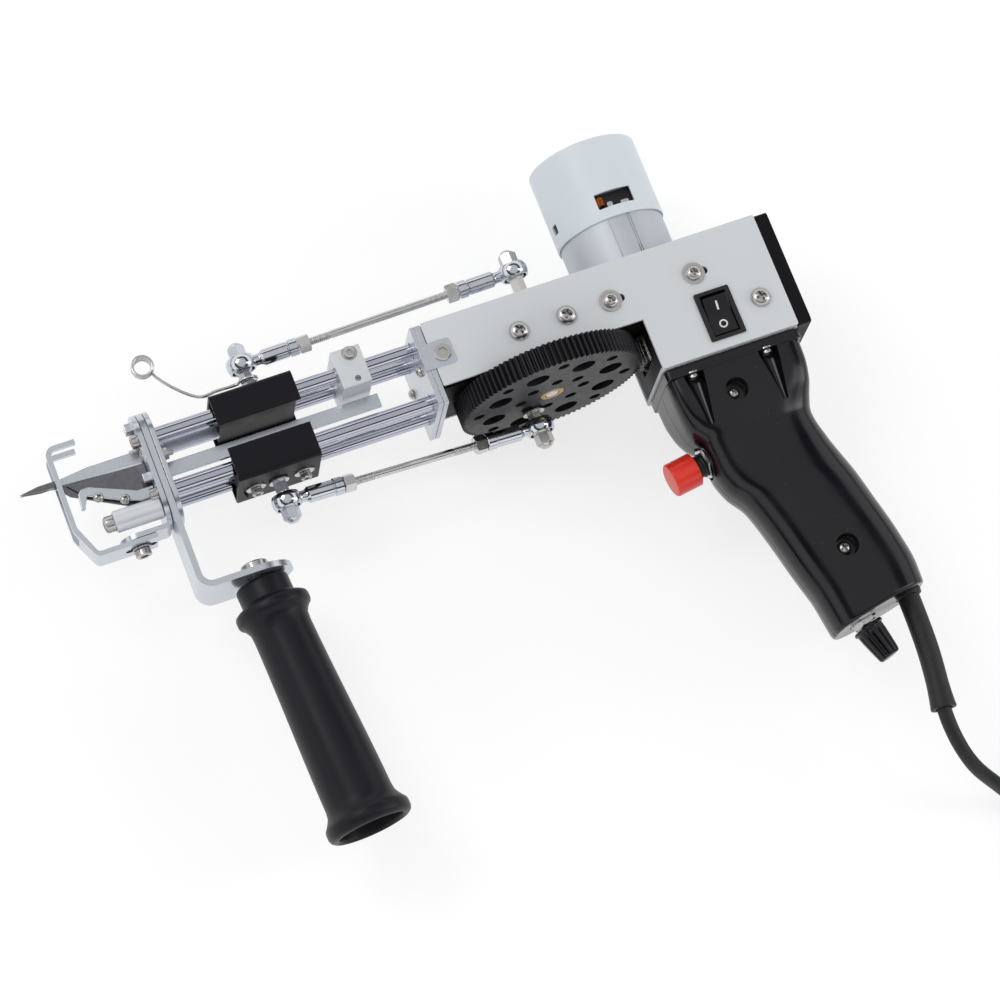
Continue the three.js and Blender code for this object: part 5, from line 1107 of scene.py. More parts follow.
def coil_points():
    """The stored cord: it winds inward on the table, climbs, and winds outward on top."""
    inner = COIL_MIDDLE - COIL_PITCH * COIL_TURNS / 2
    turns = 2 * COIL_TURNS
    count = round(turns * COIL_STEPS)
    points = []
    for i in range(count + 1):
        turn = i / count * turns
        angle = math.radians(COIL_START) + turn * 2 * math.pi
        radius = inner + abs(turn - COIL_TURNS) * COIL_PITCH
        share = min(max((turn - COIL_TURNS + COIL_CLIMB_SHARE) / (2 * COIL_CLIMB_SHARE), 0), 1)
        climb = share * share * (3 - 2 * share)
        height = table_height() + CORD_RADIUS + climb * COIL_LAYER
        points.append(at(
            COIL_CENTRE[0] + radius * math.cos(angle), COIL_CENTRE[1] + radius * math.sin(angle), height))
    start_away = (points[0] - points[1]).to_2d().to_3d().normalized()
    end_away = (points[-1] - points[-2]).to_2d().to_3d().normalized()
    return points, start_away, end_away


def build_cord():
    """The power cord, from the sleeve's mouth to its coil, with the plug at its end."""
    path = sleeve_path()
    down = (path[-1] - path[-2]).normalized()
    mouth = path[-1] - down * SLEEVE_SOCKET * MM
    coil, start_away, end_away = coil_points()
    lead_in = coil[0] + start_away * (2 * CORD_RADIUS + FIT) * MM
    lead_out = coil[-1] + end_away * 2 * CORD_RADIUS * MM
    corners = [
        mouth + down * FIT * MM,
        path[-1] + down * CORD_DROP * MM,
        lead_in + start_away * CORD_ARRIVAL * MM,
        lead_in,
    ]
    route = rounded_route(corners, CORD_BEND * MM, CORD_STEP * MM) + coil + [lead_out]
    curve = bpy.data.curves.new("cord", "CURVE")
    curve.dimensions = "3D"
    curve.bevel_depth = sizes().cord / 2
    curve.bevel_resolution = 5
    curve.resolution_u = 5
    curve.use_fill_caps = True
    spline = curve.splines.new("BEZIER")
    spline.bezier_points.add(len(route) - 1)
    for point, place in zip(spline.bezier_points, route):
        point.co = place
        point.handle_left_type = point.handle_right_type = "AUTO"
    cord = linked("cord", curve)
    curve.materials.append(finish_of("cable")[0])
    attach(cord, "machine_body")
    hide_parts("power_cord", "cord_coil")
    plug = finished("plug_body", "cable", 0.8, 32, 3)


def build_sleeve():
    """A moulded sleeve with a collar at its root and a flared, hollow mouth."""
    path = sleeve_path()
    count = len(path) - 1
    rings = []
    for i, point in enumerate(path):
        ahead = path[min(i + 1, count)] - path[max(i - 1, 0)]
        past = max((i / count - SLEEVE_FLARE) / (1 - SLEEVE_FLARE), 0)
        rings.append((point, ahead, SLEEVE_ROOT + (SLEEVE_END_RADIUS - SLEEVE_ROOT) * past ** 1.5))
    down = (path[-1] - path[-2]).normalized()
    rings[-1] = (path[-1] - down * 0.5 * MM, down, SLEEVE_END_RADIUS)
    bore = CORD_RADIUS + FIT
    mouth = (
        (0.1, SLEEVE_END_RADIUS - 0.15), (0.0, SLEEVE_END_RADIUS - 0.5), (0.0, bore + 0.2), (0.3, bore),
        (SLEEVE_SOCKET, bore),
    )
    rings += [(path[-1] - down * back * MM, down, radius) for back, radius in mouth]
    sleeve = polished(ringed("sleeve", rings, 40))
    placed(sleeve, "cable", "cord_sleeve")
    inner = SLEEVE_ROOT - 0.2
    collar = turned("sleeve_collar", at(SLEEVE_X, heel_at(SLEEVE_X), 0), -Y, [
        (-3.2, inner), (1.0, inner), (1.0, 5.2), (0.7, 5.6), (-2.6, 6.0), (-3.2, 5.7)], 48, True)
    placed(polished(collar), "cable")


# The housing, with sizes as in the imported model

SIDE_SHEET = 1.5
STEP_ROUND = 0.8
SHEET_EDGE = 0.25
PLATE_HOLE = 1.7
PLATE_SLOT = 4.4
SCREW_LINE = 11.5
SCREWS_X = (-48.8, -28.5)
SLOTS_X = (-9.5, 26.4)
TAIL_SCREW = (48.3, -6.8)
SLOT_SCREW = 6.4
TAB_SCREW = 7.0
TAB_SCREW_AT = (-80.7, 13.0)
# The hole for the power switch: its two ends along the machine, then its lowest and highest edge
SWITCH_CUT = (23.5, 36.5, -17.4, 1.8)
ROCKER_TILT = math.radians(11)
ROCKER_PIVOT_DEPTH = 2.7
MARK_SPREAD = 3.9


def side_plate(node, start, end, extra):
    """A stepped side plate with its screw holes and slots, and any further holes."""
    low, high = span(node)
    r = STEP_ROUND
    outline = rounded(
        [(low.x, 0), (0, 0), (0, low.y), (high.x, low.y), (high.x, high.y), (low.x, high.y)],
        [r, 0, r, r, r, r], 4)
    sheet = plate(node + "_finished", "z", outline, start, end)
    holes = [circle(x, SCREW_LINE, PLATE_HOLE) for x in SCREWS_X] + [circle(*TAIL_SCREW, PLATE_HOLE)]
    holes += [long_hole(x, x + PLATE_SLOT, SCREW_LINE, PLATE_HOLE) for x in SLOTS_X] + extra
    return punched(sheet, "z", holes, start, end)


def build_housing():
    outer = HALF_WIDTH + SIDE_SHEET
    near = side_plate("near_side_plate", HALF_WIDTH, outer, [rounded_box(*SWITCH_CUT, 0.4, 4)])
    placed(softened(near, SHEET_EDGE), "paint", "near_side_plate")
    low, high = span("far_side_plate")
    far = side_plate("far_side_plate", -outer, -HALF_WIDTH, [])
    section = rounded_box(low.y, low.y + SIDE_SHEET, low.z, high.z, 0.05, 1)
    floor = plate("floor_sheet", "x", section, 0, high.x)
    placed(softened(fused(far, floor), SHEET_EDGE), "paint", "far_side_plate")
    finished("upper_frame", "zinc", 0.3)
    finished("gear_bearing_plate", "black sheet", 0.2)
    finished("tail_front_wall", "black sheet", 0.2)
    finished("rear_cover", "black sheet", 1.0, 40, 4)


def build_housing_screws():
    outer = HALF_WIDTH + SIDE_SHEET
    for name, z, way in (("near", outer, Z), ("far", -outer, -Z)):
        plain = [(at(x, SCREW_LINE, z), way, twist) for x, twist in zip(SCREWS_X, (24, 60))]
        plain.append((at(*TAIL_SCREW, z), way, 10))
        screws(name + "_plate_screws", "pan", sizes().pan_head, plain)
        slotted = [(at(x, SCREW_LINE, z), way, twist) for x, twist in zip(SLOTS_X, (40, 75))]
        screws(name + "_slot_screws", "washered pan", SLOT_SCREW * MM, slotted)
    corner = at(*TAB_SCREW_AT, span("rear_rail_plates")[1].z - 0.7)
    screws("tab_screw", "button", TAB_SCREW * MM, [(corner, Z, 20)])


def build_switch():
    """The power switch, with a bar printed on one half of its rocker and a ring on the other."""
    finished("switch_bezel", "switch", 0.5, 32, 3)
    finished("rocker", "gloss", 0.45, 14, 3)
    x, y, _ = middle("switch_bezel")
    pivot = at(x, y, span("switch_bezel")[1].z - ROCKER_PIVOT_DEPTH)
    lean = Matrix.Translation(pivot) @ Matrix.Rotation(ROCKER_TILT, 4, "X")
    # The ink's lower and upper face
    under, over = -0.06, 0.04
    face = [Vector((u, v, under)) * MM for u, v in rounded_box(-0.4, 0.4, -1.9, 1.9, 0.3, 4)]
    bar = pushed("on_mark", face, Z * (over - under) * MM)
    ring = turned("off_mark", Vector(), Z, [
        (under, 1.15), (under, 1.75), (over, 1.75), (over, 1.15)], 48, True)
    for mark, side in ((bar, 1), (ring, -1)):
        shift = Matrix.Translation(Vector((0, side * MARK_SPREAD, ROCKER_PIVOT_DEPTH)) * MM)
        moved(mark, lean @ shift @ Matrix.Rotation(side * ROCKER_TILT, 4, "X"))
        placed(polished(mark), "print", body="power_rocker")


# The gear, its pinion and the crankshaft

TOOTH_MODULE = 0.76
GEAR_TEETH = 100
PINION_TEETH = 25
TOOTH_THINNING = 0.1
TOOTH_EASE = 0.12
TOOTH_EDGE = 0.14
FLANK_SLOPE = 0.36
ADDENDUM = 0.94
DEDENDUM = 1.3
# The gear's rings of holes: distance from the axle, share of a step further round, radius of a hole
HOLE_RINGS = ((25.7, 0, 4.9), (31.6, 0.5, 2.4), (13.6, 0.5, 2.5))
HOLES_ROUND = 8
HOLE_PHASE = 20.2
BUSH_RADIUS = 5.3
SHAFT_RADIUS = 3
CRANK_DISC_HEIGHT = 2.6
MOTOR_SHAFT_RADIUS = 2.5
PINION_HUB_RADIUS = 5.4
PINION_HUB_TOP = 25.3


def gear_outline(teeth, middle_x):
    """A spur gear's outline as (x, z), with rounded roots and tips."""
    pitch = TOOTH_MODULE * teeth / 2
    tip = pitch + TOOTH_MODULE * ADDENDUM
    root = pitch - TOOTH_MODULE * DEDENDUM
    half = math.pi * TOOTH_MODULE / 4 * (1 - TOOTH_THINNING)
    half_tip = half - (tip - pitch) * FLANK_SLOPE
    half_root = half + (pitch - root) * FLANK_SLOPE
    ease = TOOTH_EASE
    flank = [
        (root, -half_root - ease), (root + ease, -half_root), (tip - ease, -half_tip - ease * FLANK_SLOPE),
        (tip, -half_tip + ease),
    ]
    tooth = flank + [(radius, -aside) for radius, aside in flank[::-1]]
    outline = []
    for i in range(teeth):
        tooth_angle = i / teeth * 2 * math.pi
        for radius, aside in tooth:
            angle = tooth_angle + aside / radius
            outline.append((middle_x + radius * math.cos(angle), radius * math.sin(angle)))
    return outline


def build_drive():
    """The big gear with its rings of holes, its bush and the crankshaft, and the motor's pinion."""
    axle = middle("main_gear")[0]
    low, high = span("main_gear")
    gear = plate("gear_finished", "y", gear_outline(GEAR_TEETH, axle), low.y, high.y)
    holes = [circle(axle, 0, BUSH_RADIUS + 0.05)]
    for i in range(HOLES_ROUND):
        for radius, share, size in HOLE_RINGS:
            angle = math.radians(HOLE_PHASE + (i + share) * 360 / HOLES_ROUND)
            holes.append(circle(axle + radius * math.cos(angle), radius * math.sin(angle), size))
    punched(gear, "y", holes, low.y, high.y)
    placed(softened(gear, TOOTH_EDGE, 1), "nylon", "main_gear", body="crank_gear")

    bush_low, bush_high = span("gear_bush")
    height = bush_high.y - bush_low.y
    inner = SHAFT_RADIUS + 0.1
    bush = turned("bush_finished", at(axle, bush_low.y, 0), Y, [
        (0, inner), (0, BUSH_RADIUS - 0.3), (0.3, BUSH_RADIUS), (height - 0.3, BUSH_RADIUS),
        (height, BUSH_RADIUS - 0.3), (height, inner)], 64, True)
    placed(polished(bush), "brass", "gear_bush", body="crank_gear")

    low, high = span("upper_crankshaft")
    length = high.y - low.y
    disc = (high.x - low.x) / 2
    under = length - CRANK_DISC_HEIGHT
    shaft = turned("crankshaft_finished", at(axle, low.y, 0), Y, [
        (0, 0), (0, SHAFT_RADIUS - 0.4), (0.4, SHAFT_RADIUS), (under, SHAFT_RADIUS), (under, disc - 0.3),
        (under + 0.3, disc), (length - 0.4, disc), (length, disc - 0.4), (length, 0)], 80)
    placed(polished(shaft), "zinc", "upper_crankshaft", body="crank_gear")
    build_pinion(span("main_gear")[1].y)


def build_pinion(teeth_top):
    """The motor's pinion: teeth up to the gear's top, and a round hub above them on the motor's shaft."""
    low, high = span("motor_pinion")
    x = middle("motor_pinion")[0]
    pinion = plate("pinion_finished", "y", gear_outline(PINION_TEETH, x), low.y + 0.8, teeth_top)
    softened(pinion, TOOTH_EDGE, 1)
    shaft, hub = MOTOR_SHAFT_RADIUS, PINION_HUB_RADIUS
    hub_low, hub_high, top = teeth_top - low.y, PINION_HUB_TOP - low.y, high.y - low.y
    stem = turned("hub", at(x, low.y, 0), Y, [
        (0, 0), (0, shaft - 0.4), (0.4, shaft), (hub_low - 0.2, shaft), (hub_low - 0.2, hub - 0.3),
        (hub_low + 0.3, hub), (hub_high - 0.3, hub), (hub_high, hub - 0.3), (hub_high, shaft),
        (top - 0.4, shaft), (top, shaft - 0.4), (top, 0)], 48)
    made = grouped("pinion_finished", pinion, polished(stem))
    placed(made, "stainless", "motor_pinion", body="motor_rotor")


# The motor under its cap

CAN_RADIUS = 22
CAN_SKIN = 21.6
CAN_BORE = 2.8
SHOULDER_RADIUS = 19
SHOULDER_Y = 71.6
FLUX_LOW = 26.8
FLUX_HIGH = 71.0
FLUX_INSIDE = 21.5
# The seam's turn in degrees, the width of its two slits, and half the strip between them
SEAM = (10.5, 0.9, 0.75)
LAP_LINE = -11.6
SHEET_STEP = 3.75
NICHE_FLOOR = 17.5
OUT_OF_CAP = 30
CAP_ROUND = 1.3
CAP_WALL = 0.9
# The cap's windows: width, height and turn in degrees
CAP_WINDOWS = ((15.5, 6.7, 3.5), (15.5, 6.7, 183.5), (4, 4, -77), (4, 4, 103))
WINDOW_LIFT = 7.8
WIRE_LOOPS = 5
WIRE_STEP = 0.75
WINDING_RADIUS = 0.36
# One loop of wire in a window: aside, along the axle, and outwards from the window's floor
WIRE_PATH = ((-7.4, -0.8, 0), (-6.6, 0.1, 0.9), (-5.6, 0.5, 1.2), (-4.5, 0.3, 0.6), (-3.8, -0.4, -0.4))
# The brush arms: their two sides, and how high each reaches
BRUSH_ARMS = ((-3.2, -0.9, -0.4), (2.6, 6.0, -1.2))
ARM_THICKNESS = 0.9


def wrapped(name, x, start, end, outer):
    """A sheet of the flux ring between two turns in degrees, counted from the near side."""
    steps = max(int(abs(end - start) / SHEET_STEP), 2)
    outside = arc(x, 0, outer, 90 - start, 90 - end, steps)
    inside = arc(x, 0, FLUX_INSIDE, 90 - end, 90 - start, steps)
    return plate(name, "y", outside + inside, FLUX_LOW, FLUX_HIGH)


def window_boxes(x, height, grow, inner, outer, corner=0.5):
    """A box through the motor's wall at each window, wider and taller than the window by a growth."""
    boxes = []
    for width, tall, turn in CAP_WINDOWS:
        half_width, half_tall = (width + grow) / 2, (tall + grow) / 2
        outline = rounded_box(-half_width, half_width, -half_tall, half_tall, corner, 4)
        box = moved(plate("cutter", "z", outline, inner, outer), Matrix.Translation(-at(0, 0, 0)))
        place = Matrix.Translation(at(x, height, 0)) @ Matrix.Rotation(math.radians(turn), 4, "Y")
        boxes.append(moved(box, place))
    return boxes


def build_motor():
    """The motor's can and flux ring, its cap, and what shows in the cap's windows."""
    low, high = span("motor_can")
    x = middle("motor_can")[0]
    window_y = span("motor_cap")[0].y + WINDOW_LIFT
    top = high.y - low.y
    shoulder = SHOULDER_Y - low.y
    can = turned("can_finished", at(x, low.y, 0), Y, [
        (0, CAN_BORE), (0, 19.5), (0.6, 20.6), (1.6, 21.2), (3.2, 21.4), (3.6, CAN_SKIN),
        (shoulder - 1.2, CAN_SKIN), (shoulder - 0.3, 21.2), (shoulder, 20.2), (shoulder, SHOULDER_RADIUS),
        (top - 0.8, SHOULDER_RADIUS), (top, SHOULDER_RADIUS - 0.8), (top, 0), (top - 6, 0),
        (top - 6, CAN_BORE)], 96)
    carved(can, *window_boxes(x, window_y, 1.2, NICHE_FLOOR, OUT_OF_CAP))
    placed(polished(can), "flux", "motor_can")

    # The flux ring is a sheet wrapped round the can, with a lapped edge and two fine lines at its seam
    seam, slit, strip = SEAM
    sheets = [
        wrapped("flux_ring", x, seam + strip + slit, LAP_LINE + 359.5, CAN_RADIUS),
        wrapped("flux_lap", x, LAP_LINE, seam - strip - slit, CAN_RADIUS - 0.12),
        wrapped("flux_strip", x, seam - strip, seam + strip, CAN_RADIUS - 0.1),
    ]
    ring = carved(grouped("flux_ring", *sheets), *window_boxes(x, window_y, 1.2, NICHE_FLOOR, OUT_OF_CAP))
    placed(softened(ring, 0.12, 2), "flux")
    build_cap(x, window_y)
    build_windings(x, window_y)


def build_cap(x, window_y):
    """The moulded cap: a thin shell with a rounded top and four windows."""
    low, high = span("motor_cap")
    radius = (high.x - low.x) / 2
    height = high.y - low.y
    inner = radius - CAP_WALL
    inside_round = CAP_ROUND - CAP_WALL / 2
    corner = arc(height - CAP_ROUND, radius - CAP_ROUND, CAP_ROUND, 90, 0, 9)
    inside = arc(height - CAP_WALL - inside_round, inner - inside_round, inside_round, 0, 90, 6)
    shell = turned("cap_finished", at(x, low.y, 0), Y, [
        (0.15, inner + 0.1), (0, inner + 0.3), (0, radius - 0.3), (0.3, radius), *corner, (height, 0),
        (height - CAP_WALL, 0), *inside], 96, True)
    carved(shell, *window_boxes(x, window_y, 0, 10, OUT_OF_CAP))
    placed(softened(shell, 0.2, 2, 50), "cap", "motor_cap")


def build_windings(x, height):
    """What shows in the cap's windows: dark blocks, partly brush holders and partly painted shade, loops of
    enamelled wire and brush arms.
    """
    # Dark blocks behind all four windows: brush holders behind the two large ones, and painted shade of the
    # motor's dim inside behind every window, the small vents included
    shade_backings = window_boxes(x, height, 1, NICHE_FLOOR - 0.5, NICHE_FLOOR + 1.2, 0.4)
    placed(softened(grouped("brush_holders", *shade_backings), 0.1, 1), "switch")
    for name, (_, tall, turn) in (("near", CAP_WINDOWS[0]), ("far", CAP_WINDOWS[1])):
        out = heading(turn)
        aside = Y.cross(out)
        centre = at(x, height, 0) + out * (NICHE_FLOOR + 1.6) * MM
        loops = []
        for k in range(WIRE_LOOPS):
            rise = (k - WIRE_LOOPS // 2) * WIRE_STEP
            points = [centre + aside * u * MM + Y * (v + rise) * MM + out * lift * MM
                      for u, v, lift in WIRE_PATH]
            loops.append(swept("wire", smooth_path(points, 6), WINDING_RADIUS, 10))
        placed(polished(grouped(name + "_windings", *loops)), "copper")
        arms = []
        for u0, u1, reach in BRUSH_ARMS:
            outline = rounded_box(u0, u1, -tall / 2 - 0.3, reach, 0.5, 4)
            face = [centre + aside * u * MM + Y * v * MM for u, v in outline]
            arms.append(pushed("arm", face, out * ARM_THICKNESS * MM))
        placed(softened(grouped(name + "_brush_arms", *arms), 0.15, 2), "flux")


# The rails and what holds them

RAIL_RADIUS = 3
RAIL_SPREAD = 9.3
UPPER_RAIL_Y = 22
LOWER_RAIL_Y = -1
FRONT_PLATE = 2
BRACKET_SHEET = 2.5
# The oval plates and the window in them: lower and upper edge, far and near edge, radius of the corners
OVAL = (-13, 34, -14.5, 14.5, 12)
WINDOW = (-8, 29, -5.4, 5.4, 2.7)
STRAP_TOP = -1
FLANGE_Y = -45
BRACKET_BEND = 4
BRACKET_HALF = 14
HANDLE_X = -177.5
# The handle's bolt: hole in the flange, shank, head, and the hexagon socket's radius and depth
BOLT_HOLE = 3.2
BOLT_SHANK = 3.0
BOLT_HEAD = 5.6
BOLT_SOCKET = 2.9
BOLT_SOCKET_DEPTH = 2.6
# Screws on the rear plates: diameter, then height, depth and twist of each
REAR_SCREW = 4.4
REAR_SCREWS = ((11.5, 12.2, 15), (13.2, -19.4, 50))
REAR_NUT = 4.8
REAR_NUTS = ((-2.3, 10.7, 30),)


def build_rails():
    for node in ("upper_near_rail", "upper_far_rail", "lower_near_rail", "lower_far_rail"):
        low, high = span(node)
        _, y, z = middle(node)
        rail = drum(node + "_finished", at(low.x, y, z), X, 0, high.x - low.x, RAIL_RADIUS, 64, 0.4)
        placed(polished(rail), "chrome", node)


def oval_plate(name, start, end):
    return plate(name, "x", rounded_box(*OVAL, 16), start, end)


def windowed(piece, start, end, *holes):
    """Cuts the long window, and any further holes, through an upright plate."""
    return punched(piece, "x", [rounded_box(*WINDOW, 10), *holes], start, end)


def bent_plate(name, front, back, strap, half, sheet, nose, steps):
    """An oval window plate with a bent strap that ends in a round nose."""
    oval = oval_plate(name, front, back)
    tongue = plate("strap", "z", strap, -half, half)
    end = drum("nose", nose, Y, 0, sheet, half, steps)
    return windowed(fused(oval, tongue, end), front, back)


def build_rail_plates():
    """The plates that hold the rails at both ends, the bar between them, and the rear plates' screws."""
    finished("rear_rail_plates", "zinc", 0.3)
    finished("centre_bar", "zinc", 0.25)
    front_face = span("rear_rail_plates")[0].x
    rear_face = span("near_side_plate")[0].x - FIT
    heads = [(at(front_face, y, z), -X, twist) for y, z, twist in REAR_SCREWS]
    nuts = [(at(rear_face, y, z), X, twist) for y, z, twist in REAR_NUTS]
    screws("rear_plate_screws", "low pan", REAR_SCREW * MM, heads)
    screws("rear_plate_nuts", "low pan", REAR_NUT * MM, nuts)
    low, high = span("front_rail_plate")
    bores = [circle(y, z, RAIL_RADIUS + 0.05)
             for y in (UPPER_RAIL_Y, LOWER_RAIL_Y) for z in (RAIL_SPREAD, -RAIL_SPREAD)]
    sheet = windowed(oval_plate("front_rail_plate_finished", low.x, high.x), low.x, high.x, *bores)
    placed(softened(sheet, 0.2), "zinc", "front_rail_plate")


def build_bracket():
    """A window plate whose lower end is bent back as the side handle's flange."""
    front = span("handle_bracket")[0].x
    back = front + BRACKET_SHEET
    bend = (back + BRACKET_BEND, FLANGE_Y + BRACKET_SHEET + BRACKET_BEND)
    under = FLANGE_Y + BRACKET_SHEET
    strap = [
        (front, STRAP_TOP - 0.5), *arc(*bend, BRACKET_BEND + BRACKET_SHEET, 180, 270, 14),
        (HANDLE_X, FLANGE_Y), (HANDLE_X, under), *arc(*bend, BRACKET_BEND, 270, 180, 14),
        (back, STRAP_TOP - 0.5),
    ]
    nose = at(HANDLE_X, FLANGE_Y, 0)
    bracket = bent_plate("bracket_finished", front, back, strap, BRACKET_HALF, BRACKET_SHEET, nose, 96)
    hole = drum("cutter", at(HANDLE_X, FLANGE_Y - 1, 0), Y, 0, BRACKET_SHEET + 2, BOLT_HOLE)
    placed(softened(carved(bracket, hole), 0.3), "zinc", "handle_bracket")
    build_handle_bolt(under + FIT)


def build_handle_bolt(head_low):
    """The socket screw that holds the side handle; its head stands on the flange, at head_low."""
    low, high = span("handle_bolt")
    shank_top = head_low - low.y + 0.2
    head_height = high.y - head_low
    shank = turned("shank", at(HANDLE_X, low.y, 0), Y, [
        (0, 0), (0, 2.4), (0.6, BOLT_SHANK), (shank_top, BOLT_SHANK), (shank_top, 0)], 48)
    key = hexagon_cutter(at(HANDLE_X, high.y + 1, 0), at(HANDLE_X, high.y - BOLT_SOCKET_DEPTH, 0), Y,
                         BOLT_SOCKET, BOLT_SOCKET)
    head = turned("head", at(HANDLE_X, head_low, 0), Y, [
        (0, 0), (0, BOLT_HEAD), (head_height - 0.5, BOLT_HEAD), (head_height, BOLT_HEAD - 0.5),
        (head_height, 0)], 64)
    bolt = grouped("bolt", polished(shank), softened(carved(head, key), 0.12, 1, 50))
    placed(bolt, "stainless", "handle_bolt")


# The carriages, their studs and the tie rods

UPPER_STUD_X = -154
LOWER_STUD_X = -156.4
UPPER_ROD_Y = 41.4
LOWER_ROD_Y = -18
CARRIAGE_HALF = 15.7
COVER_SHEET = 1.5
COVER_BEND = 2.2
# Two screws on each web, as distances from its middle with a twist, and the rivet near one corner
WEB_SCREWS = ((-10, 15), (10.4, 50))
RIVET_AT = (3.4, -4)
RIVET = 1.6
BALL_RADIUS = 4.5
BALL_HALF = 3.3
BALL_FACE = 2.6
EYE_RADIUS = 6.2
EYE_HALF = 2.8
EYE_BULGE = 0.75
EYE_MOUTH = 4.75
SHANK_RADIUS = 3.35
SHANK_LENGTH = 23.8
SHANK_COLLAR = 3.8
SHANK_NECK = 2.35
TIE_RADIUS = 1.65
BOLT_RADIUS = 2
STUD_FLATS = 5.2
STUD_WASHER = 4.2
BOSS_FLATS = 5.4
BOSS_WASHER = 4.6
WASHER_HEIGHT = 0.8
WASHER_RIM = 0.12
LOCK_FLATS = 6.6
LOCK_NUT = 4.7
NUT_FLATS = 6.6
NUT_HEIGHT = 4.6
THREAD_RUN = 14
LOWER_CRANK = 16
UPPER_CRANK = 6
CRANK_ANGLE = 245.2
NUT_CROWN = 1.5
NUT_BITE = 0.2


def channel(web, edge):
    """Section of a bent cover: its web at one height, its flanges reaching to another."""
    half, sheet = CARRIAGE_HALF, COVER_SHEET
    near_turn, far_turn = (0, 360) if web > edge else (180, 180)
    bend_at = web - math.copysign(COVER_BEND, web - edge)
    near, far = half - COVER_BEND, COVER_BEND - half
    bend = COVER_BEND - sheet
    return [
        *arc(bend_at, near, COVER_BEND, near_turn, 90, 10), (edge, half), (edge, half - sheet),
        *arc(bend_at, near, bend, 90, near_turn, 5), *arc(bend_at, far, bend, far_turn, 270, 5),
        (edge, sheet - half), (edge, -half), *arc(bend_at, far, COVER_BEND, 270, far_turn, 10),
    ]


def ball(name, centre):
    """A joint's ball, cut off flat above and below."""
    rim = math.degrees(math.acos(BALL_HALF / BALL_RADIUS))
    return polished(turned(name, centre, Y, [
        (-BALL_HALF, 0), (-BALL_HALF, BALL_FACE), *arc(0, 0, BALL_RADIUS, 180 - rim, rim, 18),
        (BALL_HALF, BALL_FACE), (BALL_HALF, 0)], 48))


def crown_nut(name, foot, way, twist):
    """A hexagon nut with a low round crown."""
    body = polished(hex_nut(name, foot, way, NUT_FLATS, NUT_HEIGHT, twist))
    crown = NUT_FLATS / 2 - 0.35
    top = NUT_HEIGHT + NUT_CROWN
    dome = turned("crown", foot, way, [
        (NUT_HEIGHT - 0.3, 0), (NUT_HEIGHT - 0.3, crown), (NUT_HEIGHT + 0.3, crown), (top - 0.5, crown - 0.6),
        (top, crown - 1.2), (top, 0)], 48)
    return grouped(name, body, polished(dome))


def made_washer(name, foot, way, inner, outer, height):
    """A flat washer with softened rims."""
    rim = WASHER_RIM
    profile = [
        (0, inner), (0, outer - rim), (rim, outer), (height - rim, outer), (height, outer - rim),
        (height, inner),
    ]
    return polished(turned(name, foot, way, profile, 56, True))


def stud(node, x, base, rod_y, body):
    """A carriage's stud: washer, hexagon, ball and crowned nut, on the cover's web."""
    up = Y if rod_y > base else -Y
    foot = at(x, base, 0) + up * FIT * MM
    hexagon_foot = foot + up * (WASHER_HEIGHT - 0.1) * MM
    sleeve = abs(rod_y - base) - FIT - BALL_HALF
    out = at(x, rod_y, 0) + up * (BALL_HALF - NUT_BITE) * MM
    neck = [
        (0, 0), (0, BOLT_RADIUS), (sleeve - 0.3, BOLT_RADIUS), (sleeve, BOLT_RADIUS + 0.6), (sleeve + 0.1, 0)]
    pieces = [
        made_washer("washer", foot, up, BOLT_RADIUS, STUD_WASHER, WASHER_HEIGHT),
        polished(hex_nut("hexagon", hexagon_foot, up, STUD_FLATS, sleeve - 2 * WASHER_HEIGHT + 0.1)),
        polished(turned("neck", foot, up, neck, 48)),
        ball("ball", at(x, rod_y, 0)),
        crown_nut("nut", out, up, 14),
    ]
    placed(grouped(node + "_finished", *pieces), "zinc", node, body=body)


def build_carriages():
    """Each carriage's cover and slide block, with its screws, its rivet and its stud."""
    for label, way, stud_x, rod_y in (
        ("upper", Y, UPPER_STUD_X, UPPER_ROD_Y),
        ("lower", -Y, LOWER_STUD_X, LOWER_ROD_Y),
    ):
        body = label + "_carriage"
        low, high = span(body + "_cover")
        web, edge = (high.y, low.y) if label == "upper" else (low.y, high.y)
        cover = plate(label + "_cover_finished", "x", channel(web, edge), low.x, high.x)
        placed(softened(cover, 0.2, 2, 50), "anodised", body + "_cover", body=body)
        finished(label + "_slide_block", "anodised", 0.35)
        x = middle(body + "_cover")[0]
        places = [(at(x + shift, web, 0), way, twist) for shift, twist in WEB_SCREWS]
        screws(label + "_web_screws", "washered", sizes().cap_head, places, body)
        rivet = at(low.x + RIVET_AT[0], web, RIVET_AT[1])
        screws(label + "_web_rivet", "low pan", RIVET * MM, [(rivet, way, 0)], body, "switch")
        stud(body + "_stud", stud_x, web, rod_y, body)


def rod_end(name, centre, toward):
    """A ball joint's barrel-shaped housing with its shank pointing along a direction."""
    bore = BALL_RADIUS + 0.12
    barrel = []
    for i in range(13):
        height = EYE_HALF * (i / 6 - 1)
        barrel.append((height, EYE_RADIUS - EYE_BULGE * abs(height / EYE_HALF) ** 2.2))
    eye = turned("eye", centre, Y, [
        (-EYE_HALF, EYE_MOUTH), *barrel, (EYE_HALF, EYE_MOUTH), (EYE_HALF - 0.8, bore + 0.1), (0, bore + 0.2),
        (0.8 - EYE_HALF, bore + 0.1)], 80, True)
    r, neck, wide = SHANK_RADIUS, SHANK_NECK, SHANK_RADIUS + FIT
    collar = SHANK_LENGTH - SHANK_COLLAR
    shank = turned("shank", centre, toward, [
        (5.3, 0), (5.3, 2.6), (6.2, neck), (7.6, neck), (8.4, 2.7), (9.2, r), (collar - 0.8, r),
        (collar - 0.5, r - 0.3), (collar - 0.1, r - 0.3), (collar + 0.2, wide), (SHANK_LENGTH - 0.3, wide),
        (SHANK_LENGTH, r), (SHANK_LENGTH, 0)], 56)
    return grouped(name, polished(eye), polished(shank))


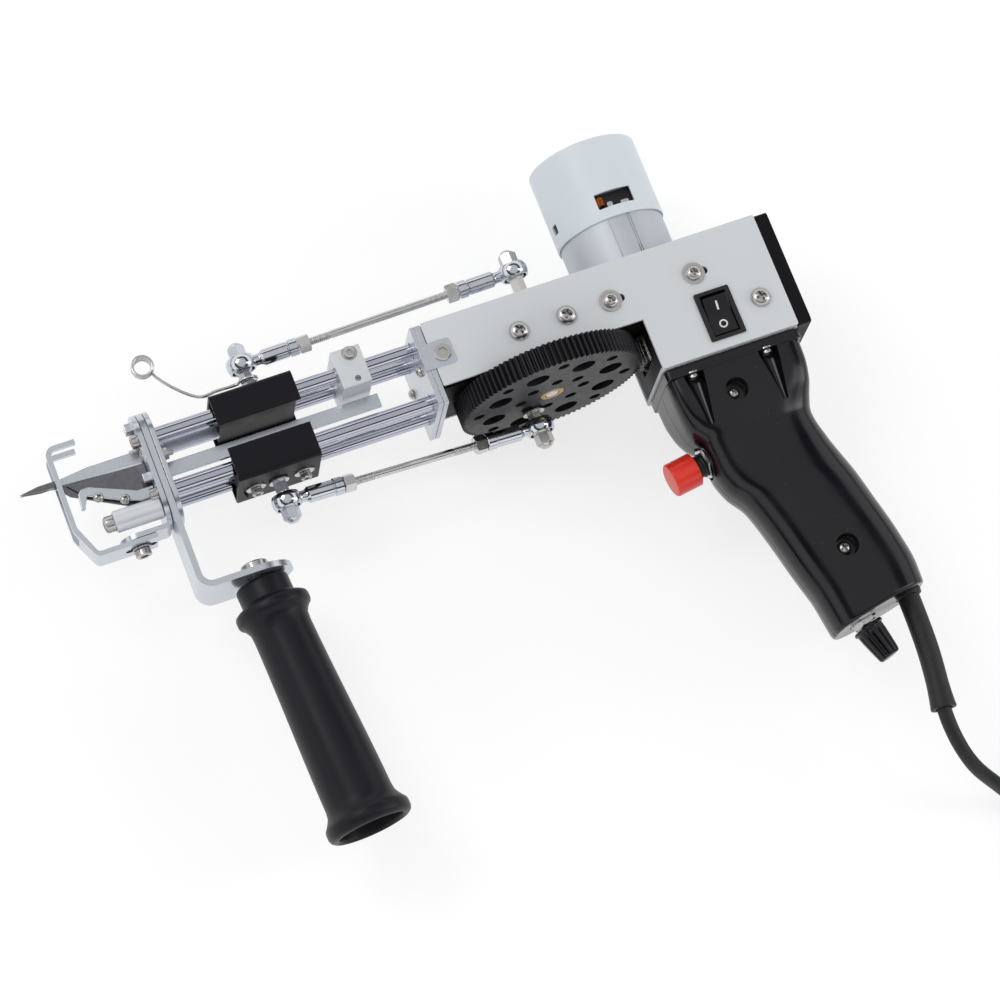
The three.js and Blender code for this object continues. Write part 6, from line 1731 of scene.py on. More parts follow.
def crank_bolt(label, pin, crank_face, up, body):
    """The bolt at a crank: washer, hexagon, ball and crowned nut, on the crank's face."""
    rise = abs((pin.y - ORIGIN.y) / MM - crank_face)
    foot = Vector((pin.x, ORIGIN.y + crank_face * MM, pin.z)) + up * FIT * MM
    boss_foot = foot + up * (WASHER_HEIGHT - 0.1) * MM
    boss_height = rise - FIT - BALL_HALF + NUT_BITE - WASHER_HEIGHT + 0.1
    nut_foot = pin + up * (BALL_HALF - NUT_BITE) * MM
    pieces = [
        made_washer("washer", foot, up, BOLT_RADIUS, BOSS_WASHER, WASHER_HEIGHT),
        polished(hex_nut("boss", boss_foot, up, BOSS_FLATS, boss_height, 8)),
        ball("ball", pin),
        crown_nut("nut", nut_foot, up, 22),
    ]
    placed(grouped(label + "_crank_bolt_finished", *pieces), "stainless", label + "_crank_bolt", body=body)


def tie_rod(label, front, pin, crank_face):
    """A rod from a carriage's stud to its crank: two rod ends, a bar with threads, and two lock nuts."""
    body = label + "_rod"
    along = pin - front
    reach = along.length / MM
    along.normalize()
    for side, centre, toward in (("front", front, along), ("rear", pin, -along)):
        node = f"{label}_{side}_rod_end"
        placed(rod_end(node + "_finished", centre, toward), "bright zinc", node, body=body)
    start = SHANK_LENGTH + FIT
    end = reach - SHANK_LENGTH - FIT
    thin = TIE_RADIUS - 0.2
    rod = turned("rod", front, along, [
        (start, 0), (start, thin), (start + THREAD_RUN, thin), (start + THREAD_RUN + 0.3, TIE_RADIUS),
        (end - THREAD_RUN - 0.3, TIE_RADIUS), (end - THREAD_RUN, thin), (end, thin), (end, 0)], 48)
    nuts = [polished(hex_nut("nut", front + along * place * MM, along, LOCK_FLATS, LOCK_NUT, twist))
            for place, twist in ((start, 12), (end - LOCK_NUT, 40))]
    placed(grouped(label + "_rod_finished", polished(rod), *nuts), "bright", label + "_tie_rod", body=body)
    run = THREAD_RUN - LOCK_NUT - 0.4
    for name, place in (("front", start + LOCK_NUT + 0.2), ("rear", end - THREAD_RUN + 0.2)):
        foot = front + along * place * MM
        threaded(f"{label}_{name}_thread", foot, along, run, TIE_RADIUS - 0.12, "bright", body)
    up = Y if (front.y - ORIGIN.y) / MM > crank_face else -Y
    crank_bolt(label, pin, crank_face, up, body)


def build_tie_rods():
    gear_face = span("main_gear")[0].y
    crank_top = span("upper_crankshaft")[1].y
    axle = middle("main_gear")[0]

    def pin(throw, phase, height):
        angle = math.radians(CRANK_ANGLE + phase)
        return at(axle + throw * math.cos(angle), height, throw * math.sin(angle))

    tie_rod("lower", at(LOWER_STUD_X, LOWER_ROD_Y, 0), pin(LOWER_CRANK, 0, LOWER_ROD_Y), gear_face)
    tie_rod("upper", at(UPPER_STUD_X, UPPER_ROD_Y, 0), pin(UPPER_CRANK, 180, UPPER_ROD_Y), crank_top)


# The depth stop and the yarn guide

# Ahead of the block's middle and up: the small pinch hole, and the screw in its sunk seat
PINCH_HOLE = (0.9, 16.5, 1.25)
STOP_SCREW_AT = (1.2, 27.4)
STOP_SEAT = 3.1
STOP_SCREW = 4.2
GUIDE_Y = 34.4
GUIDE_BEND = (-174.7, 34.4)
GUIDE_EYE = (-191.8, 52.4)
EYE_LOOP = 4
EYE_TURNS = 2.5
POINTS_A_TURN = 10
WIRE_RADIUS = 0.7


def build_stop():
    x = middle("depth_stop")[0]
    top = span("depth_stop")[1].z
    shift, height, radius = PINCH_HOLE
    seat = at(x + STOP_SCREW_AT[0], STOP_SCREW_AT[1], top - 0.9)
    clamp = copied("depth_stop", 0)
    hole = drum("cutter", at(x + shift, height, top - 4), Z, 0, 6, radius, 32)
    sink = drum("cutter", seat, Z, 0, 4, STOP_SEAT)
    placed(softened(carved(clamp, hole, sink), 0.3, 3), "aluminium", "depth_stop", body="depth_stop_block")
    screws("stop_screw", "rimmed", STOP_SCREW * MM, [(seat, Z, 0)], "depth_stop_block")


def build_yarn_guide():
    """A wire hooked round the upper stud, run forward and wound into an eye for the yarn."""
    loop = STUD_FLATS / math.sqrt(3) + FIT + WIRE_RADIUS
    points = []
    for i in range(9):
        angle = math.radians(-60 + i / 8 * 240)
        points.append(at(UPPER_STUD_X + loop * math.cos(angle), GUIDE_Y, loop * math.sin(angle)))
    points.append(at(GUIDE_BEND[0] + 2 * loop, GUIDE_BEND[1], 0))
    points.append(at(*GUIDE_BEND, 0))
    count = round(EYE_TURNS * POINTS_A_TURN)
    for i in range(count + 1):
        angle = math.radians(-40) + i / POINTS_A_TURN * 2 * math.pi
        x = GUIDE_EYE[0] + EYE_LOOP * math.cos(angle)
        y = GUIDE_EYE[1] + EYE_LOOP * math.sin(angle)
        points.append(at(x, y, i / count * EYE_TURNS * 2))
    wire = polished(swept("guide_wire", smooth_path(points, 6), WIRE_RADIUS, 16))
    placed(wire, "bright", "yarn_guide", body="upper_carriage")


# The needle and the blades

NEEDLE_SCREW = 3.4
NEEDLE_SCREWS = ((-196.5, 0), (-203.2, 30))
HOLDER_SCREW = 4.2
HOLDER_SCREWS = ((-226.3, 5.9, 20), (-216.7, 1.9, 45))


def build_needle():
    finished("needle_bar", "zinc", 0.35)
    finished("needle_cheek", "zinc", 0.25)
    finished("needle", "blade", 0.18)
    y, face = middle("needle_bar")[1], span("needle_bar")[1].z
    places = [(at(x, y, face), Z, twist) for x, twist in NEEDLE_SCREWS]
    screws("needle_screws", "cap", NEEDLE_SCREW * MM, places, "upper_carriage")


def build_blades():
    finished("scissor_bar", "zinc", 0.25)
    finished("moving_blade", "blade", 0.2)
    finished("fixed_blade", "blade", 0.2)
    finished("blade_holder", "zinc", 0.45, 32, 3)
    face = span("blade_holder")[1].z
    places = [(at(x, y, face), Z, twist) for x, y, twist in HOLDER_SCREWS]
    screws("holder_screws", "low pan", HOLDER_SCREW * MM, places)


# The front end: presser bracket, foot and post

PRESSER_SHELF_FRONT = -224
PRESSER_SHELF_Y = -14.8
FOOT_HALF = 7.2
FOOT_SHEET = 2
FOOT_LEG = 2.4
FOOT_BEND = 4
FOOT_TOE = -233.4
FOOT_SHIN = (-240.2, -3.4)
FOOT_TOP = 31.7
FOOT_FINGER = -227.6
FOOT_BACK = -209.5
FOOT_BOLT = 6.6
FOOT_BOLT_X = -216.6
FOOT_BOLT_SHANK = 1.6
FOOT_SLOT = 9
FOOT_SLOT_RADIUS = 1.9
FOOT_WASHER = 4.2
RAIL_END_SCREW = 5.7
# Height, depth and twist of the screws in the rails' ends
RAIL_END_SCREWS = (
    (UPPER_RAIL_Y, RAIL_SPREAD, 0), (UPPER_RAIL_Y, -RAIL_SPREAD, 20),
    (LOWER_RAIL_Y, RAIL_SPREAD, 10), (LOWER_RAIL_Y, -RAIL_SPREAD, 40),
)
# Two small clamp blocks in front of the plates, by the blades and at the top: heights, then depths
CLAMPS = ((5.0, 8.8, 6.4, 9.4), (27.2, 31.0, 2.0, 7.0))
CLAMP_REACH = 3.2
POST_RADIUS = 4.4
POST_BORE = 3.2
POST_SCREW_RADIUS = 3.4
POST_SCREW_HEAD = 4.2
POST_SOCKET = 1.9
# Height and depth of the centre bar's pin, its radius and length, and its nut's width and height
BAR_PIN = (14, 7.4)
BAR_PIN_RADIUS = 1.2
BAR_PIN_LENGTH = 4.5
BAR_NUT = (4.4, 2.4)


def build_presser_bracket():
    """A window plate with its lower end bent forward as a shelf, and the bolt screwed up into it."""
    back = span("presser_bracket")[1].x
    front = back - FRONT_PLATE
    shelf_y = PRESSER_SHELF_Y
    shelf_top = shelf_y + FRONT_PLATE
    nose_x = PRESSER_SHELF_FRONT + FOOT_HALF
    bend = (front - 1, shelf_top + 1)
    shelf = [
        (front, STRAP_TOP), *arc(*bend, 1, 0, -90, 8), (nose_x, shelf_top), (nose_x, shelf_y),
        *arc(*bend, 1 + FRONT_PLATE, -90, 0, 12), (back, STRAP_TOP),
    ]
    nose = at(nose_x, shelf_y, 0)
    bracket = bent_plate("presser_bracket_finished", front, back, shelf, FOOT_HALF, FRONT_PLATE, nose, 72)
    placed(softened(bracket, 0.5, 3), "zinc", "presser_bracket")
    under = shelf_y - FOOT_SHEET - 2 * FIT
    bolt = moved(cap_head(FOOT_BOLT * MM, 2.9, FOOT_WASHER), standing(at(FOOT_BOLT_X, under, 0), -Y, 15))
    shank = drum("shank", at(FOOT_BOLT_X, under - 0.5, 0), Y, 0, 4.2, FOOT_BOLT_SHANK, 32)
    placed(grouped("foot_bolt", bolt, polished(shank)), "stainless")


def build_foot():
    """The presser foot: a slotted leg under the shelf, a shin bent up from it, and two fingers on top."""
    t = FOOT_SHEET
    foot_top = PRESSER_SHELF_Y - FIT
    foot_low = foot_top - t
    shin_x, shin_y = FOOT_SHIN
    bend = (shin_x + FOOT_BEND, FOOT_TOP - FOOT_BEND)
    toe = rounded([
        (FOOT_BACK, foot_top), (FOOT_BACK, foot_low), (FOOT_TOE - t / 2, foot_low), (shin_x, shin_y - t / 2),
        (shin_x, shin_y + 6), (shin_x + t, shin_y + 6), (shin_x + t, shin_y), (FOOT_TOE, foot_top),
    ], [0.3, 0.3, 3.4, 3.4, 0, 0, 1.8, 1.8], 8)
    low_leg = plate("presser_foot_finished", "z", toe, -FOOT_HALF, FOOT_HALF)
    finger = plate("fingers", "z", [
        (shin_x, shin_y + 4), (shin_x + t, shin_y + 4), *arc(*bend, FOOT_BEND - t, 180, 90, 10),
        (FOOT_FINGER, FOOT_TOP - t), (FOOT_FINGER, FOOT_TOP), *arc(*bend, FOOT_BEND, 90, 180, 14)],
        -FOOT_HALF, FOOT_HALF)
    gate = FOOT_HALF - FOOT_LEG
    opening = plate("cutter", "x", rounded_box(shin_y - 2 * t, FOOT_TOP + 4, -gate, gate, 1.6, 8),
                    shin_x - 1, FOOT_FINGER + 1)
    way = long_hole(FOOT_BOLT_X - FOOT_SLOT / 2, FOOT_BOLT_X + FOOT_SLOT / 2, 0, FOOT_SLOT_RADIUS)
    groove = plate("cutter", "y", way, foot_low - 1, foot_top + 1)
    foot = carved(fused(low_leg, finger), opening, groove)
    placed(softened(foot, 0.6, 3), "zinc", "presser_foot", body="presser")


def build_front_screws():
    """What is fastened to the front plates: screws, two clamp blocks, the guide post and a pin."""
    front = span("presser_bracket")[1].x - FRONT_PLATE
    places = [(at(front, y, z), -X, twist) for y, z, twist in RAIL_END_SCREWS]
    screws("rail_end_screws", "tall cap", RAIL_END_SCREW * MM, places)
    blocks = [plate("clamp", "x", rounded_box(*sides, 0.5, 4), front - CLAMP_REACH, front + 0.2)
              for sides in CLAMPS]
    placed(grouped("front_clamps", *[softened(block, 0.25) for block in blocks]), "zinc")
    build_guide_post()
    # The pin that steadies the centre bar behind the front plate, with its nut
    back = at(span("front_rail_plate")[1].x, *BAR_PIN)
    pin = turned("bar_pin", back, X, [
        (-0.1, 0), (-0.1, BAR_PIN_RADIUS), (BAR_PIN_LENGTH - 0.3, BAR_PIN_RADIUS),
        (BAR_PIN_LENGTH, BAR_PIN_RADIUS - 0.3), (BAR_PIN_LENGTH, 0)], 32)
    nut = polished(hex_nut("bar_pin_nut", back, X, *BAR_NUT, 12))
    placed(grouped("bar_pin", polished(pin), nut), "stainless")


def build_guide_post():
    """The post beside the presser bracket, and the socket screw in its front end."""
    low, high = span("guide_post")
    _, y, z = middle("guide_post")
    neck = high.x - low.x - POST_SCREW_HEAD
    post = turned("guide_post_finished", at(high.x, y, z), -X, [
        (0, 0), (0, POST_RADIUS - 0.3), (0.3, POST_RADIUS), (neck - 0.5, POST_RADIUS),
        (neck, POST_RADIUS - 0.5), (neck, POST_BORE), (neck - 1, POST_BORE), (neck - 1, 0)], 72)
    placed(softened(post, 0.1, 1, 50), "aluminium", "guide_post")
    head, radius, stem = POST_SCREW_HEAD, POST_SCREW_RADIUS, POST_BORE - 0.4
    screw = turned("post_screw", at(high.x - neck, y, z), -X, [
        (-1.2, 0), (-1.2, stem), (0.1, stem), (0.1, radius), (head - 1.1, radius), (head - 0.3, radius - 0.5),
        (head, radius - 1.2), (head, 0)], 56)
    key = hexagon_cutter(at(low.x - 1, y, z), at(low.x + 2, y, z), X, POST_SOCKET, POST_SOCKET)
    placed(softened(carved(screw, key), 0.12, 1, 50), "stainless")


# The side handle, whose radii are given down its length

HANDLE_TILT = math.radians(3.7)
HANDLE_LENGTH = 107
HANDLE_COLLAR = 10.9
HANDLE_RING = 15.4
HANDLE_NECK = 12
HANDLE_SWELL = 13.9
HANDLE_FLANGE = 17.4
HANDLE_SCREW_HOLE = 4.9
HANDLE_HOLLOW = 9.5
# Where the swelling starts and how long it is, as shares of the length
SWELL_FROM = 0.2
SWELL_LENGTH = 0.68


def build_handle():
    """The turned side handle, which hangs a little tilted from the bracket's flange."""
    collar, ring, neck, swell, flange = HANDLE_COLLAR, HANDLE_RING, HANDLE_NECK, HANDLE_SWELL, HANDLE_FLANGE
    axis = (Matrix.Rotation(HANDLE_TILT, 3, "Z") @ -Y).normalized()
    start = collar * math.tan(HANDLE_TILT)
    foot = at(HANDLE_X, FLANGE_Y - FIT, 0) + axis * start * MM
    # Share of the length and radius: collar, thumb ring, neck, swelling, then the end flange and its hollow
    stations = [
        (0.0, collar - 0.9), (0.006, collar - 0.25), (0.016, collar), (0.07, collar), (0.083, collar + 1.2),
        (0.088, ring - 1.6), (0.096, ring - 0.35), (0.106, ring), (0.124, ring), (0.134, ring - 0.35),
        (0.142, ring - 1.4), (0.152, neck + 1.2), (0.17, neck + 0.2), (SWELL_FROM, neck),
    ]
    for i in range(1, 13):
        share = i / 12
        ease = share * share * (3 - 2 * share)
        radius = neck + (swell - neck) * (0.35 * share + 0.65 * ease)
        stations.append((SWELL_FROM + SWELL_LENGTH * share, radius))
    stations += [
        (0.905, swell + 0.35), (0.922, swell + 1.3), (0.936, flange - 1.2), (0.947, flange - 0.3),
        (0.957, flange), (0.978, flange), (0.99, flange - 0.5), (0.998, flange - 1.6), (1.0, flange - 2.6),
        (1.0, 14.6), (0.996, 13.8), (0.985, 13.4), (0.9, 12.6), (0.88, 11.6), (0.6, HANDLE_HOLLOW),
        (0.35, HANDLE_HOLLOW), (0.35, HANDLE_SCREW_HOLE),
    ]
    profile = [(0.0, HANDLE_SCREW_HOLE)] + [(share * HANDLE_LENGTH, radius) for share, radius in stations]
    handle = turned("side_handle_finished", foot, axis, profile, 96, True)
    placed(polished(handle, 46), "satin", "side_handle")


# The pistol grip

# Distance below the tail, front edge, rear edge, half thickness, and how square the section is
GRIP_STATIONS = (
    (0.6, 0.6, 58.6, 20.4, 9),
    (11.9, 0.8, 58.4, 20.2, 8),
    (19.9, 1.6, 57.4, 19.4, 6),
    (26.9, 3.4, 55.4, 18.2, 4),
    (31.9, 6.6, 54.4, 17.4, 3.2),
    (43.9, 7.6, 57, 16.8, 2.8),
    (51.9, 10, 59.6, 16.8, 2.6),
    (59.9, 15, 62.2, 17, 2.5),
    (71.9, 18.6, 65, 17.2, 2.5),
    (89.9, 22.8, 69, 17, 2.5),
    (103.9, 26.4, 70.8, 16.6, 2.5),
    (112.9, 28.8, 70.4, 16.2, 2.6),
)
GRIP_PARTING = 0.15
GRIP_EDGE = 1.2
GRIP_BAND = 4.7
GRIP_ROWS = 64
GRIP_COLUMNS = 40
# Two screw wells: place along the machine, distance below the tail, and the grip's half thickness there
GRIP_SCREWS = ((25.8, 16.3, 19.4), (43.8, 90.3, 16.6))
GRIP_SCREW_HOLE = 4.6
GRIP_SCREW_DEPTH = 3.5
POCKETS_X = (11.4, 43.4)
POCKET_RADIUS = 4.4
POCKET_TIP = 1.2
POCKET_DROP = 3.5
POCKET_LENGTH = 22.5
POCKET_SINK = 0.8
POCKET_SCREW = 4.6
UPPER_WELL_SCREW = 5.0
LOWER_WELL_SCREW = 6.2


def eased(stations, drop):
    """Values at a distance down the grip, on a curve that never overshoots its stations."""
    count = len(stations)
    gaps = [b[0] - a[0] for a, b in zip(stations, stations[1:])]
    k = next((i for i in range(count - 1) if drop <= stations[i + 1][0]), count - 2)
    t = (drop - stations[k][0]) / gaps[k]
    values = []
    for column in range(1, len(stations[0])):
        slopes = [(b[column] - a[column]) / gap for a, b, gap in zip(stations, stations[1:], gaps)]

        def tangent(i):
            if i in (0, count - 1):
                return slopes[0] if i == 0 else slopes[-1]
            before, after = slopes[i - 1], slopes[i]
            return 0 if before * after <= 0 else 2 * before * after / (before + after)

        a, b = stations[k][column], stations[k + 1][column]
        ta, tb = tangent(k) * gaps[k], tangent(k + 1) * gaps[k]
        values.append(
            a * (2 * t ** 3 - 3 * t ** 2 + 1) + ta * (t ** 3 - 2 * t ** 2 + t)
            + b * (3 * t ** 2 - 2 * t ** 3) + tb * (t ** 3 - t ** 2))
    return values


def grip_half(name, side):
    """One half of the grip: rows of points down its length, rounded in at the tail and at the heel."""
    first, last = GRIP_STATIONS[0][0], GRIP_STATIONS[-1][0]
    heel_from = GRIP_STATIONS[-2][0]
    top_edge = GRIP_EDGE * 0.5
    straight = last - GRIP_EDGE - first - top_edge
    rounds = [math.radians(a) for a in (0, 22, 45, 68, 90)]
    drops = [(first + top_edge * (1 - math.cos(a)), top_edge * (1 - math.sin(a))) for a in rounds]
    drops += [(first + top_edge + straight * i / GRIP_ROWS, 0) for i in range(1, GRIP_ROWS + 1)]
    drops += [(last - GRIP_EDGE * (1 - math.sin(a)), GRIP_EDGE * (1 - math.cos(a))) for a in rounds[1:]]
    vertices = []
    for drop, inset in drops:
        front, back, half, square = eased(GRIP_STATIONS, drop)
        centre, reach = (front + back) / 2, (back - front) / 2 - inset
        heel = max(0, (drop - heel_from) / (last - heel_from))
        for i in range(GRIP_COLUMNS + 1):
            angle = math.pi * i / GRIP_COLUMNS
            along = math.copysign(abs(math.cos(angle)) ** (2 / square), math.cos(angle))
            across = abs(math.sin(angle)) ** (2 / square)
            z = side * (GRIP_PARTING + (half - GRIP_PARTING - inset) * across)
            fall = GRIP_HEEL * (along - 1) / 2 * heel
            vertices.append(at(centre + reach * along, -BOX_DROP - drop + fall, z))
    width = GRIP_COLUMNS + 1
    last_row = (len(drops) - 1) * width
    faces = []
    for row in range(0, last_row, width):
        for i in range(width):
            n = (i + 1) % width
            faces.append([row + i, row + n, row + width + n, row + width + i])
    faces.append(list(range(width))[::-1])
    faces.append([last_row + i for i in range(width)])
    return solid(name, vertices, faces)


def tilted_frame(x, y, degrees):
    return Matrix.Translation(at(x, y, 0)) @ Matrix.Rotation(math.radians(degrees), 4, "Z")


# Place along the machine, height and tilt in degrees of the trigger, whose own -X points out of the grip
TRIGGER_AT = (8, -58.4, 8)
TRIGGER_SEAT = 7.23
TRIGGER_BORE = 4.7
TRIGGER_RADIUS = 7
TRIGGER_OUT = 17
TRIGGER_SHELL = 11
TRIGGER_WALL = 1.4
TRIGGER_PLUNGER = 1.7
SWITCH_RADIUS = 4.4
SWITCH_NUT = (12, 1.8)
BOOT_START = 2.1
BOOT_LENGTH = 7
BOOT_RIBS = 3
# Place along the machine and tilt in degrees of the knob, whose own -Y points out of the grip's heel
KNOB_X = 41.8
KNOB_TILT = 16
KNOB_SEAT = 1.4
KNOB_SEAT_RADIUS = 6.07
KNOB_BORE = 4.1
KNOB_NUT = 3.4
KNOB_COLLAR = 0.9
KNOB_LENGTH = 15
CONTROL_RADIUS = 3.8
FLUTE_DEPTH = 0.15
GLAND_RADIUS = 4.8


def knob_frame():
    return tilted_frame(KNOB_X, heel_at(KNOB_X) + KNOB_SEAT, KNOB_TILT)


def grip_cutters():
    """What both halves of the grip leave free: the seats of the trigger, the knob and the cord's sleeve."""
    trigger, knob = tilted_frame(*TRIGGER_AT), knob_frame()
    return [
        moved(drum("cutter", Vector(), -X, 0, 17, TRIGGER_SEAT, 64), trigger),
        moved(drum("cutter", Vector(), X, -1, 14.3, TRIGGER_BORE), trigger),
        moved(drum("cutter", Vector(), -Y, 0, 15, KNOB_SEAT_RADIUS, 64), knob),
        moved(drum("cutter", Vector(), Y, -1, 12.3, KNOB_BORE), knob),
        drum("cutter", at(SLEEVE_X, heel_at(SLEEVE_X), 0), Y, -3, GLAND_DEPTH, GLAND_RADIUS),
    ]


def half_at(drop):
    """The grip's half thickness at the first station from that distance down."""
    return next(station[3] for station in GRIP_STATIONS if station[0] >= drop)


def pocket_cutter(x):
    """A pocket that tapers down the grip's near side, like half a long drop."""
    low = POCKET_DROP + POCKET_LENGTH
    start = at(x, -BOX_DROP - POCKET_DROP, half_at(POCKET_DROP) - POCKET_SINK)
    end = at(x, -BOX_DROP - low, half_at(low) - POCKET_SINK)
    run = (end - start).length / MM
    profile = [(0, 0), (0, POCKET_RADIUS - 0.4), (0.4, POCKET_RADIUS)]
    for i in range(1, 11):
        share = i / 10
        profile.append((share * run, POCKET_TIP + (POCKET_RADIUS - POCKET_TIP) * (1 - share ** 1.35)))
    return turned("cutter", start, end - start, [*profile, (run + 0.8, 0)], 40)


def build_grip():
    """Both halves of the grip with their pockets, wells and screws."""
    near = grip_half("grip_near_half_finished", 1)
    pockets = [pocket_cutter(x) for x in POCKETS_X]
    wells = []
    heads = []
    r = GRIP_SCREW_HOLE
    for x, drop, half in GRIP_SCREWS:
        well_floor = half - GRIP_SCREW_DEPTH - 1
        profile = [(0, 0), (0, r - 0.5), (0.5, r), (12, r), (12, 0)]
        wells.append(turned("cutter", at(x, -BOX_DROP - drop, well_floor), Z, profile, 48))
        heads.append(at(x - 0.9, -BOX_DROP - drop - 0.3, well_floor))
    near = carved(near, *grip_cutters(), *pockets, *wells)
    placed(softened(near, 0.45, 3, 38), "gloss", "grip_near_half")
    far = carved(grip_half("grip_far_half_finished", -1), *grip_cutters())
    placed(softened(far, 0.45, 3, 38), "gloss", "grip_far_half")
    build_grip_band()
    # Two screws down the pockets into the tail, and one at the bottom of each well
    seat = -BOX_DROP - POCKET_DROP - 0.4
    down = [(at(x, seat, half_at(POCKET_DROP) - 2.4), -Y, 10) for x in POCKETS_X]
    for name, kind, diameter, places in (
        ("pocket_screws", "rimmed", POCKET_SCREW, down),
        ("upper_well_screw", "low pan", UPPER_WELL_SCREW, [(heads[0], Z, 35)]),
        ("lower_well_screw", "pan", LOWER_WELL_SCREW, [(heads[1], Z, 20)]),
    ):
        screws(name, kind, diameter * MM, places)


def build_grip_band():
    """The moulded rim right under the plates, a little proud of the grip below it."""
    drop, front, back, half, _ = GRIP_STATIONS[0]
    low, high = -BOX_DROP - GRIP_BAND, -BOX_DROP - drop
    outline = rounded_box(front - 0.1, back + 0.1, -half - 0.25, half + 0.25, 2.2, 8)
    hollow = rounded_box(front + 1.5, back - 1.5, -half + 1.2, half - 1.2, 1.2, 6)
    rim = punched(plate("grip_band", "y", outline, low, high), "y", [hollow], low, high)
    placed(softened(rim, 0.35, 3), "gloss")


def build_trigger():
    """The trigger's switch with its ribbed boot and nut, and the hollow button that slides over them."""
    place = tilted_frame(*TRIGGER_AT)
    boot_end = BOOT_START + BOOT_LENGTH
    rib = BOOT_LENGTH / BOOT_RIBS
    r = SWITCH_RADIUS
    body = drum("switch_body", Vector(), X, -0.4, 14, r, 40)
    ribs = [(0, 0), (0, 2.0), (BOOT_START - 0.4, 2.0), (BOOT_START - 0.4, r)]
    for i in range(BOOT_RIBS):
        for k in range(9):
            angle = math.pi * k / 8
            height = BOOT_START + i * BOOT_LENGTH / BOOT_RIBS + rib / 2 * (1 - math.cos(angle)) * 0.62
            ribs.append((height, r + 0.6 * math.sin(angle)))
    ribs += [(boot_end, 4.1), (boot_end, 2.1), (boot_end - 0.4, 2.0), (boot_end - 0.4, 0)]
    boot = turned("boot", Vector(), -X, ribs, 56)
    switch = moved(grouped("trigger_switch_finished", polished(body), polished(boot, 60)), place)
    placed(switch, "switch", "trigger_switch")
    nut = moved(hex_nut("trigger_nut", -X * FIT * MM, -X, *SWITCH_NUT), place)
    placed(polished(nut), "bright")

    out, radius, edge = TRIGGER_OUT, TRIGGER_RADIUS, 0.9
    inner, mouth = radius - TRIGGER_WALL, out - TRIGGER_SHELL
    face = arc(out - edge, radius - edge, edge, 0, 90, 6)
    cup = turned("trigger_button_finished", Vector(), -X, [
        (out + 0.1, 0), (out + 0.05, 3.5), *face, (mouth + 0.2, radius), (mouth, radius - 0.2),
        (mouth, inner), (out - 2, inner), (out - 2, TRIGGER_PLUNGER), (-4, TRIGGER_PLUNGER), (-4, 0)], 80)
    placed(polished(moved(cup, place)), "red", "trigger_button", body="trigger")


def build_knob():
    """The speed control with its collar and nut, and the fluted knob on its stem."""
    place = knob_frame()
    foot = -Y * FIT * MM
    control = drum("control_body", Vector(), Y, -0.3, 12, CONTROL_RADIUS, 40)
    collar = made_washer("collar", foot, -Y, 2.7, 5.5, KNOB_COLLAR)
    nut = hex_nut("nut", foot - Y * KNOB_COLLAR * MM, -Y, 9.4, KNOB_NUT - KNOB_COLLAR, 10)
    control = moved(grouped("speed_control_finished", polished(control), collar, polished(nut)), place)
    placed(control, "bright", "speed_control")

    flutes = sizes().knob_flutes
    top = FIT + KNOB_NUT + 2 * FIT
    # Height below the nut, radius, and how deep the flutes are there as a share
    stations = [
        (0, 3.4, 0), (0, 6.2, 0), (0.25, 6.55, 0), (1.1, 6.6, 0), (1.4, 6.3, 0), (1.6, 5.85, 0),
        (2.4, 5.8, 0.3), (3.4, 5.75, 0.9), (4.5, 5.7, 1), (8, 5.35, 1), (11.5, 4.98, 1), (13.8, 4.7, 1),
        (14.5, 4.4, 0.7), (14.9, 3.9, 0.3), (KNOB_LENGTH, 3.3, 0), (KNOB_LENGTH, 0, 0),
    ]

    def fluted(angle, k):
        share = stations[k][2]
        return 1 - share * FLUTE_DEPTH * max(0.0, math.cos(angle * flutes)) ** 1.8

    rings = [(-Y * (top + height) * MM, -Y, radius) for height, radius, _ in stations]
    knob = ringed("knob", rings, flutes * 16, True, fluted)
    stem = drum("stem", Vector(), -Y, -6, top + 0.5, 2.4, 32)
    made = moved(grouped("speed_knob_finished", polished(knob, 42), polished(stem)), place)
    placed(made, "gloss", "speed_knob", body="speed_dial")


# The add-on's buttons and panel


class TUFTING_OT_stage(bpy.types.Operator):
    """Adds the camera, the white floor and the soft light"""

    bl_idname = "tufting.stage"
    bl_label = "Stage"
    bl_options = {"REGISTER", "UNDO"}

    def execute(self, context):
        build_camera()
        build_floor()
        build_light()
        return {"FINISHED"}


class TUFTING_OT_cord(bpy.types.Operator):
    """Lays the power cord from its sleeve to its coil and plug"""

    bl_idname = "tufting.cord"
    bl_label = "Cord, sleeve and plug"
    bl_options = {"REGISTER", "UNDO"}

    def execute(self, context):
        build_cord()
        build_sleeve()
        return {"FINISHED"}


class TUFTING_OT_housing(bpy.types.Operator):
    """Finishes the side plates, the sheets between them, their screws and the power switch"""

    bl_idname = "tufting.housing"
    bl_label = "Housing and power switch"
    bl_options = {"REGISTER", "UNDO"}

    def execute(self, context):
        build_housing()
        build_housing_screws()
        build_switch()
        return {"FINISHED"}


class TUFTING_OT_drive(bpy.types.Operator):
    """Finishes the motor, its pinion, the big gear and the crankshaft"""

    bl_idname = "tufting.drive"
    bl_label = "Motor and gears"
    bl_options = {"REGISTER", "UNDO"}

    def execute(self, context):
        build_drive()
        build_motor()
        return {"FINISHED"}


class TUFTING_OT_rails(bpy.types.Operator):
    """Finishes the four rails and the plates and brackets that hold them"""

    bl_idname = "tufting.rails"
    bl_label = "Rails and brackets"
    bl_options = {"REGISTER", "UNDO"}

    def execute(self, context):
        build_rails()
        build_rail_plates()
        build_bracket()
        return {"FINISHED"}


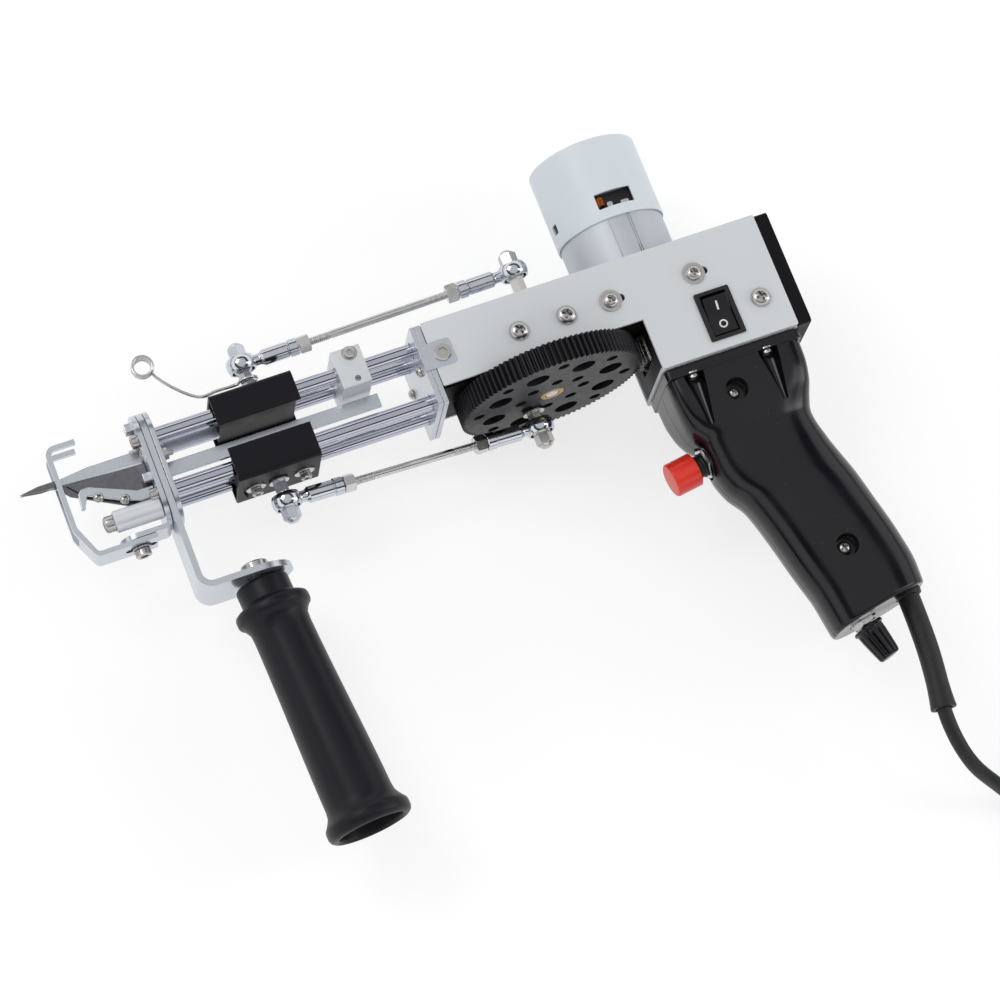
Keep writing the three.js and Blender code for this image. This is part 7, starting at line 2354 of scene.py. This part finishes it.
class TUFTING_OT_linkage(bpy.types.Operator):
    """Finishes the carriages, their studs, the tie rods and the depth stop"""

    bl_idname = "tufting.linkage"
    bl_label = "Carriages and tie rods"
    bl_options = {"REGISTER", "UNDO"}

    def execute(self, context):
        build_carriages()
        build_tie_rods()
        build_stop()
        return {"FINISHED"}


class TUFTING_OT_tools(bpy.types.Operator):
    """Finishes the yarn guide, the needle, the blades and the presser foot"""

    bl_idname = "tufting.tools"
    bl_label = "Needle, blades and foot"
    bl_options = {"REGISTER", "UNDO"}

    def execute(self, context):
        build_yarn_guide()
        build_needle()
        build_blades()
        build_presser_bracket()
        build_foot()
        build_front_screws()
        return {"FINISHED"}


class TUFTING_OT_grips(bpy.types.Operator):
    """Finishes the side handle, the pistol grip, the trigger and the speed knob"""

    bl_idname = "tufting.grips"
    bl_label = "Handle, grip and controls"
    bl_options = {"REGISTER", "UNDO"}

    def execute(self, context):
        build_handle()
        build_grip()
        build_trigger()
        build_knob()
        return {"FINISHED"}


class TUFTING_PT_panel(bpy.types.Panel):
    """Settings and build buttons for the tufting machine"""

    bl_idname = "TUFTING_PT_panel"
    bl_label = "Tufting machine"
    bl_space_type = "VIEW_3D"
    bl_region_type = "UI"
    bl_category = "Tufting"

    def draw(self, context):
        for group in GROUPS:
            box = self.layout.box()
            settings = getattr(context.scene, group)
            for name in settings.__annotations__:
                box.prop(settings, name)
        for operator in OPERATORS:
            self.layout.operator(operator.bl_idname)


GROUPS = {
    "tufting_colours": TuftingColours,
    "tufting_sizes": TuftingSizes,
    "tufting_studio": TuftingStudio,
}
OPERATORS = (
    TUFTING_OT_stage, TUFTING_OT_cord, TUFTING_OT_housing, TUFTING_OT_drive, TUFTING_OT_rails,
    TUFTING_OT_linkage, TUFTING_OT_tools, TUFTING_OT_grips,
)


def register():
    for kind in (*GROUPS.values(), *OPERATORS, TUFTING_PT_panel):
        bpy.utils.register_class(kind)
    for name, kind in GROUPS.items():
        setattr(bpy.types.Scene, name, PointerProperty(type=kind))


def unregister():
    for name in GROUPS:
        delattr(bpy.types.Scene, name)
    for kind in (TUFTING_PT_panel, *reversed(OPERATORS), *GROUPS.values()):
        bpy.utils.unregister_class(kind)


def main():
    register()
    bpy.ops.tufting.stage()
    bpy.ops.tufting.cord()
    bpy.ops.tufting.housing()
    bpy.ops.tufting.drive()
    bpy.ops.tufting.rails()
    bpy.ops.tufting.linkage()
    bpy.ops.tufting.tools()
    bpy.ops.tufting.grips()


if __name__ == "__main__":
    main()
